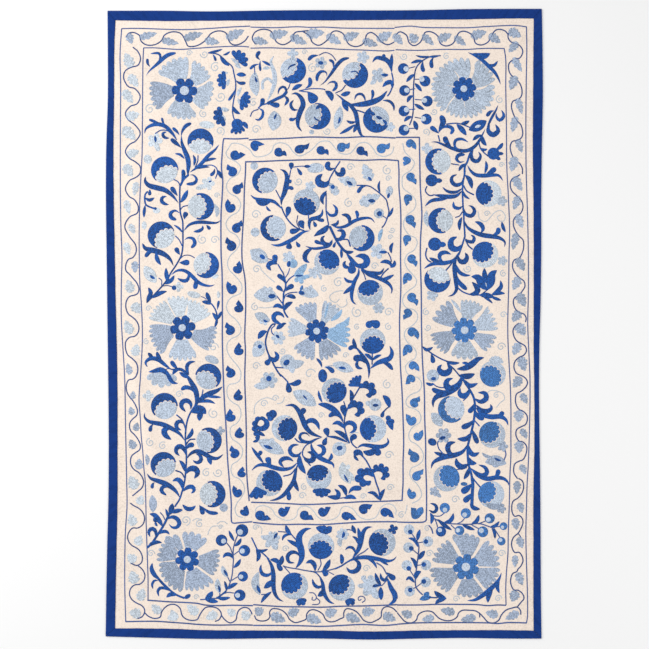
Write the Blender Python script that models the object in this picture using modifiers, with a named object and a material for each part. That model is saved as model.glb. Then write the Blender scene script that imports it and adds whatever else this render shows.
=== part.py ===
"""Suzani blanket: three embroidered cotton panels sewn side by side, bound all round.

The blanket lies face up on the surface. X runs across it, Y along it and +Z points up.
The origin is under its middle, on the surface. All sizes are in metres.
"""

import math

import bmesh
import bpy

COLLECTION_NAME = "suzani_blanket"
MM = 0.001

# Cloth
PANEL_CLOTH = 1.6 * MM
BINDING_CLOTH = 1.0 * MM
LAYER_GAP = 0.3 * MM
PANEL_TUCK = 3.0 * MM
JOIN_GAP = 0.4 * MM
MITRE_GAP = 0.5 * MM
BACK_LEG_INSET = 2.0 * MM

# The panels stand on the binding's lower layer at the edge, and come down to the surface inside it
PANEL_LIFT = BINDING_CLOTH + LAYER_GAP
LEVEL_PAST_BINDING = 4.0 * MM
SLOPE_WIDTH = 42.0 * MM
FOLD_FADE_START = 60.0 * MM
FOLD_FADE_END = 15.0 * MM

# Mesh steps
ROW_STEP = 0.056
PLAIN_COLUMN_STEP = 0.060
WRINKLED_COLUMN_STEP = 0.026
SIDE_BINDING_STEPS = 20
END_BINDING_STEPS = 14
FOLD_TURN_STEPS = 4

# The blanket's long edges, in millimetres: where the binding's outer fold and inner seam run
SIDE_COLUMNS = ("along", "outer_left", "inner_left", "inner_right", "outer_right")
SIDE_EDGES = (
    (-1004, -696, -666, 667, 692),
    (-870, -694, -664, 666, 690),
    (-710, -691, -661, 666, 689),
    (-550, -687, -658, 666, 688),
    (-390, -686, -658, 669, 686),
    (-230, -687, -658, 669, 684),
    (-80, -689, -660, 667, 685),
    (80, -691, -664, 667, 689),
    (240, -693, -667, 667, 691),
    (400, -695, -670, 666, 691),
    (560, -694, -671, 664, 693),
    (720, -689, -669, 665, 696),
    (880, -689, -668, 666, 695),
    (1004, -690, -663, 668, 693),
)

# The short edges, in millimetres
END_COLUMNS = ("across", "outer_bottom", "inner_bottom", "inner_top", "outer_top")
END_EDGES = (
    (-696, -994, -968, 968, 998),
    (-510, -999, -969, 965, 998),
    (-360, -1002, -974, 966, 996),
    (-150, -1000, -975, 967, 999),
    (0, -1001, -975, 967, 1000),
    (150, -1004, -978, 968, 999),
    (300, -1001, -975, 969, 1000),
    (440, -999, -974, 970, 1003),
    (590, -1001, -974, 973, 1004),
    (696, -1001, -976, 973, 1004),
)

# The two seams between the panels, in millimetres
JOIN_COLUMNS = ("along", "join_left", "join_right")
JOINS = (
    (-1004, -226, 233),
    (-500, -236, 233),
    (0, -241, 231),
    (500, -240, 228),
    (1004, -236, 225),
)

# Soft folds and wrinkles that stand up from the surface, in millimetres
FOLD_COLUMNS = ("name", "x_start", "y_start", "x_end", "y_end", "half_width", "height")
FOLDS = (
    ("centre_fold", -600, -22, 600, -22, 30, 2.5),
    ("lower_fold", -340, -512, 580, -512, 30, 2.5),
    ("left_fold", -338, 600, -335, -500, 35, 4.0),
    ("middle_fold", 6, 400, 8, -660, 40, 4.0),
    ("side_wrinkle", -645, -20, -475, -700, 45, 6.0),
    ("corner_wrinkle", -560, 720, -450, 480, 35, 3.5),
    ("edge_ripple", -620, 620, -585, 250, 32, 3.0),
    ("right_swell", 575, 640, 585, -620, 70, 3.0),
)
FOLD_END_FADE = 0.11

# Seen colours and finish
GROUND_COTTON = (0.880, 0.776, 0.680, 1.0)
BLUE_BINDING = (0.016, 0.055, 0.250, 1.0)
COTTON_ROUGHNESS = 0.90


def smooth_step(value, start, end):
    """Rise from 0 at start to 1 at end as 3t^2 - 2t^3."""
    t = min(1.0, max(0.0, (value - start) / (end - start)))
    return t * t * (3.0 - 2.0 * t)


def curve_through(rows, column, at):
    """Read a table's column at a place, on the Catmull-Rom curve through its rows."""
    places = [row[0] * MM for row in rows]
    values = [row[column] * MM for row in rows]
    last = len(rows) - 2
    span = 0
    while span < last and at > places[span + 1]:
        span += 1
    left = places[span]
    right = places[span + 1]
    t = min(1.0, max(0.0, (at - left) / (right - left)))
    before = max(0, span - 1)
    after = min(len(rows) - 1, span + 2)
    start_slope = (values[span + 1] - values[before]) / (places[span + 1] - places[before])
    end_slope = (values[after] - values[span]) / (places[after] - places[span])
    length = right - left
    return (
        (2 * t ** 3 - 3 * t ** 2 + 1) * values[span]
        + (t ** 3 - 2 * t ** 2 + t) * length * start_slope
        + (3 * t ** 2 - 2 * t ** 3) * values[span + 1]
        + (t ** 3 - t ** 2) * length * end_slope
    )


def edge(name, at):
    """Place of a named edge or seam: x at a height y for the sides, y at a width x for the ends."""
    tables = ((SIDE_COLUMNS, SIDE_EDGES), (END_COLUMNS, END_EDGES), (JOIN_COLUMNS, JOINS))
    for columns, rows in tables:
        if name in columns:
            return curve_through(rows, columns.index(name), at)
    raise ValueError(name)


def inside_binding(x, y):
    """Distance in from the binding's inner seam, negative under the binding."""
    return min(
        x - edge("inner_left", y),
        edge("inner_right", y) - x,
        y - edge("inner_bottom", x),
        edge("inner_top", x) - y,
    )


def fold_height(fold, x, y):
    """Height of one fold: a squared cosine across its line, faded to nothing at both ends."""
    values = dict(zip(FOLD_COLUMNS, fold))
    start_x = values["x_start"] * MM
    start_y = values["y_start"] * MM
    run_x = values["x_end"] * MM - start_x
    run_y = values["y_end"] * MM - start_y
    length = math.hypot(run_x, run_y)
    along = ((x - start_x) * run_x + (y - start_y) * run_y) / length
    aside = ((x - start_x) * run_y - (y - start_y) * run_x) / length
    reach = aside / (values["half_width"] * MM)
    if abs(reach) >= 1.0:
        return 0.0
    fade = smooth_step(along, 0.0, FOLD_END_FADE) * smooth_step(length - along, 0.0, FOLD_END_FADE)
    return values["height"] * MM * fade * math.cos(reach * math.pi / 2) ** 2


def underside_height(x, y):
    """Height of the cloth's underside over the surface."""
    inside = inside_binding(x, y)
    lift = PANEL_LIFT * (1.0 - smooth_step(inside, LEVEL_PAST_BINDING, LEVEL_PAST_BINDING + SLOPE_WIDTH))
    free = smooth_step(inside, FOLD_FADE_END, FOLD_FADE_START)
    return lift + free * sum(fold_height(fold, x, y) for fold in FOLDS)


def filled(places, longest_step):
    """Add evenly spaced places between the given ones, so that no step is longer than asked."""
    result = [places[0]]
    for start, end in zip(places, places[1:]):
        steps = max(1, math.ceil((end - start) / longest_step))
        result.extend(start + (end - start) * step / steps for step in range(1, steps + 1))
    return result


def fold_marks(name, column):
    """Middle, shoulders and feet of a straight fold, as places across it."""
    row = next(row for row in FOLDS if row[0] == name)
    middle = row[FOLD_COLUMNS.index(column)] * MM
    half_width = row[FOLD_COLUMNS.index("half_width")] * MM
    return [middle + half_width * share for share in (-1.0, -0.5, 0.0, 0.5, 1.0)]


def plain_marks(places, longest_step):
    """Grid lines at fixed places."""
    return [("", place) for place in filled(places, longest_step)]


def edge_marks(outer, inner, inward):
    """Grid lines that follow an edge: the tucked edge, the level strip's end and the slope's end."""
    return [
        (outer, inward * PANEL_TUCK),
        (inner, inward * LEVEL_PAST_BINDING),
        (inner, inward * (LEVEL_PAST_BINDING + SLOPE_WIDTH / 2)),
        (inner, inward * (LEVEL_PAST_BINDING + SLOPE_WIDTH)),
    ]


def mark_place(mark, at):
    """A grid line's place: fixed, or a distance in from a named edge."""
    name, distance = mark
    return edge(name, at) + distance if name else distance


def add_object(name, mesh_builder, material):
    """Make a mesh object in the blanket's collection."""
    mesh = bpy.data.meshes.new(name)
    mesh_builder.to_mesh(mesh)
    mesh_builder.free()
    mesh.materials.append(material)
    mesh.shade_smooth()
    mesh.set_sharp_from_angle(angle=math.radians(40))
    piece = bpy.data.objects.new(name, mesh)
    bpy.data.collections[COLLECTION_NAME].objects.link(piece)
    return piece


def grid_surface(columns, rows, place):
    """A grid whose crossing (i, j) is moved to place(i, j)."""
    surface = bmesh.new()
    bmesh.ops.create_grid(surface, x_segments=columns - 1, y_segments=rows - 1, size=1.0)
    for vertex in surface.verts:
        i = round((vertex.co.x + 1.0) / 2.0 * (columns - 1))
        j = round((vertex.co.y + 1.0) / 2.0 * (rows - 1))
        vertex.co = place(i, j)
    return surface


def add_thickness(piece, thickness, offset):
    """Give a cloth surface its thickness."""
    solidify = piece.modifiers.new("cloth_thickness", "SOLIDIFY")
    solidify.thickness = thickness
    solidify.offset = offset
    solidify.use_even_offset = True


def add_panel(name, column_marks, row_marks, material):
    """One embroidered length of cotton, its underside on the surface and over the folds."""
    columns = [mark_place(mark, 0.0) for mark in column_marks]
    rows = [mark_place(mark, 0.0) for mark in row_marks]

    def place(i, j):
        x = mark_place(column_marks[i], rows[j])
        y = mark_place(row_marks[j], columns[i])
        return (x, y, underside_height(x, y))

    piece = add_object(name, grid_surface(len(columns), len(rows), place), material)
    add_thickness(piece, PANEL_CLOTH, 1.0)


def corner(side, end, outer):
    """Corner of the binding's outer fold or inner seam, where a long and a short edge cross."""
    kind = "outer_" if outer else "inner_"
    y = edge(kind + end, 0.0)
    x = edge(kind + side, y)
    y = edge(kind + end, x)
    return (edge(kind + side, y), y)


def binding_section():
    """Cross section of the folded strip: share of its width, distance in, height, on the turn or not.

    The back leg lies on the surface, the strip turns round the panels' edge in a half circle,
    and the front leg lies on the panels.
    """
    low = BINDING_CLOTH / 2
    high = BINDING_CLOTH + LAYER_GAP + PANEL_CLOTH + LAYER_GAP + BINDING_CLOTH / 2
    radius = (high - low) / 2
    centre = radius + BINDING_CLOTH / 2
    section = [(1.0, -BACK_LEG_INSET, low, False)]
    for step in range(FOLD_TURN_STEPS + 1):
        angle = -math.pi / 2 - math.pi * step / FOLD_TURN_STEPS
        inward = centre + radius * math.cos(angle)
        section.append((0.0, inward, low + radius + radius * math.sin(angle), True))
    section.append((0.5, 0.0, high, False))
    section.append((1.0, 0.0, high, False))
    return section


def add_binding(name, runs_along, side_or_end, steps, material):
    """A cotton strip folded over one edge of the panels, cut on the mitre at both ends."""
    section = binding_section()
    if runs_along:
        starts = [corner(side_or_end, "bottom", outer) for outer in (True, False)]
        ends = [corner(side_or_end, "top", outer) for outer in (True, False)]
        main = 1
    else:
        starts = [corner("left", side_or_end, outer) for outer in (True, False)]
        ends = [corner("right", side_or_end, outer) for outer in (True, False)]
        main = 0

    def place(i, j):
        share, distance, height, on_turn = section[j]
        trim = MITRE_GAP / 2 + (BINDING_CLOTH / 2 if on_turn else 0.0)
        points = []
        for line, kind in enumerate(("outer_", "inner_")):
            first = starts[line][main]
            last = ends[line][main]
            along = first + (last - first) * i / steps
            across = edge(kind + side_or_end, along)
            points.append((along, across))
        width = abs(points[1][1] - points[0][1])
        inset = share + distance / width
        along = points[0][0] + (points[1][0] - points[0][0]) * inset
        across = points[0][1] + (points[1][1] - points[0][1]) * inset
        if i == 0:
            along += trim
        if i == steps:
            along -= trim
        return (across, along, height) if runs_along else (along, across, height)

    piece = add_object(name, grid_surface(steps + 1, len(section), place), material)
    add_thickness(piece, BINDING_CLOTH, 0.0)


def cloth_material(name, colour):
    """Plain matt cloth."""
    material = bpy.data.materials.new(name)
    material.use_nodes = True
    shader = material.node_tree.nodes["Principled BSDF"]
    shader.inputs["Base Color"].default_value = colour
    shader.inputs["Roughness"].default_value = COTTON_ROUGHNESS
    shader.inputs["Metallic"].default_value = 0.0
    material.diffuse_color = colour
    return material


def build_panels():
    """The three lengths, which share their rows so that folds cross the seams unbroken."""
    first_row = edge("inner_bottom", 0.0) + LEVEL_PAST_BINDING + SLOPE_WIDTH + ROW_STEP
    last_row = edge("inner_top", 0.0) - LEVEL_PAST_BINDING - SLOPE_WIDTH - ROW_STEP
    inner_rows = [first_row, *fold_marks("lower_fold", "y_start"),
                  *fold_marks("centre_fold", "y_start"), last_row]
    row_marks = [
        *edge_marks("outer_bottom", "inner_bottom", 1),
        *plain_marks(inner_rows, ROW_STEP),
        *reversed(edge_marks("outer_top", "inner_top", -1)),
    ]

    first_column = edge("inner_left", 0.0) + LEVEL_PAST_BINDING + SLOPE_WIDTH + WRINKLED_COLUMN_STEP
    last_column = edge("inner_right", 0.0) - LEVEL_PAST_BINDING - SLOPE_WIDTH - WRINKLED_COLUMN_STEP
    left_join = edge("join_left", 0.0)
    right_join = edge("join_right", 0.0)
    left_marks = [
        *edge_marks("outer_left", "inner_left", 1),
        *plain_marks([first_column, left_join - WRINKLED_COLUMN_STEP], WRINKLED_COLUMN_STEP),
        ("join_left", -JOIN_GAP / 2),
    ]
    centre_marks = [
        ("join_left", JOIN_GAP / 2),
        *plain_marks([left_join + PLAIN_COLUMN_STEP, *fold_marks("middle_fold", "x_start"),
                      right_join - PLAIN_COLUMN_STEP], PLAIN_COLUMN_STEP),
        ("join_right", -JOIN_GAP / 2),
    ]
    right_marks = [
        ("join_right", JOIN_GAP / 2),
        *plain_marks([right_join + PLAIN_COLUMN_STEP, last_column], PLAIN_COLUMN_STEP),
        *reversed(edge_marks("outer_right", "inner_right", -1)),
    ]
    panels = (("panel_left", left_marks), ("panel_centre", centre_marks), ("panel_right", right_marks))
    for name, column_marks in panels:
        add_panel(name, column_marks, row_marks, cloth_material(name + "_cotton", GROUND_COTTON))


def build_bindings():
    """Four strips of blue cotton round the edge."""
    for side in ("left", "right"):
        name = "binding_" + side
        material = cloth_material(name + "_cotton", BLUE_BINDING)
        add_binding(name, True, side, SIDE_BINDING_STEPS, material)
    for end in ("bottom", "top"):
        name = "binding_" + end
        material = cloth_material(name + "_cotton", BLUE_BINDING)
        add_binding(name, False, end, END_BINDING_STEPS, material)


def clear_scene():
    """Start from an empty scene."""
    for existing in list(bpy.data.objects):
        bpy.data.objects.remove(existing, do_unlink=True)
    bpy.context.scene.collection.children.link(bpy.data.collections.new(COLLECTION_NAME))


clear_scene()
build_panels()
build_bindings()
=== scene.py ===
# %% [markdown]
# # A suzani blanket
#
# A suzani is a large embroidered cloth. Narrow lengths of hand-loomed cotton are basted together and
# drawn on, taken apart again, embroidered one by one, and sewn together at the end. So the drawing
# never quite meets at the two seams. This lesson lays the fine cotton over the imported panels, folds
# the blue binding round the edge, and then stitches the vines, flowers and leaves on top as low
# padded shapes, each made from one short formula.

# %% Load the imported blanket
import math

import bmesh
import bpy
import numpy as np
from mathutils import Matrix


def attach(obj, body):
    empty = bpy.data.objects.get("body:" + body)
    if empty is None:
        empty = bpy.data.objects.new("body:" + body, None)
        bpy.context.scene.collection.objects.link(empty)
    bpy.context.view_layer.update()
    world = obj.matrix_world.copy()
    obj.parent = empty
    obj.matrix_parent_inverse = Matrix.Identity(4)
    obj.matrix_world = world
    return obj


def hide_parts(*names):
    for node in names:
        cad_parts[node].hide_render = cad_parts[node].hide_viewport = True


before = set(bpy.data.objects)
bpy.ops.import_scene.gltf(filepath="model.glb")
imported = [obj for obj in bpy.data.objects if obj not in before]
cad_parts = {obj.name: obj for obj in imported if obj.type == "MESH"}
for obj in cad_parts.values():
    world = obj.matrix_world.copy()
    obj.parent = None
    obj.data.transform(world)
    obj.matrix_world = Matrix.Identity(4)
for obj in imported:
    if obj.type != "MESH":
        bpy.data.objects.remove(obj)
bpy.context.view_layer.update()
print("packed nodes:", sorted(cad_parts))

MM = 0.001
CM = 0.01
random = np.random.default_rng(7)

# %% [markdown]
# ## Where the cloth lies
#
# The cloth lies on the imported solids, so the edges, seams and soft folds are the same ones, repeated
# here from the part as short tables in millimetres. A Catmull-Rom curve runs through each column. The
# height of the cloth is then one function of x and y, which the ground, the binding and every stitch
# share, so nothing floats or sinks.

# %% Edges, seams and folds
SIDE_COLUMNS = ("along", "outer_left", "inner_left", "inner_right", "outer_right")
SIDE_EDGES = np.array((
    (-1004, -696, -666, 667, 692),
    (-870, -694, -664, 666, 690),
    (-710, -691, -661, 666, 689),
    (-550, -687, -658, 666, 688),
    (-390, -686, -658, 669, 686),
    (-230, -687, -658, 669, 684),
    (-80, -689, -660, 667, 685),
    (80, -691, -664, 667, 689),
    (240, -693, -667, 667, 691),
    (400, -695, -670, 666, 691),
    (560, -694, -671, 664, 693),
    (720, -689, -669, 665, 696),
    (880, -689, -668, 666, 695),
    (1004, -690, -663, 668, 693),
)) * MM
END_COLUMNS = ("across", "outer_bottom", "inner_bottom", "inner_top", "outer_top")
END_EDGES = np.array((
    (-696, -994, -968, 968, 998),
    (-510, -999, -969, 965, 998),
    (-360, -1002, -974, 966, 996),
    (-150, -1000, -975, 967, 999),
    (0, -1001, -975, 967, 1000),
    (150, -1004, -978, 968, 999),
    (300, -1001, -975, 969, 1000),
    (440, -999, -974, 970, 1003),
    (590, -1001, -974, 973, 1004),
    (696, -1001, -976, 973, 1004),
)) * MM
JOIN_COLUMNS = ("along", "join_left", "join_right")
JOINS = np.array((
    (-1004, -226, 233),
    (-500, -236, 233),
    (0, -241, 231),
    (500, -240, 228),
    (1004, -236, 225),
)) * MM
# each fold: x and y at its start, x and y at its end, half its width, its height
FOLDS = np.array((
    (-600, -22, 600, -22, 30, 2.5),
    (-340, -512, 580, -512, 30, 2.5),
    (-338, 600, -335, -500, 35, 4.0),
    (6, 400, 8, -660, 40, 4.0),
    (-645, -20, -475, -700, 45, 6.0),
    (-560, 720, -450, 480, 35, 3.5),
    (-620, 620, -585, 250, 32, 3.0),
    (575, 640, 585, -620, 70, 3.0),
)) * MM
FOLD_END_FADE = 0.11
PANEL_LIFT = 1.3 * MM
LEVEL_PAST_BINDING = 4 * MM
SLOPE_WIDTH = 42 * MM
FOLD_FADE_END = 15 * MM
FOLD_FADE_START = 60 * MM


def smooth_step(value, start, end):
    """Rise from 0 at start to 1 at end as 3t^2 - 2t^3."""
    t = np.clip((value - start) / (end - start), 0.0, 1.0)
    return t * t * (3.0 - 2.0 * t)


def curve_through(table, column, at):
    """Read a table's column on the cubic through its rows; slopes are taken over each row's neighbours."""
    places = table[:, 0]
    values = table[:, column]
    slopes = np.empty_like(values)
    slopes[1:-1] = (values[2:] - values[:-2]) / (places[2:] - places[:-2])
    slopes[0] = (values[1] - values[0]) / (places[1] - places[0])
    slopes[-1] = (values[-1] - values[-2]) / (places[-1] - places[-2])
    span = np.clip(np.searchsorted(places, at, side="right") - 1, 0, len(places) - 2)
    length = places[span + 1] - places[span]
    t = np.clip((at - places[span]) / length, 0.0, 1.0)
    return (
        (2 * t ** 3 - 3 * t ** 2 + 1) * values[span]
        + (t ** 3 - 2 * t ** 2 + t) * length * slopes[span]
        + (3 * t ** 2 - 2 * t ** 3) * values[span + 1]
        + (t ** 3 - t ** 2) * length * slopes[span + 1]
    )


def edge(name, at):
    """Place of a named edge or seam: x at a height y for the sides, y at a width x for the ends."""
    for columns, table in ((SIDE_COLUMNS, SIDE_EDGES), (END_COLUMNS, END_EDGES), (JOIN_COLUMNS, JOINS)):
        if name in columns:
            return curve_through(table, columns.index(name), np.asarray(at, dtype=float))
    raise ValueError(name)


def inside_binding(x, y):
    """Distance in from the binding's inner seam, negative under the binding."""
    sides = np.minimum(x - edge("inner_left", y), edge("inner_right", y) - x)
    ends = np.minimum(y - edge("inner_bottom", x), edge("inner_top", x) - y)
    return np.minimum(sides, ends)


def fold_heights(x, y):
    """Sum of the folds: each a squared cosine across its line, faded to nothing at both ends."""
    total = np.zeros_like(x)
    for start_x, start_y, end_x, end_y, half_width, height in FOLDS:
        run_x = end_x - start_x
        run_y = end_y - start_y
        length = math.hypot(run_x, run_y)
        along = ((x - start_x) * run_x + (y - start_y) * run_y) / length
        aside = ((x - start_x) * run_y - (y - start_y) * run_x) / length
        reach = np.clip(np.abs(aside) / half_width, 0.0, 1.0)
        fade = smooth_step(along, 0.0, FOLD_END_FADE) * smooth_step(length - along, 0.0, FOLD_END_FADE)
        total += height * fade * np.cos(reach * math.pi / 2) ** 2
    return total


def underside(x, y):
    """Height of the cloth's underside, lifted over the folds and onto the binding's lower layer."""
    inside = inside_binding(x, y)
    lift = PANEL_LIFT * (1.0 - smooth_step(inside, LEVEL_PAST_BINDING, LEVEL_PAST_BINDING + SLOPE_WIDTH))
    return lift + smooth_step(inside, FOLD_FADE_END, FOLD_FADE_START) * fold_heights(x, y)


# %% [markdown]
# Hand-loomed cotton never lies dead flat. Each embroidered patch draws its ground in a little, so the
# bare cloth between stands up in shallow cockles a few centimetres wide. A sum of a few slanting waves
# gives them, about a millimetre high at most, on top of the larger folds.

# %% Height of the cloth's face
COTTON = 0.8 * MM
COCKLES = (
    # waves per metre along x and y, phase, height in mm
    (9.0, 3.0, 0.4, 0.16),
    (-5.0, 11.0, 1.9, 0.14),
    (17.0, -7.0, 2.7, 0.10),
    (6.0, 21.0, 5.1, 0.09),
    (-23.0, -13.0, 0.9, 0.06),
)
COCKLE_BEND = 0.9
COCKLE_BEND_PITCH = 0.21
COCKLE_FADE_START = 5 * MM
COCKLE_FADE_END = 50 * MM


def cockles(x, y):
    """Shallow waves, never below zero, that die out towards the binding."""
    total = np.zeros_like(x)
    for per_x, per_y, phase, height in COCKLES:
        bend = COCKLE_BEND * np.sin(2 * math.pi * (per_y * x - per_x * y) * COCKLE_BEND_PITCH + phase)
        total += height * MM * (1.0 + np.sin(2 * math.pi * (per_x * x + per_y * y) + phase + bend))
    return total * smooth_step(inside_binding(x, y), COCKLE_FADE_START, COCKLE_FADE_END)


def face(x, y):
    """Height of the cotton's upper face, which the stitches stand on."""
    return underside(x, y) + cockles(x, y) + COTTON


# %% [markdown]
# ## Meshes from grids
#
# Every new piece is a grid of points worked out with numpy. A grid of n by m points gives (n - 1) by
# (m - 1) four-sided faces, and `add_mesh` hands the arrays to Blender in one go. Each piece of cloth
# or thread also keeps a `stitch` attribute: two distances in metres along and across its own
# grain, which the weave and stitch patterns read, and a tone that varies from one motif to the next.

# %% Mesh helpers
def grid_faces(rows, columns, closed=False):
    """Corner numbers of a grid's faces, counted row by row; closed joins the last column to the first."""
    row = np.arange(rows - 1)[:, None]
    column = np.arange(columns if closed else columns - 1)[None, :]
    following = (column + 1) % columns
    corners = np.stack(
        (row * columns + column, row * columns + following,
         (row + 1) * columns + following, (row + 1) * columns + column), axis=-1)
    return corners.reshape(-1, 4)


def add_mesh(name, points, faces, stitch, weld=0.0):
    """A smooth mesh object at the origin from arrays of points, faces and the stitch attribute."""
    mesh = bpy.data.meshes.new(name)
    mesh.vertices.add(len(points))
    mesh.vertices.foreach_set("co", points.astype(np.float32).ravel())
    mesh.loops.add(faces.size)
    mesh.loops.foreach_set("vertex_index", faces.astype(np.int32).ravel())
    mesh.polygons.add(len(faces))
    mesh.polygons.foreach_set("loop_start", np.arange(0, faces.size, faces.shape[1], dtype=np.int32))
    mesh.update(calc_edges=True)
    mesh.attributes.new("stitch", "FLOAT_VECTOR", "POINT")
    mesh.attributes["stitch"].data.foreach_set("vector", stitch.astype(np.float32).ravel())
    if weld:
        builder = bmesh.new()
        builder.from_mesh(mesh)
        bmesh.ops.remove_doubles(builder, verts=builder.verts, dist=weld)
        builder.to_mesh(mesh)
        builder.free()
    mesh.validate()
    mesh.shade_smooth()
    piece = bpy.data.objects.new(name, mesh)
    bpy.context.scene.collection.objects.link(piece)
    return piece


# %% [markdown]
# ## Cloth and thread finishes
#
# Cotton is matt, with a weave finer than the eye sees from a step away, slubs where the hand-spun
# yarn thickens, and a faint unevenness of tone. The thread is laid in close rows and tied down, so a
# filled leaf shows ribs a few millimetres apart, with small nicks where each row is caught; the colour
# is painted darker between the rows and in the nicks as painted shade. The creases of the blue binding
# are painted darker the same way. One function makes every thread, and another makes both cottons.

# %% Material helpers
def new_material(name):
    """A material with its shader and a short way to add nodes."""
    material = bpy.data.materials.new(name)
    material.use_nodes = True
    tree = material.node_tree
    return material, tree, tree.nodes["Principled BSDF"]


def add_node(tree, kind, **values):
    """Add a node; a value goes to the input of that name, or else to the property."""
    made = tree.nodes.new(kind)
    for key, value in values.items():
        label = key.replace("_", " ").title()
        if label in made.inputs:
            made.inputs[label].default_value = value
        else:
            setattr(made, key, value)
    return made


def math_node(tree, operation, first, second=0.0):
    """Arithmetic on two values, each a number or a socket."""
    made = tree.nodes.new("ShaderNodeMath")
    made.operation = operation
    for socket, value in zip(made.inputs, (first, second)):
        if isinstance(value, (int, float)):
            socket.default_value = value
        else:
            tree.links.new(value, socket)
    return made.outputs[0]


def ramp(tree, factor, *stops):
    """A colour ramp with (place, colour) stops."""
    made = tree.nodes.new("ShaderNodeValToRGB")
    while len(made.color_ramp.elements) < len(stops):
        made.color_ramp.elements.new(0.5)
    for element, (place, colour) in zip(made.color_ramp.elements, stops):
        element.position = place
        element.color = (*colour, 1.0)
    tree.links.new(factor, made.inputs[0])
    return made.outputs[0]


def from_display(red, green, blue):
    """Linear colour from the 0 to 255 values that a screen shows."""
    values = np.array((red, green, blue)) / 255.0
    linear = np.where(values <= 0.04045, values / 12.92, ((values + 0.055) / 1.055) ** 2.4)
    return tuple(float(value) for value in linear)


def tinted(colour, amount):
    """A colour made lighter (above 1) or darker (below 1)."""
    return tuple(min(1.0, channel * amount) for channel in colour)


# %% Cotton
WEAVE_PITCH = 1.1 * MM
COTTON_TONES = {"patches": 0.2, "fine": 0.55, "slubs": 0.125}
WEAVE_HEIGHT = 0.18
CREASE_HEIGHT = 2.5


def cotton(name, colour, roughness, slub_strength, shine, crease_strength=0.0):
    """Plain weave: two crossed waves at the yarn pitch, stretched slubs both ways, and slow changes of tone.

    The crease strength adds creases across a strip: noise stretched from one long edge to the other.
    It raises the bump and also paints shade into the colour, darker in the creases.
    """
    material, tree, shader = new_material(name)
    grain = add_node(tree, "ShaderNodeAttribute", attribute_name="stitch")
    place = add_node(tree, "ShaderNodeTexCoord")

    split = tree.nodes.new("ShaderNodeSeparateXYZ")
    tree.links.new(grain.outputs["Vector"], split.inputs[0])
    turn = 2 * math.pi / WEAVE_PITCH
    warp = math_node(tree, "SINE", math_node(tree, "MULTIPLY", split.outputs[0], turn))
    weft = math_node(tree, "SINE", math_node(tree, "MULTIPLY", split.outputs[1], turn))
    weave = math_node(tree, "MULTIPLY", warp, weft)

    stretches = []
    for scale in ((900.0, 35.0, 1.0), (35.0, 900.0, 1.0)):
        mapping = add_node(tree, "ShaderNodeMapping", Scale=scale)
        tree.links.new(grain.outputs["Vector"], mapping.inputs[0])
        noise = add_node(tree, "ShaderNodeTexNoise", Scale=1.0, Detail=1.0)
        tree.links.new(mapping.outputs[0], noise.inputs["Vector"])
        stretches.append(noise.outputs["Fac"])
    slubs = math_node(tree, "ADD", *stretches)

    patches = add_node(tree, "ShaderNodeTexNoise", Scale=7.0, Detail=3.0)
    tree.links.new(place.outputs["Object"], patches.inputs["Vector"])
    fine = add_node(tree, "ShaderNodeTexNoise", Scale=240.0, Detail=2.0)
    tree.links.new(place.outputs["Object"], fine.inputs["Vector"])

    weight = COTTON_TONES
    tone = math_node(tree, "ADD", math_node(tree, "MULTIPLY", patches.outputs["Fac"], weight["patches"]),
                     math_node(tree, "MULTIPLY", fine.outputs["Fac"], weight["fine"]))
    tone = math_node(tree, "ADD", tone, math_node(tree, "MULTIPLY", slubs, weight["slubs"]))
    creases = add_node(tree, "ShaderNodeMapping", Scale=(75.0, 30.0, 1.0))
    tree.links.new(grain.outputs["Vector"], creases.inputs[0])
    crease_noise = add_node(tree, "ShaderNodeTexNoise", Scale=1.0, Detail=2.0)
    tree.links.new(creases.outputs[0], crease_noise.inputs["Vector"])
    crease_height_and_shade = math_node(tree, "MULTIPLY", math_node(tree, "SUBTRACT", crease_noise.outputs["Fac"], 0.5), crease_strength)
    # painted shade: the crease noise also darkens the colour in the creases and lightens it on their ridges
    tone = math_node(tree, "ADD", tone, crease_height_and_shade)
    shaded = ramp(tree, tone, (0.36, tinted(colour, 0.80)), (0.5, tinted(colour, 0.985)),
                  (0.64, tinted(colour, 1.05)))
    tree.links.new(shaded, shader.inputs["Base Color"])

    height = math_node(tree, "ADD", math_node(tree, "MULTIPLY", weave, WEAVE_HEIGHT),
                       math_node(tree, "MULTIPLY", slubs, slub_strength))
    height = math_node(tree, "ADD", height, math_node(tree, "MULTIPLY", crease_height_and_shade, CREASE_HEIGHT))
    bump = add_node(tree, "ShaderNodeBump", Strength=0.35, Distance=0.0006)
    tree.links.new(height, bump.inputs["Height"])
    tree.links.new(bump.outputs[0], shader.inputs["Normal"])
    shader.inputs["Roughness"].default_value = roughness
    shader.inputs["Specular IOR Level"].default_value = 0.05 + shine
    shader.inputs["Sheen Weight"].default_value = shine
    shader.inputs["Sheen Roughness"].default_value = 0.6
    return material


GROUND_COLOUR = from_display(245, 230, 217)
BINDING_COLOUR = from_display(25, 59, 130)
GROUND = cotton("ground_cotton", GROUND_COLOUR, 0.92, 0.5, 0.10)
BINDING = cotton("binding_cotton", BINDING_COLOUR, 0.88, 0.35, 0.02, 0.7)

# %% Thread
ROW_PITCH = 5.0 * MM
CATCH_PITCH = 7.0 * MM
CATCH_SLANT = 0.37
ROW_WANDER = 6.0 * MM
# how much each pattern adds to the tone; nicks take away. The tones of the ribs and nicks are
# painted shade, darker between the rows and in the nicks; mottle, fibre and motif are the thread's own tone
THREAD_TONES = {"rib_height_and_shade": 0.26, "nick_depth_and_shade": 0.10, "mottle": 1.75, "fibre": 0.12, "motif": 0.09}
TONE_SHIFT = 0.5
NICK_DEPTH = 0.35
FIBRE_HEIGHT = 0.3


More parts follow.
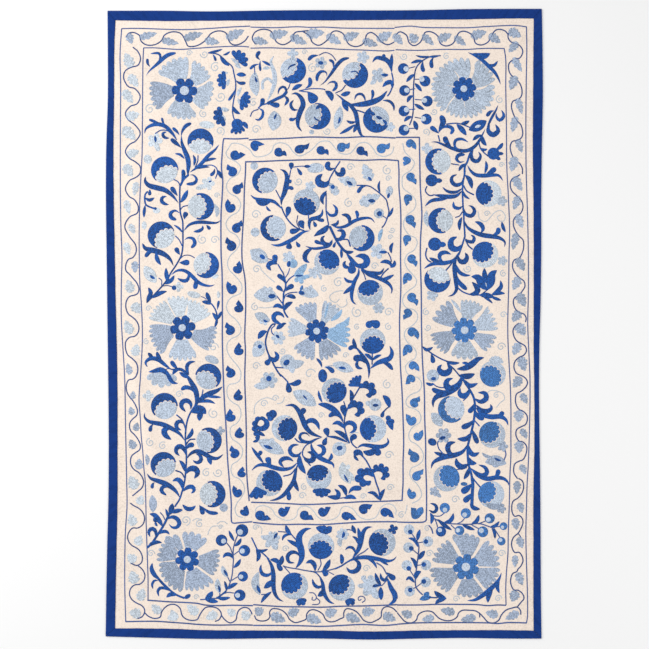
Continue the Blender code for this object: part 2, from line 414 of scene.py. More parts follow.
def thread(name, colour, contrast):
    """Rows of laid thread: ribs across the grain and nicks where a row is caught, with painted shade between
    rows and in the nicks, and a tone for each motif.
    """
    material, tree, shader = new_material(name)
    grain = add_node(tree, "ShaderNodeAttribute", attribute_name="stitch")
    place = add_node(tree, "ShaderNodeTexCoord")
    split = tree.nodes.new("ShaderNodeSeparateXYZ")
    tree.links.new(grain.outputs["Vector"], split.inputs[0])
    along, across, motif_tone = split.outputs

    wander = add_node(tree, "ShaderNodeTexNoise", Scale=45.0, Detail=1.0)
    tree.links.new(place.outputs["Object"], wander.inputs["Vector"])
    shift = math_node(tree, "MULTIPLY", wander.outputs["Fac"], ROW_WANDER)
    row_phase = math_node(tree, "MULTIPLY", math_node(tree, "ADD", along, shift), 2 * math.pi / ROW_PITCH)
    rib_height_and_shade = math_node(tree, "ABSOLUTE", math_node(tree, "SINE", math_node(tree, "MULTIPLY", row_phase, 0.5)))
    catch_phase = math_node(tree, "ADD", math_node(tree, "MULTIPLY", across, 2 * math.pi / CATCH_PITCH),
                            math_node(tree, "MULTIPLY", row_phase, CATCH_SLANT))
    nick_depth_and_shade = math_node(tree, "POWER", math_node(tree, "ABSOLUTE", math_node(tree, "SINE", catch_phase)), 6.0)

    strands = add_node(tree, "ShaderNodeMapping", Scale=(1500.0, 90.0, 1.0))
    tree.links.new(grain.outputs["Vector"], strands.inputs[0])
    fibre = add_node(tree, "ShaderNodeTexNoise", Scale=1.0, Detail=1.0)
    tree.links.new(strands.outputs[0], fibre.inputs["Vector"])
    mottle = add_node(tree, "ShaderNodeTexNoise", Scale=270.0, Detail=2.0)
    tree.links.new(place.outputs["Object"], mottle.inputs["Vector"])

    weight = THREAD_TONES
    # painted shade: the colour is darker in the gaps between rows and in the nicks where each row is caught
    tone = math_node(tree, "MULTIPLY", rib_height_and_shade, weight["rib_height_and_shade"])
    tone = math_node(tree, "SUBTRACT", tone, math_node(tree, "MULTIPLY", nick_depth_and_shade, weight["nick_depth_and_shade"]))
    tone = math_node(tree, "ADD", tone, math_node(tree, "MULTIPLY", mottle.outputs["Fac"], weight["mottle"]))
    tone = math_node(tree, "SUBTRACT", tone, TONE_SHIFT)
    tone = math_node(tree, "ADD", tone, math_node(tree, "MULTIPLY", fibre.outputs["Fac"], weight["fibre"]))
    tone = math_node(tree, "ADD", tone, math_node(tree, "MULTIPLY", motif_tone, weight["motif"]))
    shaded = ramp(tree, tone, (0.30, tinted(colour, 1.0 - contrast)), (0.60, colour),
                  (0.90, tinted(colour, 1.0 + contrast)))
    tree.links.new(shaded, shader.inputs["Base Color"])

    height = math_node(tree, "SUBTRACT", rib_height_and_shade, math_node(tree, "MULTIPLY", nick_depth_and_shade, NICK_DEPTH))
    height = math_node(tree, "ADD", height, math_node(tree, "MULTIPLY", fibre.outputs["Fac"], FIBRE_HEIGHT))
    bump = add_node(tree, "ShaderNodeBump", Strength=0.5, Distance=0.0008)
    tree.links.new(height, bump.inputs["Height"])
    tree.links.new(bump.outputs[0], shader.inputs["Normal"])
    shader.inputs["Roughness"].default_value = 0.62
    shader.inputs["Specular IOR Level"].default_value = 0.3
    shader.inputs["Sheen Weight"].default_value = 0.15
    shader.inputs["Sheen Roughness"].default_value = 0.45
    return material


# thread: material, slot, height of its padding; darker thread lies over paler
THREADS = {
    "dark": (thread("dark_blue", from_display(20, 78, 152), 0.60), "dark_blue_thread", 1.35 * MM),
    "mid": (thread("mid_blue", from_display(62, 115, 180), 0.52), "mid_blue_thread", 1.2 * MM),
    "sky": (thread("sky_blue", from_display(144, 179, 214), 0.34), "mid_blue_thread", 0.95 * MM),
    "pale": (thread("pale_blue", from_display(183, 196, 213), 0.34), "pale_blue_thread", 0.9 * MM),
    "eye": (thread("eye_blue", from_display(196, 208, 224), 0.26), "pale_blue_thread", 1.8 * MM),
    "mist": (thread("mist_blue", from_display(200, 210, 220), 0.32), "pale_blue_thread", 0.85 * MM),
    "stone": (thread("stone_blue", from_display(160, 174, 196), 0.40), "pale_blue_thread", 0.9 * MM),
    "slate": (thread("slate_blue", from_display(70, 94, 150), 0.34), "dark_blue_thread", 1.0 * MM),
    "ink": (thread("ink_blue", from_display(52, 78, 132), 0.36), "dark_blue_thread", 1.0 * MM),
    "curl": (thread("grey_blue", from_display(190, 198, 207), 0.14), "pale_blue_thread", 0.8 * MM),
}

# %% [markdown]
# ## The ground
#
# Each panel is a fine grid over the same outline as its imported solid. The grid's lines run from edge
# to edge, so the cloth's border follows the uneven edge, and Solidify gives the cotton its thickness.
# The selvedges lap by a tenth of a millimetre, so a seam shows only where the drawing steps sideways.

# %% Ground panels
GROUND_LENGTH = 2.0
GROUND_WIDTH = 0.46
GROUND_STEP = 7 * MM
PANEL_TUCK = 3 * MM
SEAM_LAP = 0.1 * MM


def ground_panel(name, left, right):
    """Grid of (u, v) in 0 to 1: x runs between the panel's two side lines, y between the blanket's ends."""
    rows = round(GROUND_LENGTH / GROUND_STEP)
    columns = round(GROUND_WIDTH / GROUND_STEP)
    u, v = np.meshgrid(np.linspace(0, 1, columns + 1), np.linspace(0, 1, rows + 1))
    y = -GROUND_LENGTH / 2 + GROUND_LENGTH * v
    for _ in range(2):
        x_left = edge(left[0], y) + left[1]
        x_right = edge(right[0], y) + right[1]
        x = x_left + (x_right - x_left) * u
        low = edge("outer_bottom", x) + PANEL_TUCK
        high = edge("outer_top", x) - PANEL_TUCK
        y = low + (high - low) * v
    z = underside(x, y) + cockles(x, y)
    points = np.stack((x, y, z), axis=-1).reshape(-1, 3)
    stitch = np.stack((x, y, np.zeros_like(x)), axis=-1).reshape(-1, 3)
    piece = add_mesh(name, points, grid_faces(rows + 1, columns + 1), stitch)
    on_rim = np.zeros((rows + 1, columns + 1), dtype=bool)
    on_rim[[0, -1]] = True
    on_rim[:, [0, -1]] = True
    on_rim = on_rim.ravel()
    for line in piece.data.edges:
        line.use_edge_sharp = bool(on_rim[line.vertices[0]] and on_rim[line.vertices[1]])
    solidify = piece.modifiers.new("cotton_thickness", "SOLIDIFY")
    solidify.thickness = COTTON
    solidify.offset = 1.0
    piece.data.materials.append(GROUND)
    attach(piece, "root")
    return piece


ground_left = ground_panel("ground_left", ("outer_left", PANEL_TUCK), ("join_left", SEAM_LAP / 2))
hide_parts("panel_left")
ground_centre = ground_panel("ground_centre", ("join_left", -SEAM_LAP / 2), ("join_right", SEAM_LAP / 2))
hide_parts("panel_centre")
ground_right = ground_panel("ground_right", ("join_right", -SEAM_LAP / 2), ("outer_right", -PANEL_TUCK))
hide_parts("panel_right")

# %% [markdown]
# ## The binding
#
# A strip of blue cotton is folded over the edge and sewn down, mitred at the corners. Its section is
# an open line: a leg on the surface, a half turn round the edge, and a leg on the panels that swells a
# little between the fold and the seam, and puckers where the sewing draws it in. The section is
# carried from mitre to mitre along both edge lines at once.

# %% Binding strips
BINDING_CLOTH = 0.6 * MM
BINDING_LOW = 0.5 * MM
BINDING_HIGH = 3.55 * MM
BACK_LEG_INSET = 2 * MM
MITRE_GAP = 0.3 * MM
TURN_STEPS = 7
FRONT_STEPS = 9
BINDING_STEP = 6 * MM
PUCKER = 0.35 * MM
PUCKER_WAVES = (
    # radians per metre along the edge, share of the strip's tone, phase
    (83, 9.0, 0.0),
    (131, 0.0, 2.1),
    (47, 1.0, 0.0),
)
CALM_WAVE = 5.3
BINDING_SWELL = 0.3 * MM
SEAM_SHARE = 0.97
SEAM_SINK = 0.35 * MM
SEAM_WAVE = 0.4 * MM
THREAD_GRAIN = 0.03


def corner(side, end, outer):
    """Where a long and a short edge cross."""
    kind = "outer_" if outer else "inner_"
    y = float(edge(kind + end, 0.0))
    x = float(edge(kind + side, y))
    y = float(edge(kind + end, x))
    return np.array((float(edge(kind + side, y)), y))


def binding_section():
    """For each point of the section: share of the width, distance in, height, and 1 on the half circle."""
    radius = (BINDING_HIGH - BINDING_LOW) / 2
    centre = radius + BINDING_CLOTH / 2
    angle = -math.pi / 2 - np.linspace(0, math.pi, TURN_STEPS + 1)
    share = np.linspace(0, 1, FRONT_STEPS + 1)[1:]
    zeros = np.zeros_like(angle)
    distance = np.concatenate(([-BACK_LEG_INSET], centre + radius * np.cos(angle), np.zeros_like(share)))
    height = np.concatenate(([BINDING_LOW], BINDING_LOW + radius + radius * np.sin(angle),
                             np.full_like(share, BINDING_HIGH)))
    return (np.concatenate(([1.0], zeros, share)), distance, height,
            np.concatenate(([0.0], zeros + 1.0, np.zeros_like(share))))


def binding_strip(name, side_or_end, runs_along, tone):
    """The section carried along an edge, from its outer to its inner line, with a swell and puckers."""
    share, distance, height, turn = binding_section()
    both_lines = (True, False)
    if runs_along:
        ends = [[corner(side_or_end, end, outer)[1] for end in ("bottom", "top")] for outer in both_lines]
    else:
        ends = [[corner(side, side_or_end, outer)[0] for side in ("left", "right")] for outer in both_lines]
    steps = round((ends[0][1] - ends[0][0]) / BINDING_STEP)
    s = np.linspace(0, 1, steps + 1)[:, None]
    outer_along = ends[0][0] + (ends[0][1] - ends[0][0]) * s
    inner_along = ends[1][0] + (ends[1][1] - ends[1][0]) * s
    outer_across = edge("outer_" + side_or_end, outer_along)
    inner_across = edge("inner_" + side_or_end, inner_along)
    inset = share[None, :] + distance[None, :] / np.abs(inner_across - outer_across)
    along = outer_along + (inner_along - outer_along) * inset
    across = outer_across + (inner_across - outer_across) * inset

    trim = (MITRE_GAP / 2 + BINDING_CLOTH / 2 * turn)[None, :]
    along[:1] += trim
    along[-1:] -= trim
    wave = sum(np.sin(outer_along * turns + tone * share_of_tone + phase)
               for turns, share_of_tone, phase in PUCKER_WAVES)
    patchy = 0.5 + 0.5 * np.sin(outer_along * CALM_WAVE + tone * 4)
    front = share * (1.0 - turn) * (height > BINDING_HIGH - MM)
    puckers = PUCKER * wave / 3 * patchy * np.sin(math.pi * np.clip(front, 0, 1) ** 0.8)[None, :]
    swell = BINDING_SWELL * np.sin(math.pi * front) ** 0.7
    drawn_in = np.where(front > SEAM_SHARE, -SEAM_SINK, 0.0)
    z = height[None, :] + puckers + (swell + drawn_in)[None, :]
    seam_wave = SEAM_WAVE * wave / 3 * (front > SEAM_SHARE)[None, :]
    across = across + seam_wave * np.sign(inner_across - outer_across)

    x, y = (across, along) if runs_along else (along, across)
    grain = np.broadcast_to(inset * THREAD_GRAIN, x.shape)
    points = np.stack((x, y, z), axis=-1).reshape(-1, 3)
    stitch = np.stack((np.broadcast_to(outer_along, x.shape), grain, np.full_like(x, tone)), axis=-1)
    piece = add_mesh(name, points, grid_faces(len(s), len(share)), stitch.reshape(-1, 3))
    solidify = piece.modifiers.new("cotton_thickness", "SOLIDIFY")
    solidify.thickness = BINDING_CLOTH
    solidify.offset = 0.0
    piece.data.materials.append(BINDING)
    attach(piece, "root")
    return piece


strip_left = binding_strip("strip_left", "left", True, 0.2)
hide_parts("binding_left")
strip_right = binding_strip("strip_right", "right", True, -0.6)
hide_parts("binding_right")
strip_bottom = binding_strip("strip_bottom", "bottom", False, -0.4)
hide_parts("binding_bottom")
strip_top = binding_strip("strip_top", "top", False, 0.0)
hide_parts("binding_top")

# %% [markdown]
# ## Stitched shapes
#
# Suzani stitches fill a drawn shape with laid thread, so each motif stands up as a low cushion with a
# soft rim. Two surfaces make most of them. A band lies between two lines, which suits stems, leaves and
# crescents. A patch spreads from a middle point to a closed outline, which suits discs and the flesh of
# a fruit. Petals are a third, a fan of rays. All sink their rims into the cotton, close underneath and
# sit on the cloth's face.

# %% Bands and patches
RIM_SINK = 0.25 * MM
ROUNDED_WIDTH = 3.5 * MM
FULL_HALF_WIDTH = 2.2 * MM
PATH_STEP = 4.5 * MM
PATH_PIECES = 16
BAND_POINTS = 7
PATCH_RINGS = 6
PATCH_BASE = -0.2
PADDING_SPREAD = (0.92, 1.08)
WELD = 0.00002


def dome(distance_in, half_width):
    """Share of the full height: a quarter circle that levels off, lower where the shape is narrow."""
    full = np.minimum(1.0, half_width / FULL_HALF_WIDTH)
    reach = np.clip(distance_in / np.maximum(np.minimum(half_width, ROUNDED_WIDTH), 1e-6), 0.0, 1.0)
    return full * np.sqrt(1.0 - (1.0 - reach) ** 2)


def smooth_path(places, step=PATH_STEP):
    """Centripetal Catmull-Rom curve through places in centimetres, read again at even steps."""
    knots = np.asarray(places, dtype=float).reshape(-1, 2) * CM
    knots = np.concatenate((2 * knots[:1] - knots[1:2], knots, 2 * knots[-1:] - knots[-2:-1]))
    before, start, end, after = knots[:-3], knots[1:-2], knots[2:-1], knots[3:]
    t0 = np.sqrt(np.linalg.norm(start - before, axis=1))[:, None]
    t1 = np.sqrt(np.linalg.norm(end - start, axis=1))[:, None]
    t2 = np.sqrt(np.linalg.norm(after - end, axis=1))[:, None]
    leave = end - start + t1 * ((start - before) / t0 - (end - before) / (t0 + t1))
    arrive = end - start + t1 * ((after - end) / t2 - (after - start) / (t1 + t2))
    t = np.linspace(0, 1, PATH_PIECES + 1)[:-1][None, :, None]
    fine = ((2 * t ** 3 - 3 * t ** 2 + 1) * start[:, None] + (t ** 3 - 2 * t ** 2 + t) * leave[:, None]
            + (3 * t ** 2 - 2 * t ** 3) * end[:, None] + (t ** 3 - t ** 2) * arrive[:, None])
    fine = np.concatenate((fine.reshape(-1, 2), end[-1:]))
    travelled = np.concatenate(([0.0], np.cumsum(np.linalg.norm(np.diff(fine, axis=0), axis=1))))
    count = max(8, math.ceil(travelled[-1] / step))
    at = np.linspace(0, travelled[-1], count + 1)
    return np.stack((np.interp(at, travelled, fine[:, 0]), np.interp(at, travelled, fine[:, 1])), axis=1)


def lengths_along(path):
    """Distance travelled at each point of a path."""
    return np.concatenate(([0.0], np.cumsum(np.linalg.norm(np.diff(path, axis=0), axis=1))))


def band(left, right):
    """Points between two lines, raised by the dome, with the underside closed from rim to rim."""
    t = 0.5 - 0.5 * np.cos(np.linspace(0, math.pi, BAND_POINTS))
    points = left[:, None] + (right - left)[:, None] * t[None, :, None]
    width = np.linalg.norm(right - left, axis=1)[:, None]
    distance_in = width * np.minimum(t, 1 - t)[None, :]
    raised = dome(distance_in, width / 2 + 1e-6)
    along = lengths_along((left + right) / 2)[:, None]
    stitch = np.stack(np.broadcast_arrays(along, width * (t[None, :] - 0.5), random.uniform(-1, 1)), axis=-1)
    solid = np.concatenate((points, raised[..., None]), axis=-1).reshape(-1, 3)
    return solid, grid_faces(len(left), BAND_POINTS, closed=True), stitch.reshape(-1, 3)


def ribbon(path, widths):
    """A band whose two lines stand half a width to each side of a path."""
    way = np.gradient(path, axis=0)
    way /= np.maximum(np.linalg.norm(way, axis=1, keepdims=True), 1e-9)
    aside = np.stack((-way[:, 1], way[:, 0]), axis=1) * widths[:, None] / 2
    return band(path + aside, path - aside)


def patch(outline, middle, direction=0.0):
    """Points from a middle to a closed outline, raised by the dome; a flat layer closes it below."""
    reach = np.linspace(0, 1, PATCH_RINGS + 1)[1:] ** 0.7
    spokes = outline - middle
    points = middle + spokes[None] * reach[:, None, None]
    size = np.linalg.norm(spokes, axis=1)[None, :]
    raised = dome(size * (1 - reach)[:, None], size)
    turned = (points - middle) @ np.array(((math.cos(direction), -math.sin(direction)),
                                           (math.sin(direction), math.cos(direction))))
    count = len(outline)
    layers = [
        np.broadcast_to((*middle, 1.0), (count, 3)),
        *np.concatenate((points, raised[..., None]), axis=-1),
        np.column_stack((outline, np.full(count, PATCH_BASE))),
        np.broadcast_to((*middle, PATCH_BASE), (count, 3)),
    ]
    tone = np.full((*raised.shape, 1), random.uniform(-1, 1))
    stitch = np.concatenate((turned, tone), axis=-1)
    stitches = [stitch[0] * (0, 0, 1), *stitch, stitch[-1], stitch[-1]]
    faces = grid_faces(PATCH_RINGS + 3, count, closed=True)
    return np.concatenate(layers), faces, np.concatenate(stitches)


def sew(region, **charts):
    """For each thread, join its shapes into one piece on the cloth's face, welding tips and middles."""
    for thread_name, shapes in charts.items():
        material, slot, height = THREADS[thread_name]
        sizes = [len(points) for points, _, _ in shapes]
        starts = np.cumsum([0] + sizes[:-1])
        heights = np.repeat(height * random.uniform(*PADDING_SPREAD, len(shapes)), sizes)
        points = np.concatenate([points for points, _, _ in shapes])
        faces = np.concatenate([faces + start for (_, faces, _), start in zip(shapes, starts)])
        stitch = np.concatenate([grain for _, _, grain in shapes])
        points[:, 2] = face(points[:, 0], points[:, 1]) - RIM_SINK + heights * points[:, 2]
        piece = add_mesh(region + "_" + thread_name, points, faces, stitch, weld=WELD)
        piece.data.materials.append(material)
        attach(piece, "root")
        print(piece.name, len(shapes), "shapes,", len(piece.data.polygons), "faces")


# %% [markdown]
# ## A small vocabulary of motifs
#
# The whole design is drawn from about a dozen shapes that suzanis share: stems, pointed leaves, comma
# leaves with one round end, curls, lobed discs, scalloped petals and the pomegranate, a disc with a
# bite taken out of it. Each shape takes its size and a few places in centimetres from the blanket's
# middle, so that a row of the chart reads like an instruction to the embroiderer.

# %% Motif shapes
CURL_WIDTH = 0.38
CURL_SHRINK = 0.82
LOBE_OVERLAP = 1.01
SCALLOPS = 15
SCALLOP_DEPTH = 0.16
# two less twice the cosine of 116 degrees, which is how far round a crescent's tips lie
TIP_FACTOR = 2.877


def stem(width, *places):
    """An even line of chain stitch with round ends."""
    path = smooth_path(places)
    half = width * CM / 2
    start, end = path[0] - path[1], path[-1] - path[-2]
    path = np.concatenate(((path[0] + start / np.linalg.norm(start) * half)[None], path,
                           (path[-1] + end / np.linalg.norm(end) * half)[None]))
    along = lengths_along(path)
    from_end = np.minimum(along, along[-1] - along)
    widths = 2 * np.sqrt(np.maximum(half ** 2 - np.maximum(half - from_end, 0) ** 2, 0))
    return ribbon(path, widths)


def tapered(width, places, start_power, end_power):
    """A leaf: its width follows s^a (1 - s)^b, scaled to the asked width where it is widest."""
    path = smooth_path(places)
    even = np.linspace(0, 1, max(14, len(path)))
    s = 0.5 - 0.5 * np.cos(even * math.pi)
    at = np.linspace(0, 1, len(path))
    path = np.stack((np.interp(s, at, path[:, 0]), np.interp(s, at, path[:, 1])), axis=1)
    widest = start_power / (start_power + end_power)
    peak = widest ** start_power * (1 - widest) ** end_power
    return ribbon(path, width * CM * s ** start_power * (1 - s) ** end_power / peak)


def uneven(width, places, start_power, end_power, left_cut, right_cut):
    """A tapered leaf of which each side is drawn in by its own factor, given for shares of the length."""
    path = smooth_path(places, step=PATH_STEP / 3)
    s = np.linspace(0, 1, len(path))
    widest = start_power / (start_power + end_power)
    peak = widest ** start_power * (1 - widest) ** end_power
    half = width * CM / 2 * s ** start_power * (1 - s) ** end_power / peak
    way = np.gradient(path, axis=0)
    way /= np.maximum(np.linalg.norm(way, axis=1, keepdims=True), 1e-9)
    aside = np.stack((-way[:, 1], way[:, 0]), axis=1)
    return band(path + aside * (half * left_cut(s))[:, None], path - aside * (half * right_cut(s))[:, None])


def frond(width, lobes, *places):
    """A leaf with round lobes along its left side, or along its right side where lobes is negative."""
    sides = (lambda s: 0.45 + 0.55 * np.abs(np.sin(math.pi * s * lobes)) ** 0.6, lambda s: 0.55)
    return uneven(width, places, 0.6, 0.6, *(sides if lobes > 0 else sides[::-1]))


def leaf(width, *places):
    """Pointed at both ends."""
    return tapered(width, places, 0.85, 0.85)


def comma(width, *places):
    """Thin where it leaves the stem, round at its head."""
    return tapered(width, places, 1.15, 0.45)


def horn(width, *places):
    """Thin where it leaves the stem, widest past its middle, with a pointed tip."""
    return tapered(width, places, 1.0, 0.7)


def oval(width, *places):
    """Round at both ends."""
    return tapered(width, places, 0.5, 0.5)


def curl(x, y, radius, start, turns=1.4):
    """A spiral of one thread: the radius falls evenly with the angle."""
    a = np.linspace(0, 1, 12 + int(abs(turns) * 10))
    angle = math.radians(start) + 2 * math.pi * turns * a
    r = radius * (1 - CURL_SHRINK * a)
    places = np.stack((x + r * np.cos(angle), y + r * np.sin(angle)), axis=1)
    return stem(CURL_WIDTH, *places.ravel())


def lobed(angle, lobes):
    """Radius of a ring of round lobes, as a share of its largest: d cos + sqrt(p^2 - d^2 sin^2)."""
    lobe = math.sin(math.pi / lobes) * LOBE_OVERLAP
    d = 1 / (1 + lobe)
    p = d * lobe
    turn = (angle + math.pi / lobes) % (2 * math.pi / lobes) - math.pi / lobes
    return d * np.cos(turn) + np.sqrt(np.maximum(p ** 2 - (d * np.sin(turn)) ** 2, 0))


def bud(width, *places):
    """A leaf of the inner band: a round body about the first place, notched on one side, and a tail."""
    away = np.array(places[:2]) - np.array(places[2:4])
    foot = np.array(places[:2]) + away / np.linalg.norm(away) * width * 0.5
    sides = (lambda s: 1 - 0.55 * np.exp(-((s - 0.56) / 0.07) ** 2), lambda s: 1.0)
    order = int(random.choice((-1, 1)))
    return uneven(width * 1.1, (*foot, *places), 0.55, 1.2, *sides[::order])


def ragged(width, *places):
    """A leaf of the outer band: like a bud, with round lobes down both sides."""
    away = np.array(places[:2]) - np.array(places[2:4])
    foot = np.array(places[:2]) + away / np.linalg.norm(away) * width * 0.55
    turn = random.uniform(0, 0.4)
    sides = (lambda s: 0.62 + 0.38 * np.abs(np.sin(math.pi * (s * 4 + turn))) ** 0.7,
             lambda s: 0.62 + 0.38 * np.abs(np.sin(math.pi * (s * 3.4 - turn))) ** 0.7)
    return uneven(width * 1.36, (*foot, *places), 0.55, 0.95, *sides)


def disc(x, y, radius, lobes=0, turn=0.0):
    """A round or lobed patch."""
    count = max(20, lobes * 10)
    angle = np.linspace(0, 2 * math.pi, count, endpoint=False)
    r = radius * CM * (lobed(angle, lobes) if lobes else 1.0)
    angle = angle + math.radians(turn)
    middle = np.array((x, y)) * CM
    r = np.broadcast_to(r, angle.shape)[:, None]
    return patch(middle + np.stack((np.cos(angle), np.sin(angle)), axis=1) * r, middle)


def bite_line(angle, x, y, direction, depth, inner, limit):
    """The flesh's scalloped circle, set back from the fruit's middle and held within the limit about it."""
    reach = inner * (1 + SCALLOP_DEPTH * (np.abs(np.sin(angle * SCALLOPS / 2)) ** 0.7 - 0.65))
    points = np.stack((reach * np.cos(angle) - depth, reach * np.sin(angle)), axis=1)
    points *= np.minimum(1.0, limit / np.linalg.norm(points, axis=1))[:, None]
    c, s = math.cos(math.radians(direction)), math.sin(math.radians(direction))
    return (points @ np.array(((c, s), (-s, c))) + (x, y)) * CM


def bite_size(radius, thickness):
    """Setback and radius of the flesh that leave this share of the radius, and end 116 degrees round."""
    depth = thickness * (2 - thickness) / (TIP_FACTOR - 2 * thickness)
    return depth * radius, (1 + depth - thickness) * radius


def crescent(x, y, radius, direction, thickness):
    """The disc without its flesh, thickest in the given direction."""
    depth, inner = bite_size(radius, thickness)
    tip = math.acos((inner ** 2 - radius ** 2 - depth ** 2) / (2 * radius * depth))
    near_tip = math.atan2(radius * math.sin(tip), radius * math.cos(tip) + depth)
    near = bite_line(np.linspace(-near_tip, near_tip, 96), x, y, direction, depth, inner, radius)
    angle = np.linspace(-tip, tip, 96) + math.radians(direction)
    far = (np.stack((np.cos(angle), np.sin(angle)), axis=1) * radius + (x, y)) * CM
    return band(far, near)


def bite(x, y, radius, direction, thickness):
    """The flesh itself, scalloped against the crescent and round on its far side."""
    depth, inner = bite_size(radius, thickness)
    angle = np.linspace(-math.pi, math.pi, 120, endpoint=False)
    outline = bite_line(angle, x, y, direction, depth, inner * 0.985, radius * 0.985)
    facing = np.array((math.cos(math.radians(direction)), math.sin(math.radians(direction))))
    middle = (np.array((x, y)) - facing * radius * thickness * 0.5) * CM
    return patch(outline, middle, math.radians(direction))


PETAL_STEPS = np.array((0, .05, .12, .25, .42, .6, .76, .88, .95, .985, 1, .96, .8, .6, .4, .2, .04))
PETAL_TOP_STEPS = 11
PETAL_FLARE = math.radians(2.6)
PETAL_BASE = -0.3


def fan(x, y, direction, spread, inner, first, last, lobes=5, swirl=0.0, depth=0.10):
    """A petal about (x, y): rays to a scalloped far edge and back below, swung by swirl degrees."""
    side = np.linspace(-1, 1, lobes * 8 + 1)
    far = (first + last) / 2 + (last - first) / 2 * side
    far = far * (0.88 + 0.12 * np.sqrt(1 - side ** 8))
    far = far * (1 - depth * (1 - np.abs(np.sin(math.pi * (side + 1) / 2 * lobes)) ** 0.7))
    radius = (inner + (far[:, None] - inner) * PETAL_STEPS) * CM
    half = math.radians(spread) / 2
    angle = math.radians(direction) + side[:, None] * (half + PETAL_FLARE * PETAL_STEPS)
    angle = angle + math.radians(swirl) * PETAL_STEPS ** 2
    points = np.stack((x * CM + radius * np.cos(angle), y * CM + radius * np.sin(angle)), axis=-1)

    inside = np.minimum(radius - inner * CM, radius[:, PETAL_TOP_STEPS - 1, None] - radius)
    raised = dome(np.minimum((1 - np.abs(side))[:, None] * half * radius, inside), half * radius)
    raised[:, PETAL_TOP_STEPS:] = PETAL_BASE
    mean = math.radians(direction) + math.radians(swirl) * 0.35
    turned = (points - (x * CM, y * CM)) @ np.array(((math.cos(mean), -math.sin(mean)),
                                                     (math.sin(mean), math.cos(mean))))
    stitch = np.concatenate((turned, np.full((*raised.shape, 1), random.uniform(-1, 1))), axis=-1)
    solid = np.concatenate((points, raised[..., None]), axis=-1)
    return solid.reshape(-1, 3), grid_faces(*raised.shape, closed=True), stitch.reshape(-1, 3)


print("motif shapes ready")

# %% [markdown]
# ## The frame lines and their vines
#
# Two nested borders hold the design. Each is a pair of couched lines with a vine that winds from one to
# the other, and a leaf in every hollow. Every length of cotton was worked on its own, so a line that
# crosses a seam stops there and starts again a few millimetres off.

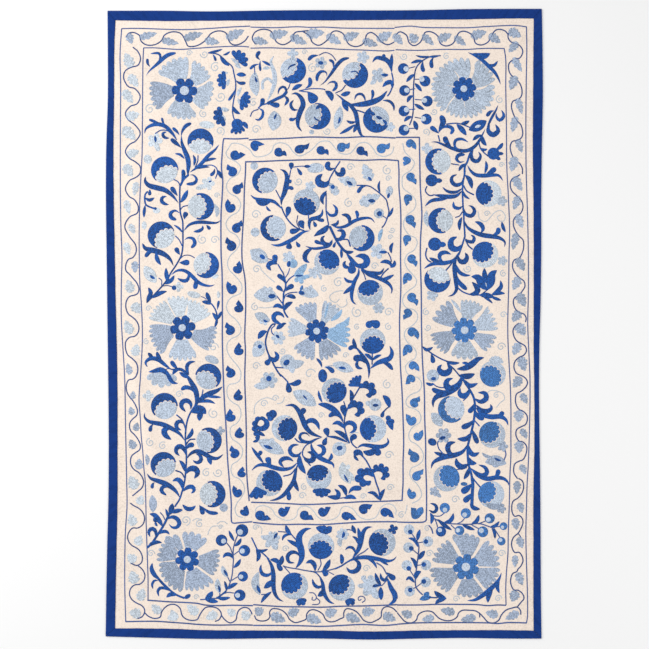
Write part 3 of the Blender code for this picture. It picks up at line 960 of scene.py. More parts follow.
# %% Frame lines
sew(
    "frame_lines",
    slate=(
        stem(.4, -64.5, 94.1, -60, 94.2, -50, 93.9, -44, 93.8, -36, 94.2, -30, 94.6, -26, 94.8, -23.7,
            94.9),
        stem(.4, -23.4, 94.6, -15.9, 94.4, -8.7, 94.7, -4.1, 94.5, -.2, 94.6, 5.7, 94.3, 16.8, 94.2, 22.3,
            94.2),
        stem(.4, 22.5, 94.5, 27.4, 94.9, 31.5, 94.5, 38.6, 94.4, 45.6, 94.4, 52.1, 94.8, 60.7, 95.1, 64.4,
            94.7),
        stem(.4, 64.4, 94.7, 64.5, 88.2, 64.3, 75.4, 64.2, 63, 64.3, 48.6, 64.7, 35.8, 65, 22, 65, 10, 64.8,
            0, 65.2, -10, 65.5, -17, 65.5, -26, 65.3, -35, 65, -44, 64.6, -51, 64.4, -58, 64.2, -66.6, 64.4,
            -76.2, 64.7, -85.8, 64.7, -93.2, 64.4, -95.1),
        stem(.5, 64.4, -95.1, 58.5, -95, 55.3, -95.3, 52.1, -95.1, 45.6, -95, 39.2, -95, 29.6, -95.1, 23.3,
            -95.5),
        stem(.5, 23.2, -95.6, 18.8, -95.9, 12.3, -95.6, 5.7, -95.9, -.8, -96.2, -7.4, -96, -13.9, -95.9,
            -22.5, -95.9),
        stem(.5, -22.8, -95.8, -27.8, -95.7, -33.8, -95.8, -39.8, -95.6, -44.4, -95.2, -48.9, -94.9, -53.1,
            -94.6, -57.9, -94.6, -63.2, -94.7),
        stem(.4, -64.5, 94.1, -65, 86, -64.8, 76, -64.9, 63, -64.9, 42, -64.7, 30, -64.4, 22, -64.6, 12,
            -64.6, 2, -64.2, -6, -63.8, -12, -63.5, -18, -63.3, -30, -63.1, -40, -62.9, -50, -62.8, -58,
            -63.3, -66, -63.5, -75, -63.5, -84, -63.2, -94.7),
        stem(.4, -57.5, 88, -54, 88, -50, 87.7, -46, 87.5, -40, 87.9, -34, 88.3, -27, 88.5, -24, 88.3),
        stem(.4, -23.4, 87.9, -17.2, 88, -10, 87.8, -.8, 87.9, 5.7, 87.5, 12.2, 87.3, 20, 87, 22.3, 87.2),
        stem(.4, 22.8, 87.4, 29.6, 87.2, 38, 87.5, 45.6, 87.5, 50.4, 87.8, 57.3, 87.8),
        stem(.4, 57.3, 87.8, 57.8, 84.3, 57.8, 76, 58, 63, 58.1, 50.2, 58.6, 40.6, 59, 29.3, 58.8, 22, 58.7,
            12, 58.4, 0, 58.5, -6, 58.8, -12, 59.1, -17, 59.4, -26, 59.4, -36, 59.4, -42, 59.1, -48, 58.9,
            -58, 58.6, -66.6, 58.5, -73, 58, -79.4, 57.8, -84.2, 57.9, -89.4),
        stem(.5, 57.8, -89.5, 55.3, -89.4, 52.1, -89.6, 48.8, -89.3, 42.4, -89.2, 36, -89.2, 29.6, -89.4,
            23.3, -89.4),
        stem(.5, 23.2, -89.3, 18.8, -89.5, 12.3, -89.7, 5.7, -89.8, -.8, -90.1, -7.4, -90, -13.9, -89.9,
            -22.5, -89.3),
        stem(.5, -22.8, -89.6, -29.3, -89.5, -33.8, -89.6, -38, -89.4, -40.4, -88.9, -44.4, -88.6, -48.9,
            -88.4, -53.4, -88.1, -56.2, -87.9),
        stem(.4, -57.5, 88, -57.7, 84, -57.8, 76, -57.9, 63, -58, 54, -58.6, 42, -58.9, 30, -58.9, 22,
            -58.7, 13, -58.2, 6, -57.9, -2, -58, -8, -58.5, -17, -58.9, -24, -58.5, -30, -58.2, -36, -57.8,
            -40, -57.4, -46, -57, -50, -56.8, -57, -56.7, -63, -56.5, -69, -56.3, -75, -56.1, -81, -56.1,
            -87.9),
        stem(.5, -32, 59.1, -32.2, 58, -32.5, 54, -32.7, 49.7, -32.3, 46, -32.5, 40.4, -32.8, 35.9, -32.8,
            22, -32.5, 16, -32.4, 4, -32.4, -6, -32.1, -17, -31.7, -26, -31.3, -32, -31, -38, -30.7, -44,
            -30.2, -50, -29.6, -57, -29.6, -61.5, -29.3, -63.2, -27, -63.2, -23, -62.9),
        stem(.5, -22.6, -63.1, -18.8, -63.5, -13.9, -63.8, -7.4, -63.7, -.8, -63.8, 5.7, -63.4, 12.3, -63,
            18.8, -62.9, 23.1, -62.9),
        stem(.5, 23.3, -63, 28, -63.1, 31.9, -62.9, 32.5, -62.4),
        stem(.5, -32, 59.1, -27.8, 59, -24.2, 59.2),
        stem(.5, -23.9, 58.7, -20.5, 58.9, -13.9, 59.1, -4.1, 59.6, 5.7, 59.4, 13.5, 59.7, 22.6, 59.3),
        stem(.5, 22.9, 59.5, 30.3, 59.5),
        stem(.5, 30.3, 59.5, 30.4, 53.4, 30.6, 43.8, 31.1, 34.8, 30.7, 27.7, 30.6, 22, 30.9, 10, 31, -2,
            31.3, -12, 31.6, -17, 31.9, -22, 32, -30, 32.3, -38, 32.3, -44, 32.5, -50, 32.6, -56, 32.5,
            -62.4),
        stem(.5, -25, 51.8, -25.1, 48, -25.4, 43.4, -25.6, 35.9, -26.2, 25.3, -26.1, 20, -25.2, 14, -25, 6,
            -25.3, -4, -25.1, -8, -25.3, -17, -25.1, -24, -24.9, -30, -24.8, -37, -24.8, -44, -24.5, -50,
            -23.9, -56.2),
        stem(.5, -25, 51.7, -20.5, 51.8, -13.9, 52.1, -2.2, 52.4, 5.7, 52.4, 12.2, 52.2, 18.8, 52.4, 23.6,
            52.1),
        stem(.5, 23.6, 52.1, 23.8, 48.6, 23.8, 43.8, 24.2, 39, 24.4, 34.2, 24.3, 22, 24.4, 12, 24, 2, 24,
            -2, 24.3, -14, 24.5, -17, 24.8, -22, 25.1, -30, 25.3, -38, 25.1, -44, 25.1, -50, 24.8, -56),
        stem(.5, -23.2, -56.7, -14, -57, -5.8, -57.4, 0, -57.2, 5.7, -56.9, 12.2, -56.5, 18, -56.4, 24.9,
            -56.1),
    ),
)

# %% Outer vine
sew(
    "outer_vine",
    ink=(
        stem(.45, -63, 91.4, -62.3, 92.6, -60.8, 92.9, -58.8, 91.9, -58.4, 90.3, -57.2, 89.2, -55.5, 88.8,
            -53.2, 89.3, -51.6, 90.6, -50.9, 92, -48.3, 93.1, -45.6, 92.5, -44.1, 90, -43.4, 88.6, -42,
            88.4, -40, 88.9, -37.8, 90.4, -36, 92.6, -33.4, 93.4, -31.3, 92.7, -30.2, 90, -29.3, 89.1,
            -27.5, 89, -25.3, 90.2, -24.2, 91.7),
        stem(.45, -21.9, 89.2, -22.9, 91, -22, 93, -19.5, 93.9, -17, 93.3, -16, 91.5, -15.2, 89.9, -13.2,
            89, -11.3, 89.7, -10.3, 90.6),
        stem(.45, -9.6, 90.3, -9.9, 92, -9, 93, -7.5, 93.2, -5.1, 93.5),
        stem(.45, -6.8, 93.2, -4.7, 91.8, -3.8, 89.8, -1.8, 88.8, .2, 89.8, 1.8, 91.5, 2.4, 92.9, 3.8, 93.4,
            5.9, 92.6, 6.8, 91, 7.8, 89.2, 10, 88.4, 12, 89, 13, 90.2),
        stem(.45, 13.6, 89.6, 13.2, 91, 13.6, 92.3, 14.9, 92.9, 16.6, 91.9, 18.2, 89.9, 20.3, 89, 22.2,
            89.8),
        stem(.45, 22.7, 92, 24, 93.1, 25.6, 92.5, 26.4, 91.7, 27, 89.7, 28.5, 88.7, 30.4, 89.6, 31.5, 91.5,
            32, 92.8, 33.3, 93.2, 35, 92.7, 36.3, 91.5, 37, 89.4, 38.8, 88.6, 41, 89.4, 42, 91.3, 43, 92.9,
            44.5, 93.3, 46.4, 92.6, 47.5, 91.5, 48.2, 89.5, 50, 88.9, 52.2, 89.9, 53.3, 91.8, 54.4, 93.5,
            56, 93.9, 57.7, 93.3, 58.5, 92.3),
        stem(.45, 59.7, 93.6, 58.6, 92.3, 58.6, 91.1, 59.6, 89.8, 61.7, 89.1, 62.9, 87.9, 63.2, 86.6, 62.3,
            84.8, 60.4, 84.3, 58.9, 83.1, 58.7, 81.4, 59.4, 79.5, 61.3, 77.9, 62.6, 76, 63, 73.8, 62.5,
            72.2, 61.3, 71.5, 60.1, 71, 59.6, 69.6, 60.1, 67.3, 61.3, 64.9, 62.6, 63.5, 63.2, 60.4, 62.6,
            59.2, 61.3, 58.5, 59.9, 58.2, 59.2, 56.6, 59.6, 54.3, 60.7, 52.4, 62.3, 51.1, 63.1, 49.5, 63.1,
            47.9),
        stem(.45, 62.3, 47.6, 61.3, 47, 59.9, 46.3, 59.2, 44.7, 59.7, 42.5, 61.3, 40.9, 62.8, 39.3, 63.3,
            37.4, 62.6, 35.4, 61.3, 34.5, 60.4, 33.5, 60.2, 31.6, 60.9, 29.7, 62, 28.1, 63.3, 26.8, 63.5,
            24.5, 62.9, 22.4, 62, 21, 60.7, 20.6, 60.1, 19.8, 60, 17.9, 61, 16, 62.3, 14.7, 63.6, 13.7,
            63.9, 12.1, 63.3, 10.9, 62, 9.3, 60.5, 8.3, 60.2, 6.7, 60.9, 4.8, 62, 3.8, 63.6, 3.2, 64.3, 1.9,
            64.1, .8),
        stem(.45, 62, .3, 60.7, -.7, 60.1, -2, 60.4, -3.9, 61.3, -5.3, 62.6, -6.1, 63.9, -6.9, 64.4, -8.4,
            63.6, -9.8, 62, -10.6, 60.7, -11.9, 60.4, -13.8, 61.2, -15.6, 63.3, -16.6, 64.4, -17.6, 64.7,
            -18.9, 63.9, -20.3, 62.6, -21.4, 61.3, -22.1, 60.9, -23.4, 61, -25.3, 62, -27.1, 63.3, -27.7,
            64.4, -28.8, 64.7, -30.1, 64.1, -31.9, 62.6, -32.7, 61.3, -33.5, 61, -35.2, 62, -37.2, 63.3,
            -37.5, 64.4, -38.8, 64.4, -40.7, 63.3, -43.1, 62, -43.6, 60.7, -44.4, 60.3, -45.8, 60.4, -47.4,
            61.5, -49.1),
        stem(.45, 61.9, -49.1, 63, -49.8, 63.5, -51.6, 63, -53.7, 61.7, -55.3, 60.1, -56.4, 59.7, -58.9,
            60.1, -60.5, 60.7, -61.2, 62, -60.9, 62.9, -61.6, 63.3, -63.1, 62.8, -64.7, 61.7, -66.6, 60.4,
            -67.7, 59.7, -69.3, 59.8, -71.1, 60.7, -72.7, 62, -72.6, 62.9, -73.7, 63.3, -75.3, 62.6, -77,
            61.7, -78, 61.3, -78.8, 60.1, -79.3, 59.4, -81, 59.4, -82.6, 60.4, -84.6, 61.7, -84.7, 63.1,
            -85.8, 63.6, -87.3, 62.6, -88.6, 61.5, -90),
        stem(.4, 61.7, -66.6, 62.3, -67.3, 62.7, -68.2), stem(.4, 49.5, -92.1, 49.5, -93.3),
        stem(.45, 62.6, -92.4, 62.5, -91.2, 61.5, -90.1, 59.7, -90.4, 57.8, -91.1, 56.4, -92.6, 55.6, -94.2,
            54, -95.1, 52.1, -94.8, 50.8, -93.4, 49.5, -92.1, 48.2, -91.3, 46.3, -91.1, 44, -91.1, 42.8,
            -91.9, 42.3, -93.2, 40.8, -94.2, 38.9, -94.4, 36.7, -93.7, 35.5, -92.6, 34.4, -91.6, 32.7,
            -91.3, 30.9, -91.8, 29.9, -92.6, 29.3, -94.2, 27.7, -95.1, 25.8, -94.7, 24.5, -93.4, 23.3,
            -91.9),
        stem(.45, 23.1, -91.6, 21.8, -90.4, 20.1, -89.9, 18.8, -90.4, 18.2, -91.7, 18.1, -93.2, 16.2, -94.5,
            14.6, -95, 12.6, -94.3, 11.6, -93, 10.3, -91.6, 8.4, -90.7, 6.9, -90.7, 6.2, -92, 6.2, -93.3,
            5.1, -93.8, 3.4, -94.6, 1.5, -94.7, .3, -93.8, -.3, -92.5, -1.8, -91.4, -3.4, -90.9, -4.7,
            -91.2, -5.6, -92.4, -5.7, -93.8, -7.4, -94.6, -9.3, -95, -11, -94, -11.9, -92.5, -13.3, -91.2,
            -15.2, -90.6, -16.7, -90.7, -17.4, -91.7, -17.3, -93.2, -18.2, -94.2, -20, -94.5, -21.6, -94,
            -22.2, -92.8),
        stem(.45, -23, -92.3, -23.2, -91.7, -24.1, -90.5, -25.7, -90.2, -27.2, -91.1, -27.8, -92.6, -28.1,
            -94.1, -29.9, -95.1, -31.4, -94.3, -32.7, -92.7, -32.9, -91.7, -34, -90.5, -35.9, -90, -37.7,
            -90.2, -38.9, -91.4, -39.8, -92.9, -40.4, -94, -42.2, -94.3, -44.1, -93.8, -45.3, -92.6, -45.9,
            -90.5, -47.4, -89.3, -49.2, -89.3, -50.7, -90.2, -51.8, -91.7, -52.2, -93.2, -54, -93.7, -56.1,
            -92.9, -57.2, -91.8),
        stem(.45, -61.7, -57, -60.6, -57.8, -58.8, -58.8, -57.6, -60.3, -57.2, -62.1, -57.8, -63.8, -59.4,
            -64.9, -61, -64.9, -62, -65.9, -62.6, -67.6, -62.3, -69.1, -61.3, -70.4, -59.7, -71.3, -58.7,
            -72.2, -57.9, -74.2, -58.2, -75.9, -59.6, -76.8, -61.6, -76.1),
        stem(.45, -59.4, -76.8, -57.9, -78.1, -57.1, -79.9, -57.5, -81.7, -58.8, -82.8, -60.3, -83, -61.6,
            -84.1, -62, -86, -61.3, -87.6, -59.7, -88.8, -58.1, -89.6, -57.2, -90.8, -57.3, -92.1, -58.2,
            -93.3, -59.4, -93.7),
        stem(.45, -32.7, -92.7, -33.5, -94.1, -34.7, -94.6),
        stem(.45, -60.9, 88.2, -59.3, 86.8, -58.5, 84.5, -59.3, 82.5, -61.5, 81.8, -63.3, 80.7, -63.9, 78.6,
            -62.4, 75.7, -60.3, 75, -58.6, 72.6, -59.6, 70.2, -61.7, 69.4, -63.3, 67.2, -62.5, 65.2, -60.2,
            63.4, -58.6, 60.8, -60.1, 58.3, -62, 57.2, -63.3, 55, -62, 52.8, -60.3, 51.8, -58.6, 50.2,
            -58.7, 47.9, -60, 46.7, -62, 45.7, -63.3, 43.1, -62, 40.6, -60.5, 39.7, -59.2, 37.5, -59.5,
            35.4, -62, 34.1, -63.5, 31.1, -62, 27.9, -60.1, 25.3, -59.9, 23, -61, 21.2, -62.3, 20.7, -63.2,
            18.8, -63.1, 17, -62, 15.9, -60.7, 14.4, -59.7, 13.2, -59, 11.2, -59.4, 9.8, -60.3, 9.3, -62,
            8.8, -63, 7.3, -63.1, 5, -62.3, 3.2, -61, 2.2, -59.7, .9, -59, -1, -59.3, -2.7, -60.3, -3.8,
            -62, -4.2, -63.2, -5.6, -63.2, -8, -62.5, -9.8, -61, -11, -59.7, -12.5, -59.3, -14.5, -59.9,
            -16.6, -61, -17.5, -62.2, -17.7, -62.9, -19, -62.9, -21.3, -62, -23.1, -61, -24.2, -60, -25.8,
            -59.4, -27.6, -59.7, -29, -60.8, -30, -61.8, -31.2, -62, -32.6, -61.6, -34, -60.4, -35.2, -59.2,
            -36.8, -58.5, -38.6, -58.8, -40, -59.9, -40.8, -61.2, -41.8, -61.7, -43.4, -61.4, -45.1, -60.4,
            -46.4, -59.1, -47.2, -58, -48.6, -57.5, -50.3, -58, -52, -59.4, -53.3, -61, -54.6),
    ),
)

# %% Outer band leaves
sew(
    "outer_leaves",
    stone=(
        ragged(2.2, -62, 91.5, -61.2, 89.2), ragged(2.0, -57.9, 91.5, -53.1, 92.7),
        ragged(2.0, -50.8, 90.3, -46.2, 89.3), ragged(2.3, -43.5, 91.3, -38.5, 92.7),
        ragged(2.2, -37, 90.3, -33.2, 89.6), ragged(2.6, -30, 91.6, -25.3, 93.7),
        ragged(2.2, -21.5, 90.4, -17.7, 89.5), ragged(2.6, -16, 92, -11.3, 93.1),
        ragged(2.4, -9.7, 91.2, -5.4, 89.2), ragged(2.8, -4.3, 92.4, .2, 93),
        ragged(2.4, 1.8, 91.4, 5.5, 89.2), ragged(2.4, 7.3, 91.3, 11.3, 92.7),
        ragged(2.2, 13.3, 90, 17.2, 88.7), ragged(2.6, 18, 91, 21.7, 93), ragged(2.2, 22.9, 91.5, 25, 89),
        ragged(2.6, 28.6, 90.9, 27.2, 92.6), ragged(2.0, 32, 91.5, 35, 88.8),
        ragged(2.4, 37.3, 91, 40.7, 92.4), ragged(2.0, 42.3, 91, 45.2, 88.7),
        ragged(2.6, 48, 92, 51.8, 93.2), ragged(2.4, 53.5, 91.5, 56.2, 89.6),
        ragged(2.6, 60, 93, 62.8, 91.5), ragged(2.2, 60.8, 89, 58.7, 86.5), ragged(2.0, 60.7, 84, 63, 80.3),
        ragged(2.6, 60.5, 77.8, 59.2, 74.5), ragged(1.9, 61.8, 71, 63, 66.8),
        ragged(2.2, 60.8, 65, 59.8, 61), ragged(2.0, 61.8, 58, 63, 54.5), ragged(2.6, 60.5, 52, 59.5, 48.5),
        ragged(2.4, 61, 46, 63, 42.3), ragged(2.2, 61.5, 39.8, 60.3, 36.3),
        ragged(2.2, 61.8, 34, 63.2, 30.5), ragged(2.2, 61, 28, 60, 23.5),
        ragged(2.4, 62, 20, 62.9, 18.6, 63.6, 16.8), ragged(2.5, 61.5, 13.9, 60.8, 12.3, 60, 10.8),
        ragged(2.7, 62.4, 8.6, 63.3, 7, 64, 5.5), ragged(2.6, 61.5, 3, 60.6, 1.8, 60.1, .6),
        ragged(2.9, 62.3, -1.2, 63.2, -2.4, 63.8, -3.7), ragged(2.5, 61.5, -7.2, 60.8, -8.5, 60.1, -9.9),
        ragged(2.7, 63, -11.8, 63.4, -13.4, 64, -15), ragged(2.6, 61.8, -17.9, 61, -19, 60, -20.2),
        ragged(2.0, 63.3, -23, 63.9, -24, 64.6, -25.4), ragged(2.8, 61.9, -28.9, 61.8, -31.3),
        ragged(1.9, 63.2, -34.2, 63.9, -35.2, 64.5, -36.5), ragged(2.6, 62, -38.6, 62.1, -41.2),
        ragged(1.9, 63, -45.6, 63.6, -46.5, 64, -47.9), ragged(2.1, 61.4, -51, 61.3, -54.2),
        ragged(2.0, 62.4, -57.9, 63.1, -60.2), ragged(2.2, 60.9, -62.9, 61.3, -65.6),
        ragged(2.2, 62.3, -68.9, 63.1, -71.4), ragged(1.8, 60.8, -74.5, 60.7, -77.5),
        ragged(2.3, 62, -80.2, 63.1, -83.2), ragged(2.8, 60.6, -86.3, 59.7, -88.4),
        ragged(2.3, 60.9, -92.3, 57.6, -94), ragged(2.4, 54.1, -92.4, 51.3, -91.7),
        ragged(2.3, 47.1, -93.5, 43.3, -94.3), ragged(2.3, 40.4, -91.6, 36.9, -90.9),
        ragged(2.1, 33.9, -93.6, 31, -94.2), ragged(2.3, 26.8, -92.5, 24.4, -91.5),
        ragged(2.6, 20, -93, 22.9, -94.3), ragged(2.5, 13.4, -91.6, 16.3, -91.1),
        ragged(2.6, 8.2, -93.2, 11.7, -94.6), ragged(2.6, 1.7, -92, 4.2, -91),
        ragged(2.7, -4.2, -93.6, -.8, -95), ragged(2.5, -10.2, -91.9, -7.8, -90.8),
        ragged(2.8, -15.6, -93.1, -12.2, -94.6), ragged(2.6, -20.8, -91.4, -22.1, -90.3),
        ragged(2.0, -60.3, 19, -60.2, 16.2), ragged(1.9, -62, -15, -62.7, -12.3),
        ragged(1.7, -60.9, -22.9, -60.7, -21.2), ragged(1.9, -61.3, -27.9, -61.8, -26.2),
        ragged(1.9, -59.9, -33, -59.4, -31.2), ragged(2.2, -60.9, -38.6, -61.9, -36.6),
        ragged(2.3, -59, -45, -58.8, -42.7),
    ),
    mist=(
        ragged(2.9, -62, 83.2, -63.4, 86.5), ragged(2.6, -61.3, 78.3, -59.2, 75.5),
        ragged(2.6, -63.1, 73.4, -60.9, 70.3), ragged(2.8, -61.8, 66.2, -58.7, 67),
        ragged(3.0, -62.9, 61.5, -60, 58.7), ragged(2.4, -61.5, 54.3, -58.8, 55.2),
        ragged(2.8, -62.7, 49.5, -61, 46.9), ragged(1.9, -59.9, 44.3, -60.5, 40.7),
        ragged(2.0, -62.9, 38.5, -62, 34.9), ragged(1.9, -61.5, 31, -60.3, 28.7),
        ragged(2.0, -63, 25, -62, 22), ragged(2.6, -61.8, 11.4, -62.6, 14.3),
        ragged(2.8, -60, 5.4, -58.6, 3.4), ragged(2.6, -62, -1.8, -63.4, 1.3),
        ragged(2.5, -60.1, -8.8, -59.5, -6.2), ragged(3.0, -60.6, -51, -61.9, -48.2),
        ragged(2.4, -58.6, -56.2, -58, -54.4), ragged(2.6, -61, -62.8, -61.9, -60.3),
        ragged(2.5, -59.2, -69.1, -58.2, -67.2), ragged(2.6, -61.1, -74.7, -62.7, -73.3),
        ragged(3.0, -60.6, -81, -61.4, -78.4), ragged(2.6, -58.4, -86.7, -57.5, -84),
        ragged(2.9, -59.9, -92.1, -62.2, -91.7), ragged(2.4, -53.1, -91.1, -55, -89.2),
        ragged(2.6, -47.8, -93, -50.1, -93.9), leaf(1.4, -48, -92.6, -48.7, -90.9),
        ragged(2.6, -41.3, -91.4, -43.8, -89.3), ragged(2.6, -35.3, -92.6, -37.8, -93.9),
        ragged(2.2, -29.4, -91.9, -31, -90.8), ragged(2.7, -24.9, -92.8, -26.2, -91.2),
    ),
)

# %% Inner band
sew(
    "inner_vine",
    curl=(
        stem(.38, -30.5, 56, -29.5, 57.5, -27.8, 57.6, -25.5, 56.8, -23.7, 55.5, -22, 53.4, -18, 54, -16.5,
            55.5, -16, 57, -14, 57.8, -11.5, 57, -10, 55, -8, 53.6, -5, 54.8, -3, 56.5, -1.5, 58, 1.5, 58.2,
            3.3, 56.3, 5, 54.5, 8, 54.3, 9.7, 56, 11, 57.5, 13.5, 57.8, 15.5, 56, 16.7, 54.2, 19, 53.4,
            21.5, 54.5, 22.2, 56.5),
        stem(.38, -30.5, 56, -31.3, 54.5, -30.5, 53, -28, 51.7, -26.6, 50, -27.6, 47.7, -30, 46.3, -31.2,
            44, -30.2, 41.8, -27.7, 40.3, -26.6, 38, -27.6, 35.7, -30, 34.3, -31.3, 32, -30.3, 29.7, -28,
            28.3, -26.9, 26, -28, 23.7, -30, 21.7, -30.8, 19.5, -30.3, 17.4, -28.7, 15.7, -27, 13.8, -26.2,
            12, -26.6, 10, -28, 9.2, -29.5, 8.6, -30.8, 7, -31.1, 5, -30, 3, -28.5, 1.8, -27.2, .2, -26.5,
            -1.5, -26.8, -2.9, -28, -3.9, -29.5, -4.6, -30.8, -6, -31, -8, -30.2, -10, -29, -11.6, -27.8,
            -13, -26.8, -14.6, -26.5, -16, -27, -18, -28.5, -18.9, -30.2, -19.2, -31, -21, -30.5, -23.5,
            -29, -25, -27.3, -26, -26.5, -28, -26.8, -30, -28, -31.7, -29.6, -32.6, -30, -34.6, -29.3,
            -36.5, -28, -37.4, -26.8, -38.4, -26, -40, -26.3, -42, -27.5, -43.5, -29.3, -44.7, -29.7, -46.5,
            -29, -48.3, -27, -49.3, -25.7, -51, -25.4, -53, -26.3, -55, -27.8, -57, -28.4, -59, -27.6, -61,
            -26, -61.5),
        stem(.35, -22, -60, -21.6, -58.5, -20, -57.8, -18.2, -58, -16.5, -59.1, -15.7, -60.6, -14.2, -61.7,
            -12.3, -62.4, -10, -62.1, -8.7, -60.9, -8.5, -59.5, -7.7, -58.3, -6.1, -57.9, -4.4, -58.5, -3.1,
            -59.9, -2.3, -61.1, -.8, -62.2, 1.5, -62.4, 3.8, -61.6, 4.9, -60.3, 5.2, -59, 6.1, -58.1, 7.7,
            -58.1, 9.3, -59, 10.3, -60.3, 11.6, -61.6, 13.9, -62.2, 16.2, -61.6, 17.2, -60.3, 17.8, -58.8,
            18.8, -57.7, 20.5, -57.2, 22.1, -57.8, 22.9, -59.3, 22.7, -60.6),
        curl(24.6, -60.7, 1.1, 60), stem(.35, 26.4, -57.6, 26.1, -59.2, 25.7, -60.4),
        stem(.38, 25, 57.6, 25.6, 55, 27.4, 53.1, 28.7, 51.5, 27.7, 49.2, 25.1, 47.3, 24.8, 45.7, 25.1,
            43.4, 27.4, 41.5, 29.1, 39.3, 28.7, 36.7, 26.4, 34.8, 25.3, 32.6, 25.5, 30.6, 27.1, 28.4, 29.1,
            27.4, 29.6, 25.8, 28.6, 23.6, 26.4, 22.2, 25.6, 20, 26.5, 17.7, 28, 16, 29.4, 14, 28.9, 12.2,
            27, 10.8, 25.3, 9, 25, 7, 26.2, 5.2, 28.3, 4.7, 29.6, 3.3, 29.5, 1.2, 27.8, -.6, 26, -1.8, 25.5,
            -3.6, 26.5, -5.8, 28.3, -7.2, 29.3, -9, 28.9, -10.8, 27, -12, 25.9, -13.4, 26.3, -15.4, 27.6,
            -16.5, 29.8, -17, 30.9, -18.6, 30.8, -20.3, 29.8, -21.5, 28, -22.2, 26.4, -23.5, 26, -25, 26.8,
            -26.3, 28.6, -26.9, 30.2, -28, 30.8, -29.7, 30.4, -31.3, 28.7, -32.3, 27.4, -33.8, 26.9, -35.5,
            27.5, -37.2, 29, -38, 30.8, -39.7, 31.6, -41.7, 31.2, -43.6, 29.6, -45, 27.8, -45.8, 27.2,
            -47.4, 27.8, -49.2, 29.3, -50.6, 30.6, -52.6, 31, -54.4, 30, -56, 28, -57),
    ),
)
sew(
    "inner_leaves",
    dark=(
        bud(2.3, -22, 56.2, -22.3, 57.2, -18.8, 57.3), bud(2.7, -14.6, 54.8, -12.8, 54.4, -11.9, 53.4),
        bud(2.6, -8.2, 55.6, -6, 56.3, -4.6, 57.8), bud(2.6, -1.2, 55.4, .6, 55, 1.4, 53.7),
        bud(2.6, 11.5, 55.3, 13, 54.6, 13.9, 53.3), bud(2.9, -28.5, 53.8, -24.9, 54),
        bud(2.9, -29.2, 48.5, -30.3, 49.7, -30.8, 51.1), bud(2.7, -27.9, 42.8, -26.6, 43.9, -26.1, 45.4),
        bud(3.0, -29.8, 37, -30.6, 38.4, -30.7, 40), bud(2.8, -28, 30.5, -26.8, 31.8, -26.3, 33.3),
        bud(3.0, -29.5, 24.8, -30.6, 26.2, -31, 27.9), bud(2.8, -27.6, 17.5, -27.2, 18.8, -27, 20.3),
        bud(3.0, -29.3, 11.1, -30.4, 12.4, -30.8, 13.8), bud(2.8, -27.2, 5.1, -27.3, 7.8),
        bud(2.9, -29.9, -2, -30.7, -.8, -31.1, .8), bud(2.9, -27.2, -8.5, -27.2, -5.7),
        bud(2.9, -29.8, -15.6, -30.5, -14.4, -30.8, -13), bud(2.8, -27.4, -23, -27.2, -20.5),
        bud(3.0, -29.8, -29.6, -30.1, -26.8), bud(2.9, -27, -34.9, -26.9, -32.6),
        bud(2.9, -28.5, -41.2, -29.3, -40, -29.5, -38.5), bud(2.6, -26.3, -47.5, -25.9, -45.2),
        bud(2.7, -27.5, -53.8, -28.5, -52.6, -28.9, -51.2), bud(2.8, -25.3, -59.7, -24.6, -57.6),
        bud(2.9, -20.6, -60.8, -18.6, -61.6, -16.7, -62.2), bud(2.9, -13.2, -59.8, -10.7, -58.1),
        bud(2.8, -6.4, -60.8, -4.8, -61.4, -3.2, -62.4), bud(2.9, -.5, -59.8, 2.2, -58.1),
        bud(2.5, 6.7, -61, 8.6, -61.5, 10.4, -62.3), bud(3.0, 12.5, -58.9, 15.5, -57.4),
        bud(2.7, 19.2, -59.8, 20.8, -60.4, 22.3, -61.8),
    ),
    mid=(
        bud(2.8, 5.4, 56.3, 7.2, 56.6, 8.2, 58), bud(2.9, 18.1, 55.9, 20, 56.5, 21, 57.9),
        bud(2.6, 27.3, 57.6, 28.5, 56.8, 29.3, 55.5), bud(2.6, 26.2, 52.1, 25.3, 50.3),
        bud(2.6, 27.4, 47, 28.5, 46, 29.3, 44.3), bud(2.6, 26.7, 40.1, 26.1, 37.5),
        bud(2.8, 27.3, 33.4, 28.3, 32.2, 28.8, 30.4), bud(2.5, 26.4, 27.2, 25.8, 24.7),
        bud(2.7, 27.8, 20.9, 28.9, 19.7, 29.2, 18.1), bud(2.7, 26.6, 15, 25.8, 13.8, 25.2, 12.5),
        bud(2.8, 27.8, 8.6, 29.1, 7.4, 29.5, 5.7), bud(2.7, 26.6, 3.6, 25.8, 2.5, 25.2, 1.3),
        bud(2.8, 27.9, -2.4, 29.4, -3.4, 29.9, -5), bud(2.8, 26.7, -7.9, 25.8, -9, 25.1, -10.3),
        bud(2.6, 28.2, -13.1, 29.5, -13.9, 30.3, -15.1), bud(2.7, 27.6, -17.4, 26.8, -18.3, 25.8, -19.2),
        bud(2.8, 28.7, -25.1, 29.8, -24, 30.4, -22.8), bud(2.9, 27.9, -30.8, 26.8, -29.7, 26, -28.5),
        bud(2.6, 29.7, -35.8, 30.8, -34.8, 31.4, -33.5), bud(3.0, 28.8, -42.5, 27.6, -41.1, 27.1, -39.4),
        bud(2.7, 29.3, -48.5, 30.6, -47.4, 31.7, -46), bud(2.5, 28, -54.4, 27.2, -53.4, 27, -52),
        bud(3.5, 29.2, -60.2, 27.6, -58.3), leaf(2.4, 29.6, -61, 30.5, -59.6, 31.3, -58.2),
    ),
)

# %% [markdown]
# ## Pomegranates
#
# The pomegranate is the commonest fruit of these gardens. Each is one circle in two tones: a crescent,
# and the flesh that bites into it with a scalloped edge. One table gives the middle, radius, the side on
# which the crescent is thickest, how thick it is there, and the two threads.

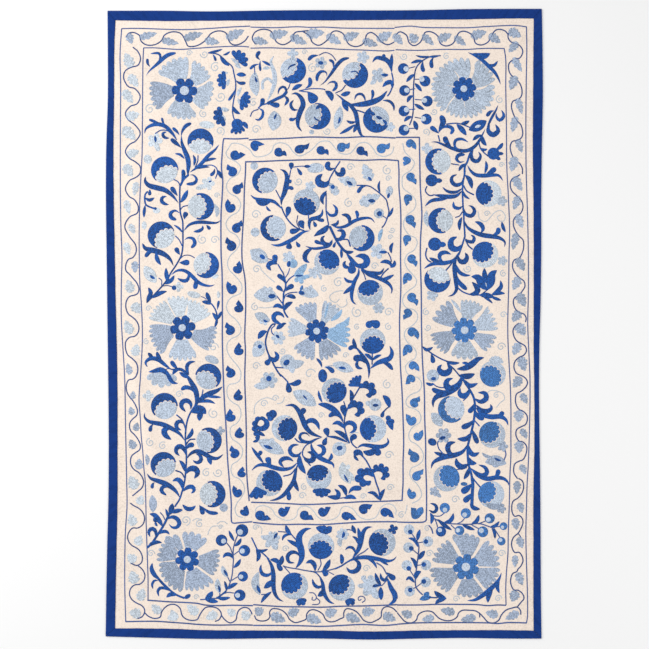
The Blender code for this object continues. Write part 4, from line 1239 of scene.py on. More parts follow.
# %% Pomegranate table
POMEGRANATES = (
    # x, y, radius, direction of the crescent, its thickness in radii, crescent thread, flesh thread
    (-9.9, 80.8, 4.2, -35, 0.85, "dark", "pale"),
    (9.8, 79.4, 4.25, -45, 0.9, "dark", "pale"),
    (-2.1, 66.2, 4.25, -15, 0.75, "dark", "pale"),
    (16.6, 65.2, 4.3, 225, 0.85, "dark", "pale"),
    (-39.4, 58.2, 4.2, 88, 0.82, "dark", "mist"),
    (-50.8, 49.1, 4.4, 115, 0.75, "dark", "mist"),
    (-39.3, 37.5, 4.3, 0, 0.62, "dark", "mist"),
    (-51.9, 28.4, 4.4, 135, 0.75, "dark", "mist"),
    (-18.8, 45.7, 4.2, 150, 0.52, "dark", "pale"),
    (-16.2, 30.6, 4.2, 195, 0.5, "dark", "pale"),
    (11.9, 27.4, 4.2, -20, 0.62, "dark", "pale"),
    (36.3, 51.8, 4.2, 180, 0.55, "dark", "mist"),
    (52.3, 41.6, 4.2, 0, 0.65, "mist", "dark"),
    (37.1, 33, 4.1, 180, 0.68, "dark", "mist"),
    (-37.6, 18.8, 4.2, -22, 0.7, "dark", "mist"),
    (.9, 19.8, 4.15, 235, 0.5, "pale", "dark"),
    (-5.6, 38.8, 4.3, 70, 0.65, "pale", "dark"),
    (14.6, 10.1, 4.15, -75, 0.75, "pale", "dark"),
    (15.4, -5.4, 4.15, 95, 0.6, "pale", "dark"),
    (51.2, 22.2, 4.25, -50, 0.5, "mist", "dark"),
    (36, 14.2, 4.2, 251, 0.8, "dark", "mist"),
    (-36.9, -16.7, 4.2, 60, 0.66, "dark", "pale"),
    (-50.9, -26.1, 4.3, 112, 0.66, "dark", "pale"),
    (-36.7, -37, 4.15, 12, 0.66, "dark", "pale"),
    (-51.2, -44.7, 4.1, 122, 0.66, "dark", "pale"),
    (-35.6, -54.1, 4.25, 0, 0.66, "dark", "mist"),
    (3.2, -21.2, 4.1, 140, 0.45, "pale", "dark"),
    (-12.6, -33.1, 4.2, 165, 0.48, "pale", "dark"),
    (15.5, -33.3, 4.35, 2, 0.75, "pale", "dark"),
    (-17.4, -50.5, 4.3, 215, 0.48, "pale", "dark"),
    (-1.7, -48.7, 4.1, -75, 0.7, "pale", "dark"),
    (53.6, -15.9, 4.2, 45, 0.42, "pale", "mid"),
    (40.5, -27.1, 4.35, 207, 0.6, "mid", "pale"),
    (53.4, -35.1, 4.3, -40, 0.5, "pale", "mid"),
    (39, -49, 4.3, 215, 0.5, "pale", "mid"),
    (53.1, -54.2, 4.3, -25, 0.68, "pale", "mid"),
    (-9.5, -83.3, 4.4, 312, 0.55, "pale", "dark"),
    (-1, -70.7, 4.25, 85, 0.55, "pale", "dark"),
    (18.4, -69.5, 4.4, 20, 0.55, "pale", "dark"),
    (5.5, -83.8, 4.3, 310, 0.55, "pale", "dark"),
)


def fruit_shapes(thread_name):
    """Every crescent and every flesh worked in one thread."""
    crescents = [crescent(*row[:5]) for row in POMEGRANATES if row[5] == thread_name]
    fleshes = [bite(*row[:5]) for row in POMEGRANATES if row[6] == thread_name]
    return crescents + fleshes


sew("pomegranates", **{name: fruit_shapes(name) for name in ("dark", "mid", "pale", "mist")
                       if fruit_shapes(name)})

# %% [markdown]
# ## The top of the garden
#
# Sprays, rosettes and fruit fill the border across the top. The two corners hold a large rosette each,
# with petals round a dark lobed heart, and the middle a tangle of vines with leaves on both sides.

# %% Top left
sew(
    "top_left",
    dark=(
        comma(1.4, -57, 78.7, -55.8, 80.5, -53, 83, -50, 85.6, -47.2, 86.4),
        leaf(.9, -53, 83.2, -52.2, 84.8, -52.5, 86.2, -54, 86.3, -55.5, 86.1),
        comma(1.0, -55.3, 81.8, -56.2, 83, -56.3, 84.6),
        stem(.45, -36.9, 86.4, -33.8, 85.9, -31, 83.5, -29.3, 82, -28.8, 80, -28.2, 77, -28.3, 74, -28.9,
            71, -29.2, 68, -28.9, 66, -28.3, 64.5),
        leaf(.9, -37, 86.5, -34.5, 86.9, -32.3, 87.6), comma(.9, -35.6, 86.1, -35, 85.2, -34.5, 83.8),
        leaf(1.5, -33.2, 85.6, -32, 83.8, -30.2, 82.2), leaf(.8, -32.3, 85.7, -31.2, 86, -29.9, 86.9),
        leaf(1.5, -28, 79.5, -26.3, 79.5, -24.8, 79.3), comma(1.2, -28.3, 77.8, -27, 76.8, -25, 76.8),
        comma(1.0, -28.3, 75, -29.2, 73, -30.5, 71.2), leaf(1.3, -29.2, 69.5, -28.2, 67.8, -26.7, 66.9),
        fan(-27.8, 83.7, 45, 160, .4, 3.7, 3.8, 5, 0, .24),
        fan(-31.1, 77.7, 180, 165, .3, 3.2, 3.2, 5, 0, .22),
        fan(-26.9, 71.9, -20, 140, .3, 4.0, 3.4, 5, 0, .24),
        fan(-32.1, 66.5, 196, 180, .3, 3.3, 3.6, 5, 0, .24),
        fan(-27.7, 64.4, 275, 84, .3, 4.2, 3.8, 4, 0, .22), disc(-27.7, 63.6, 1.9),
        leaf(1.5, -26.4, 64.4, -25.2, 63.6, -24.4, 62.2), disc(-44.5, 74.4, 4.5, 6, 57),
        leaf(1.4, -57.2, 60.5, -56.8, 62.2, -54, 63.6, -51, 63.2, -48.5, 61, -46.8, 58.5),
        comma(1.0, -51.5, 63.6, -53.5, 64.3, -55.8, 65.2), comma(.8, -50.5, 63, -51.3, 64.3, -51.7, 65.8),
        comma(1.1, -46, 60, -46.8, 61.2, -48.3, 62.6),
        comma(1.3, -45.5, 59.5, -45.3, 61.2, -44, 63.2, -42.3, 64),
    ),
    pale=(
        fan(-44.5, 74.4, 109, 62, 3.6, 11, 10.6, 6, 6), fan(-44.5, 74.4, 340, 66, 3.6, 8.6, 9.8, 6, 6),
        fan(-44.5, 74.4, 44, 46, 3.6, 9.6, 10.4, 5, 6), fan(-44.5, 74.4, 257, 64, 3.6, 9.3, 9.4, 6, 6),
        leaf(1.2, -29.8, 84.7, -28.4, 83.8, -26.8, 82.2), leaf(1.0, -28.6, 82.6, -27.6, 82.2, -26.4, 81.4),
        leaf(1.0, -33, 80.5, -31.8, 80.1, -30.5, 80), leaf(1.2, -30.2, 78.2, -30.7, 77, -30.8, 75.8),
        leaf(1.2, -26.3, 75.5, -27.2, 74, -27.6, 72.5), leaf(1.0, -27.6, 72, -27.1, 71, -27, 69.8),
        leaf(1.5, -33, 68.8, -31.5, 68.3, -30.2, 68.2), leaf(1.2, -33.2, 67, -32.1, 65.8, -31.3, 64.8),
        disc(-28.2, 63.5, 1.0),
    ),
    mist=(oval(2.5, -39.8, 63.8, -37.3, 63.5, -34.9, 63.2),),
    eye=(disc(-44.5, 74.4, 1.6),),
    stone=(fan(-44.5, 74.4, 184, 50, 3.6, 11.5, 11, 6, 6),),
    curl=(
        curl(-34.7, 81.8, 1.6, 60), curl(-33, 72.5, 1.7, 200), curl(-38.5, 67, 1.3, 120),
        curl(-33.2, 61.5, 1.5, 300), curl(-55.5, 68.5, 1.7, 30), curl(-38.2, 86, 1.3, 180),
        curl(-43, 86.3, 1.0, 0),
    ),
)

# %% Top middle
sew(
    "top_middle",
    dark=(
        horn(1.0, -20, 83.9, -18.5, 83.2, -17, 82.3),
        comma(1.3, -20.3, 84, -21.4, 85.2, -21.2, 86, -20.4, 86.9),
        comma(.9, -20.3, 84.2, -20.5, 82.5, -20.3, 80.6), comma(1.0, -20.5, 82.9, -22.3, 82.4, -23.7, 81.2),
        stem(.35, -22.2, 82, -22.1, 79.5), comma(1.0, -22.2, 79.3, -21.8, 78, -21.4, 77),
        comma(.8, -11.9, 80.2, -11, 82, -9, 82.8), oval(1.4, -11.3, 78.9, -10.6, 78.1),
        stem(.35, -10.8, 76.8, -11.5, 75, -12.3, 74.5), comma(1.3, -1.6, 85.7, -4, 85.2, -5.1, 84),
        oval(1.4, -2, 83.3, -.2, 83.1), comma(1.3, -1.9, 75.6, 0, 77, 2, 79.5, 4.3, 82.8, 6, 84.3, 8, 84.8),
        comma(1.0, 2.9, 81.5, 2.8, 83.5, 1.5, 84.2),
        comma(1.2, .9, 78.5, .6, 80.2, -.9, 80.5, -2.2, 79, -2.3, 77.3),
        comma(1.4, -6.3, 74.9, -4.7, 76, -4.4, 77.3, -4.8, 78.6),
        stem(.4, -8, 74.3, -5, 74.9, -2, 75, 0, 74.8, .3, 74.6),
        comma(1.1, .7, 76, 2, 77.1, 3.6, 77, 3.8, 75.5, 2.6, 74.2),
        stem(.6, 8.5, 80.3, 10, 80.5, 11, 79.5, 10.8, 78, 9, 76.8),
        stem(.4, 6.8, 76.1, 5.5, 74.5, 3.7, 73.7), leaf(1.5, -10.3, 74.5, -8.5, 75.7, -6.9, 76.3),
        leaf(1.8, -10.6, 73.2, -9, 73.5, -7.3, 72, -6.7, 70, -7.7, 67.5, -8.4, 65, -8.3, 63, -7, 61.2),
        leaf(1.1, -9.7, 71.5, -10.7, 70, -9.8, 68.3, -8.3, 68.3),
        comma(1.2, -8.7, 66, -9.8, 65.2, -11.2, 65.3), comma(3.4, -5.4, 74.2, -4.4, 73, -2.8, 70.6),
        stem(.4, -8, 74.3, -5, 73.9), leaf(2.0, .3, 74.3, 2, 73, 2.5, 71),
        leaf(.8, -3.4, 66.4, -2.7, 65.3, -1.3, 64.8), leaf(1.2, -2.8, 68.4, -1.9, 69.2, -1, 69.6),
        leaf(1.0, 5, 66.2, 4.9, 65, 4.4, 63.7), leaf(1.6, 5.2, 73, 6.8, 73.3, 8.4, 74),
        horn(1.5, 3.2, 73.7, 5, 72.4, 6.5, 71, 8.3, 69.7, 9.9, 67.5, 10.4, 65.5, 10.8, 63, 12, 60, 13.3,
            59.8),
        leaf(1.8, 5.8, 71.8, 6.5, 70, 7.6, 67.7),
        leaf(2.0, 7.6, 70, 10.5, 69.9, 14.5, 70.5, 18, 72, 20.2, 74.5),
        leaf(.9, 9.6, 71.3, 10.3, 73, 11.9, 73.3, 12.9, 72, 13, 70.7),
        comma(1.1, 14.8, 71, 15.5, 73, 15.3, 74.7), leaf(1.0, 18.5, 71.3, 20.8, 71, 22.1, 69.5, 22.2, 67.8),
        leaf(1.6, 15.3, 83.3, 16.5, 84.8, 18.2, 84.7, 20, 84, 21.2, 82, 21.5, 80),
        comma(1.2, 19.9, 84, 19.2, 84.8, 18.8, 86), leaf(1.3, 21.6, 86.2, 21.4, 84, 21.3, 81),
        stem(.5, 21.5, 80, 21.9, 78, 21.8, 76, 20.8, 73.5, 20.2, 72.7),
        leaf(1.6, 18.5, 75.5, 20, 76.9, 21.5, 77, 21.7, 75), leaf(1.2, 18, 79.5, 19.3, 79.3, 20.5, 79.4),
        stem(.5, 9.5, 68.3, 11.5, 67.8, 13.2, 67.2), leaf(1.0, 7, 64.9, 8.5, 64.2, 10.2, 64.5),
        leaf(1.2, 4.8, 60.5, 7.5, 62, 10, 63.7), leaf(1.3, 9.3, 61, 10, 62.5, 10.5, 64),
        leaf(1.3, 14.6, 67.8, 15.5, 67, 16.4, 66.6), leaf(1.3, 16.4, 66.4, 17.5, 65.7, 18.7, 65.5),
        leaf(1.2, 18.5, 65.2, 19.4, 64.4, 20, 63.4), stem(1.1, -18, 70.3, -15, 71.8, -13, 72.8, -12, 74),
        leaf(.9, -14.8, 73, -14.2, 75, -12.8, 75.6, -12, 74, -12.8, 72.5),
        leaf(1.1, -12.8, 72.8, -11.6, 71.5, -12.7, 69.5), comma(1.8, -18, 70.3, -16, 69.9, -14.2, 69.6),
        comma(1.6, -20.8, 69, -19.7, 70.5, -19.6, 72), stem(.5, -18, 70.3, -20, 69.7, -21, 68.8),
        leaf(1.0, -21, 68.8, -19.6, 68, -19.7, 66.2, -21, 65, -22.2, 65.5),
        stem(.4, -23.5, 66.2, -22.8, 67.7, -21, 68.4), leaf(1.0, -15.1, 67.2, -15.6, 66.1, -16, 65),
    ),
    pale=(
        leaf(3.4, -22, 80.5, -22.3, 77, -21.5, 72.6),
        leaf(1.6, -15.9, 85.7, -17, 83.5, -15.9, 80, -15.8, 77, -16.7, 74, -18.2, 71),
        leaf(1.2, -19.7, 81.3, -18.4, 81.6, -17.2, 81.5),
        stem(1.0, -19.6, 75, -19.5, 77.3, -17.9, 78.2, -16.5, 77), disc(-10, 86.2, 1.9, 4),
        disc(-1.1, 83.2, 2.1, 5), disc(12.3, 85, 2.2, 5), oval(1.6, -4.8, 61.2, -3.2, 61.2),
        leaf(3, 5.2, 69.5, 4.6, 66, 3.5, 62), disc(17.3, 79.3, 2.5, 5),
        leaf(1.6, 16.8, 78, 15.6, 77.1, 14.6, 76.4), disc(21, 62.8, 1.7, 5),
        leaf(4.6, -16, 68, -15.8, 64.8, -16.4, 61.6),
    ),
    slate=(stem(.4, -1.6, 85.7, .3, 86.5, 2.3, 85.8, 3.7, 84),),
    curl=(
        curl(-22.6, 70.6, 1.3, 60), curl(-21.7, 62, 1.5, 0), curl(-3.7, 81.5, 1.5, 90),
        curl(-6.3, 86.6, .9, 0), curl(1, 61.5, 1.2, 180),
    ),
)

# %% Top right
BERRY_EYES = (
    # berry x, y, then its eye x, y
    (25.2, 81.4, 26.1, 81.3),
    (32.1, 77.4, 31.1, 78),
    (25.6, 74.4, 26.3, 74.5),
    (32.8, 71, 31.9, 71.3),
    (25.4, 67.9, 26.2, 68.3),
    (32.5, 65.3, 31.6, 65.4),
    (25.4, 61.8, 26.1, 62.3),
)
sew(
    "top_right",
    dark=(
        stem(.45, 37, 85.5, 34.1, 85.3, 31.9, 84.3, 29.9, 82.6, 29.1, 81.1, 28.6, 77.9, 28.4, 74.4, 28.4,
            71.2, 28.4, 68.9, 28, 65.7, 27.2, 63.5),
        *(disc(row[0], row[1], 1.8) for row in BERRY_EYES),
        *(stem(.35, *row[2:], 28.9, row[1] + .6) for row in BERRY_EYES),
        leaf(.8, 29, 85.6, 31.2, 85.1, 33.8, 85.3), leaf(.8, 37, 85.6, 35, 85.2, 33, 85.1),
        leaf(1.1, 27.5, 83.1, 29.3, 83.7, 31.5, 84), comma(1.4, 31.5, 84, 31.2, 82.1, 31.7, 80.3),
        comma(1.4, 35, 85.3, 34.1, 83.7, 34.3, 81.5), leaf(1.3, 26.1, 77.1, 27.4, 78.6, 28.8, 79.7),
        leaf(1.3, 28.8, 76.8, 29.8, 75.7, 31.1, 74.1), leaf(1.3, 26.4, 70.6, 27.2, 72.2, 28.4, 72.8),
        leaf(1.3, 28.7, 70.2, 29.9, 69.4, 31.9, 68.3), leaf(1.3, 25.4, 64.5, 26.6, 65.7, 28, 66.1),
        leaf(1.6, 28.5, 64.9, 29.1, 63.5, 29.6, 61.7), disc(44.5, 74.9, 4.2, 8, 10),
        leaf(1.3, 45.6, 86.6, 47.9, 85.6, 50.4, 84, 52.4, 82.1, 54.3, 80.2, 55.6, 77.9, 56.2, 76.2),
        leaf(1.0, 47.2, 86.3, 49.5, 85.9, 53, 86.2), leaf(1.6, 49, 85.2, 51, 85.2, 52.8, 86.1),
        leaf(1.1, 51.7, 82.7, 54, 82.4, 55.3, 83.9), comma(1.3, 54.3, 68, 53, 67.7, 51.7, 66.2),
        leaf(.9, 55.4, 69.9, 54.6, 68, 53.3, 65.7, 52.4, 63.8, 51.6, 61.6),
        leaf(1.2, 56.4, 68.3, 57.2, 66.4, 55.9, 64.9, 54.8, 66.1, 54.8, 67.3),
        leaf(1.8, 54.5, 63.7, 55.4, 61.6, 53.7, 60.3, 52.2, 61.6, 52.7, 63.8),
        stem(.45, 38.9, 63.7, 41.8, 64, 43.7, 63.7, 46.3, 62.7),
        comma(2.0, 36.3, 60.6, 37, 62.5, 37.9, 64.5, 37.1, 66.5),
        comma(1.6, 36.5, 60.6, 35.4, 61.7, 33.8, 62.9),
        comma(1.3, 36.5, 61, 37.9, 62.7, 39.9, 62.9, 41, 61.9, 40.2, 60.5),
        leaf(1.3, 43.4, 63.8, 45, 64.1, 46.3, 64.8), leaf(1.8, 42.1, 63.7, 43.7, 62.2, 45.3, 60.1),
        leaf(3.4, 46, 61.8, 48.7, 63, 51.7, 64.8),
    ),
    pale=(
        fan(44.5, 74.9, 141, 50, 3.4, 10.4, 10.8, 5, 9, .16),
        fan(44.5, 74.9, 89, 44, 3.4, 10, 10.4, 4, 12, .18),
        fan(44.5, 74.9, 30, 50, 3.4, 10.6, 10.6, 5, 10, .14),
        fan(44.5, 74.9, 334, 44, 3.4, 10.2, 10, 4, 12, .14),
        fan(44.5, 74.9, 291, 38, 3.4, 9.8, 9.6, 4, 10, .16),
        fan(44.5, 74.9, 246, 46, 3.4, 9.6, 9.4, 5, 8, .16),
        fan(44.5, 74.9, 193, 50, 3.4, 10.6, 10.4, 5, 8, .16),
    ),
    eye=(
        oval(2.4, 44.4, 76.1, 44.5, 73.9), leaf(1.3, 47.8, 62.6, 48.9, 63, 50, 63.4),
        *(disc(*row[2:], .95) for row in BERRY_EYES),
    ),
    curl=(
        curl(25.4, 85.3, 1.2, 180), curl(38.9, 85.3, 1.1, 60), curl(35, 67.7, 1.1, 200),
        curl(55.9, 71.5, 1.3, 100), curl(32.4, 61.2, 1.2, 300),
    ),
)

# %% [markdown]
# ## The side columns and the middle, upper half
#
# Down each side a vine climbs from rosette to rosette and throws off fruit to left and right. The field
# in the middle is looser: its vines branch and wander between the fruit.

# %% Left column, upper
sew(
    "left_upper",
    dark=(
        horn(1.7, -45.5, 60.5, -45.3, 57.6, -44.4, 55.2, -43.5, 53, -43.2, 51, -43.4, 48.5, -43.3, 47.3),
        stem(.4, -53.8, 60.7, -52, 61.7, -50, 61.6, -48.3, 60.3, -47, 58.8),
        leaf(1.1, -50.1, 61.2, -51.3, 60.8, -51.2, 59.8, -50.1, 59.2, -49.2, 59.3),
        leaf(1.1, -53.9, 60.2, -53.6, 57.7), comma(1.5, -45.3, 56, -47.1, 57.6, -48.8, 59),
        leaf(.9, -44.4, 52.6, -45.9, 54, -47.6, 54.3),
        leaf(1.3, -33.4, 57.3, -34.8, 55.5, -36.9, 53.7, -38.7, 51.6, -41.1, 49.5, -42.9, 48.3),
        leaf(1.0, -34.2, 52.7, -36.3, 52.5, -38.1, 51.7), leaf(.9, -36.3, 50, -38.1, 50.1, -41.4, 49.5),
        stem(.4, -40.2, 50.5, -37.5, 50.6, -35.7, 50.6, -34.3, 49.7, -34, 48.2, -34.6, 46.4),
        comma(1.2, -34.8, 49.7, -35.2, 48.2, -36.3, 47.3), leaf(1.3, -34, 49.1, -33.1, 47.6, -32.6, 46.3),
        leaf(1.0, -41.8, 54, -41.2, 52.5, -41.5, 50.3), stem(.4, -40.2, 53.7, -40.3, 51.9, -41.1, 50),
        leaf(.7, -37, 45.2, -35.7, 45.7), comma(1.4, -45.7, 44.6, -45.1, 46.1, -44.8, 47.9, -45, 49.3),
        stem(.8, -43.3, 47.5, -44.8, 46.1, -45.7, 44.3),
        comma(1.2, -43.2, 47.5, -41.7, 47.5, -40.6, 46.1, -41.4, 44.9, -43.9, 44.6),
        stem(.55, -45.9, 44.3, -46, 41.9, -46, 39.2, -45.9, 36.5, -45.7, 35, -45.1, 32.9, -45, 30.5, -45,
            27.4, -45, 25.3, -45.4, 22.3, -46.3, 20.3, -47.5, 18.3, -48.8, 16.4, -49.8, 14.5, -51.3, 12.5,
            -52.8, 10.8, -54.5, 9, -56.4, 7),
        stem(.4, -47.9, 46.1, -46.6, 45.4, -45.9, 44.2), comma(1.6, -46.6, 40.7, -47.9, 42.5, -48.8, 43.7),
        leaf(1.6, -43.4, 42.8, -44.4, 40.7, -45.7, 38.7),
        horn(1.8, -46.2, 38.3, -48.3, 40.9, -50.7, 42.7, -53.1, 43.4, -55.8, 44.2, -57, 45.5, -56.9, 47),
        comma(1.2, -55.5, 43.1, -55.6, 41),
        stem(.6, -56.3, 42.2, -57, 41.3, -57.1, 39.2, -56.7, 38, -55.2, 37.2, -54, 36.8),
        leaf(1.2, -57, 40.3, -55.7, 39.5, -54, 40.3), comma(1.0, -54.8, 37, -53.3, 36.7),
        leaf(1.1, -57, 38, -57.3, 35.9, -57.4, 33.9),
        leaf(1.3, -50.1, 40.7, -51.5, 40.4, -51.8, 39.2, -50.7, 38.3, -49.4, 38.1),
        comma(1.4, -45.7, 35.1, -47.4, 36.2, -48.9, 35.4, -48.8, 34.1, -47.1, 33.2),
        comma(1.7, -44.5, 33.3, -44.4, 34.4, -43.8, 35.7), stem(.4, -45.9, 36.3, -45, 37.4, -43.5, 37.8),
        leaf(1.2, -32.8, 33.2, -34.1, 32.3, -36.3, 32.3, -39.9, 32.5, -42.9, 31.7, -44.8, 29.6),
        leaf(1.2, -38.8, 31.5, -38.7, 30.5, -39.9, 29.7, -41.7, 29.5), comma(1.2, -37.6, 31.7, -36.3, 30.2),
        leaf(.8, -48, 31.7, -46.2, 30.5, -45, 29), stem(.4, -47.4, 28.1, -46.2, 26.9, -45.3, 25),
        comma(1.3, -44.8, 26.5, -43.5, 27.5, -41.7, 27.2, -41.2, 25.6, -42.4, 24.3),
        comma(1.6, -45.9, 22, -46.7, 23.2, -47.3, 24.4),
        horn(1.9, -47.9, 18.3, -49, 20.6, -51, 22.3, -54, 23.4, -57, 24.2, -57.9, 25.8),
        comma(1.4, -53.8, 23.3, -55.8, 22.8, -57, 21.4), leaf(1.5, -53.6, 23, -53.2, 20.8, -52, 18.8),
        comma(1.9, -46.3, 19.6, -44.7, 19.6, -42.9, 19.7),
        stem(.35, -45.8, 20.9, -44.8, 21.8, -43.3, 22, -42, 21.6, -41.3, 21.1),
        leaf(1.5, -50.4, 18, -50.2, 15.5, -49.5, 13), leaf(1.4, -47.7, 15.6, -48.7, 14, -50.9, 12.7),
        leaf(1.3, -48.9, 15.5, -47, 17, -45, 17.2, -43.3, 16.4, -41.8, 15, -40, 13.3, -38, 12.4, -36, 12.2,
            -34.6, 12.7),
        leaf(1.3, -46.8, 14.7, -45.3, 13.9, -43.8, 13.9, -43.2, 15, -43.3, 16.3),
        comma(1.6, -41.2, 14.9, -40.9, 13, -41.2, 11.2), leaf(1.1, -55.6, 15.7, -54.8, 15, -53.8, 14.4),
        stem(.35, -51.8, 12.4, -51.8, 14, -52.7, 14.7), stem(.35, -51.8, 12.1, -50, 12.3, -48.6, 12),
        disc(-47.8, 11.6, .8), horn(1.5, -56.6, 6.6, -56, 8.4, -55.2, 9.9, -56, 11.7),
        leaf(1.5, -50, 10.5, -52, 10, -54, 9, -55.5, 8.2),
    ),
    mist=(
        disc(-53.9, 58.4, 2.6, 5), leaf(1.8, -53.4, 56.8, -53, 56, -53, 55),
        oval(2.8, -57, 53.8, -56.2, 52.5, -55.6, 51.2), disc(-37, 44.8, 2.3, 5),
        leaf(1.8, -38, 44.4, -39.5, 43.6, -41, 43.2), oval(2, -54.6, 36.2, -52.2, 36.2),
        oval(1.7, -57.3, 32.8, -57.3, 30.2), leaf(3.8, -57.2, 18.6, -55.6, 16, -53.5, 13.2),
        disc(-46.4, 11.9, 1.7, 4), oval(2.2, -43.6, 10, -41.6, 9.4, -39.4, 9),
        leaf(1.6, -36.2, 15.4, -34.8, 15.2, -33.5, 15.6), leaf(1.2, -33.8, 10.6, -33.6, 9.2, -33.8, 8.2),
    ),
    pale=(leaf(1.6, -35, 38.4, -34, 36, -34.3, 34),),
    curl=(
        curl(-34.2, 41, .9, 0), curl(-38.8, 27, 1.6, 120), curl(-34.9, 26.8, 1.4, 0), curl(-56, 5, 1.0, 0),
    ),
)

# %% Centre, upper
sew(
    "centre_upper",
    dark=(
        leaf(1.8, -14.2, 49.4, -12.6, 48.6, -11.8, 46.7, -12, 44.7, -12.6, 42.1, -13.6, 39.5, -13.6, 37.7),
        comma(1.3, -12, 45.8, -10.4, 45.3), comma(1.3, -12.3, 42.5, -11, 43.5, -9.8, 43),
        stem(.4, -10.7, 49, -11.1, 46.7), stem(.4, -15.4, 42.7, -13.9, 39.8),
        comma(1.7, -10.6, 49, -10.5, 50, -10.5, 51.5), stem(.35, -10, 50, -7.7, 50.3, -4.2, 50.3),
        leaf(1.1, -6.6, 50.3, -4.2, 50.2), comma(1.2, -8.8, 50, -7.2, 47.5),
        comma(1.8, 3.6, 49.9, 1.9, 49.3, .9, 50.4, 1.7, 51.7),
        comma(1.9, 3.2, 49.6, 4.2, 47.8, 5.8, 47.9, 5.9, 50),
        stem(.5, 5, 51.8, 3.8, 50, 2.8, 48.3, 1.8, 46.5, 1.4, 45.2),
        leaf(2.4, -.5, 47.9, -1.9, 46.5, -1.6, 44.9, .6, 44.5, 1.7, 46), disc(2.7, 43.7, .75),
        stem(.35, 2.3, 43.9, 1, 44.6), leaf(1.3, 7, 45.6, 9.1, 44.2), leaf(1.1, 13.9, 47, 15.1, 45.6),
        stem(.45, 10.4, 44.2, 12.2, 44.2, 14.5, 43.9, 16.5, 42.6, 18.1, 41.3, 19.8, 39.5, 20.2, 37.8, 20.6,
            35.9, 20.1, 33.9, 19.1, 31.6, 18.4, 30.8),
        comma(1.3, 13.5, 44, 11.9, 43.6, 10.6, 41.8), leaf(.9, 17.8, 45.8, 17.3, 44, 17.8, 41.6),
        leaf(1.5, 13.8, 39.4, 16.4, 39.2), leaf(1.0, 20.8, 42, 20.2, 40), disc(17.6, 35.2, .95),
        stem(.35, 18.3, 34.7, 20, 33.6), leaf(1.0, 22, 37.3, 21.1, 35.2, 20.1, 33.9),
        leaf(1.3, -23.6, 41.3, -22.1, 40.1, -19.5, 39.6, -16.2, 39.1, -14.2, 37.5, -13.3, 36.5),
        leaf(2.2, -22, 40, -20, 38.7, -17, 39), leaf(.8, -18.5, 37.7, -17.8, 36.5, -16.9, 36),
        stem(.5, -13.6, 37.4, -13.3, 36.5, -12.6, 34.9, -11.3, 32.9, -9.7, 31.3, -8, 30.3, -6.4, 29.8),
        comma(1.9, -12, 33.9, -11.5, 35.9, -11.3, 37.5), comma(1.9, -7.4, 30.2, -9.3, 29.7, -11, 29.5),
        comma(2.2, -6.4, 30.3, -7.2, 31.6, -7.4, 33.1), stem(.35, -8.4, 34.6, -8.7, 32.3, -7.7, 30.3),
        leaf(1.4, -4.4, 29.8, -4.8, 31.6, -4.4, 33.3, -2.2, 33.9, -.8, 34.9, -.5, 36.8),
        comma(1.2, -3.5, 33, -2.6, 31), comma(1.3, -3, 33.3, -1.5, 33.2, 0, 33),
        leaf(1.4, .8, 42.6, -.8, 40, -.2, 38), stem(.45, .6, 41.8, .6, 38.5, .6, 36.2, 1, 33.6, 1.4, 31.6),
        leaf(1.2, 2.6, 38.3, 3.9, 36.8, 3.6, 34.9, 1.8, 34.7, .8, 36.2),
        horn(2.0, -3.4, 27.9, -1.8, 29, .1, 30, 1.4, 31.6), leaf(1.1, 4.5, 33.3, 4, 31.9, 2.1, 31.6),
        leaf(1.2, 1.8, 31.9, 4.4, 30.8, 7, 31.3, 9.6, 32.9, 12.2, 33.7, 14.8, 33.7, 16.3, 32.1),
        leaf(1.4, 5.4, 34.9, 7.3, 34.6, 8.1, 33.3, 7.7, 31.9),
        comma(1.2, 10.3, 32.9, 10.6, 34.9, 10.1, 36.2), stem(.5, 6, 27, 7.5, 26.9, 8.3, 24.8),
        leaf(1.6, 3.9, 29.7, 5.7, 29.8, 6.2, 28.3, 4.9, 27, 3.1, 27.5),
        stem(.9, 1.8, 31, 3.1, 28.3, 4.1, 26.4, 5.2, 24.8, 6.6, 23.2),
        leaf(1.6, .3, 28.2, -.7, 27.4, -.2, 25.7, 1.8, 25.4, 2.6, 27),
        comma(1.3, -.2, 25.1, -1.2, 25.7, -3.1, 26.5),
        leaf(1.0, -6.1, 24.9, -3.5, 24.1, -.8, 24.3, 1.8, 24.9, 2.6, 26.1),
        comma(1.0, 3.7, 26.4, 2.9, 24.4),
        leaf(1.4, -17.2, 25.4, -14.6, 25.1, -11.6, 26.2, -9.3, 27.5, -6.7, 29.3, -4.4, 29.8),
        comma(2.0, -11, 26.3, -11.3, 23.9), comma(1.3, -9, 26.5, -8.3, 25.2, -7.7, 24.7),
        leaf(1.2, 22, 26.1, 21.2, 24.4, 21.4, 22.5), stem(.4, -5, 34.9, -5, 33.6),
    ),
    sky=(leaf(1.4, 18.6, 30.6, 17.8, 28.5, 17.4, 26.2),),
    pale=(
        disc(-22.3, 50.4, 1.3), disc(-4.5, 43.9, 1.8, 5), oval(3.3, -5.4, 49.2, -2.7, 49.8, 0, 49.6),
        ragged(2.3, 3.6, 42.2, 1.4, 45.2), ragged(2.7, 8.9, 45.1, 4.2, 46.4),
        ragged(3.0, 14.2, 47.2, 12.4, 51.2), ragged(3.1, 12.8, 39, 18, 41.2),
        oval(2.4, 21, 44, 20.8, 42.4, 20.4, 40.8), disc(17.4, 35.3, 1.7), disc(-22, 29.3, 1.5),
        disc(-21.2, 22, 2.4, 5), disc(17, 23.2, 2.6, 5),
    ),
    curl=(
        curl(8.3, 50, 1.3, 0), curl(-8.2, 45.5, 1.3, 200), curl(7.8, 38.6, 1.5, 90),
        curl(-21.8, 34.9, 1.5, 0), curl(20.1, 49, 1.6, 100), curl(20.4, 46.4, 1.0, 0),
        curl(21.6, 30, 1.0, 200), curl(21, 27.7, .9, 0),
    ),
)

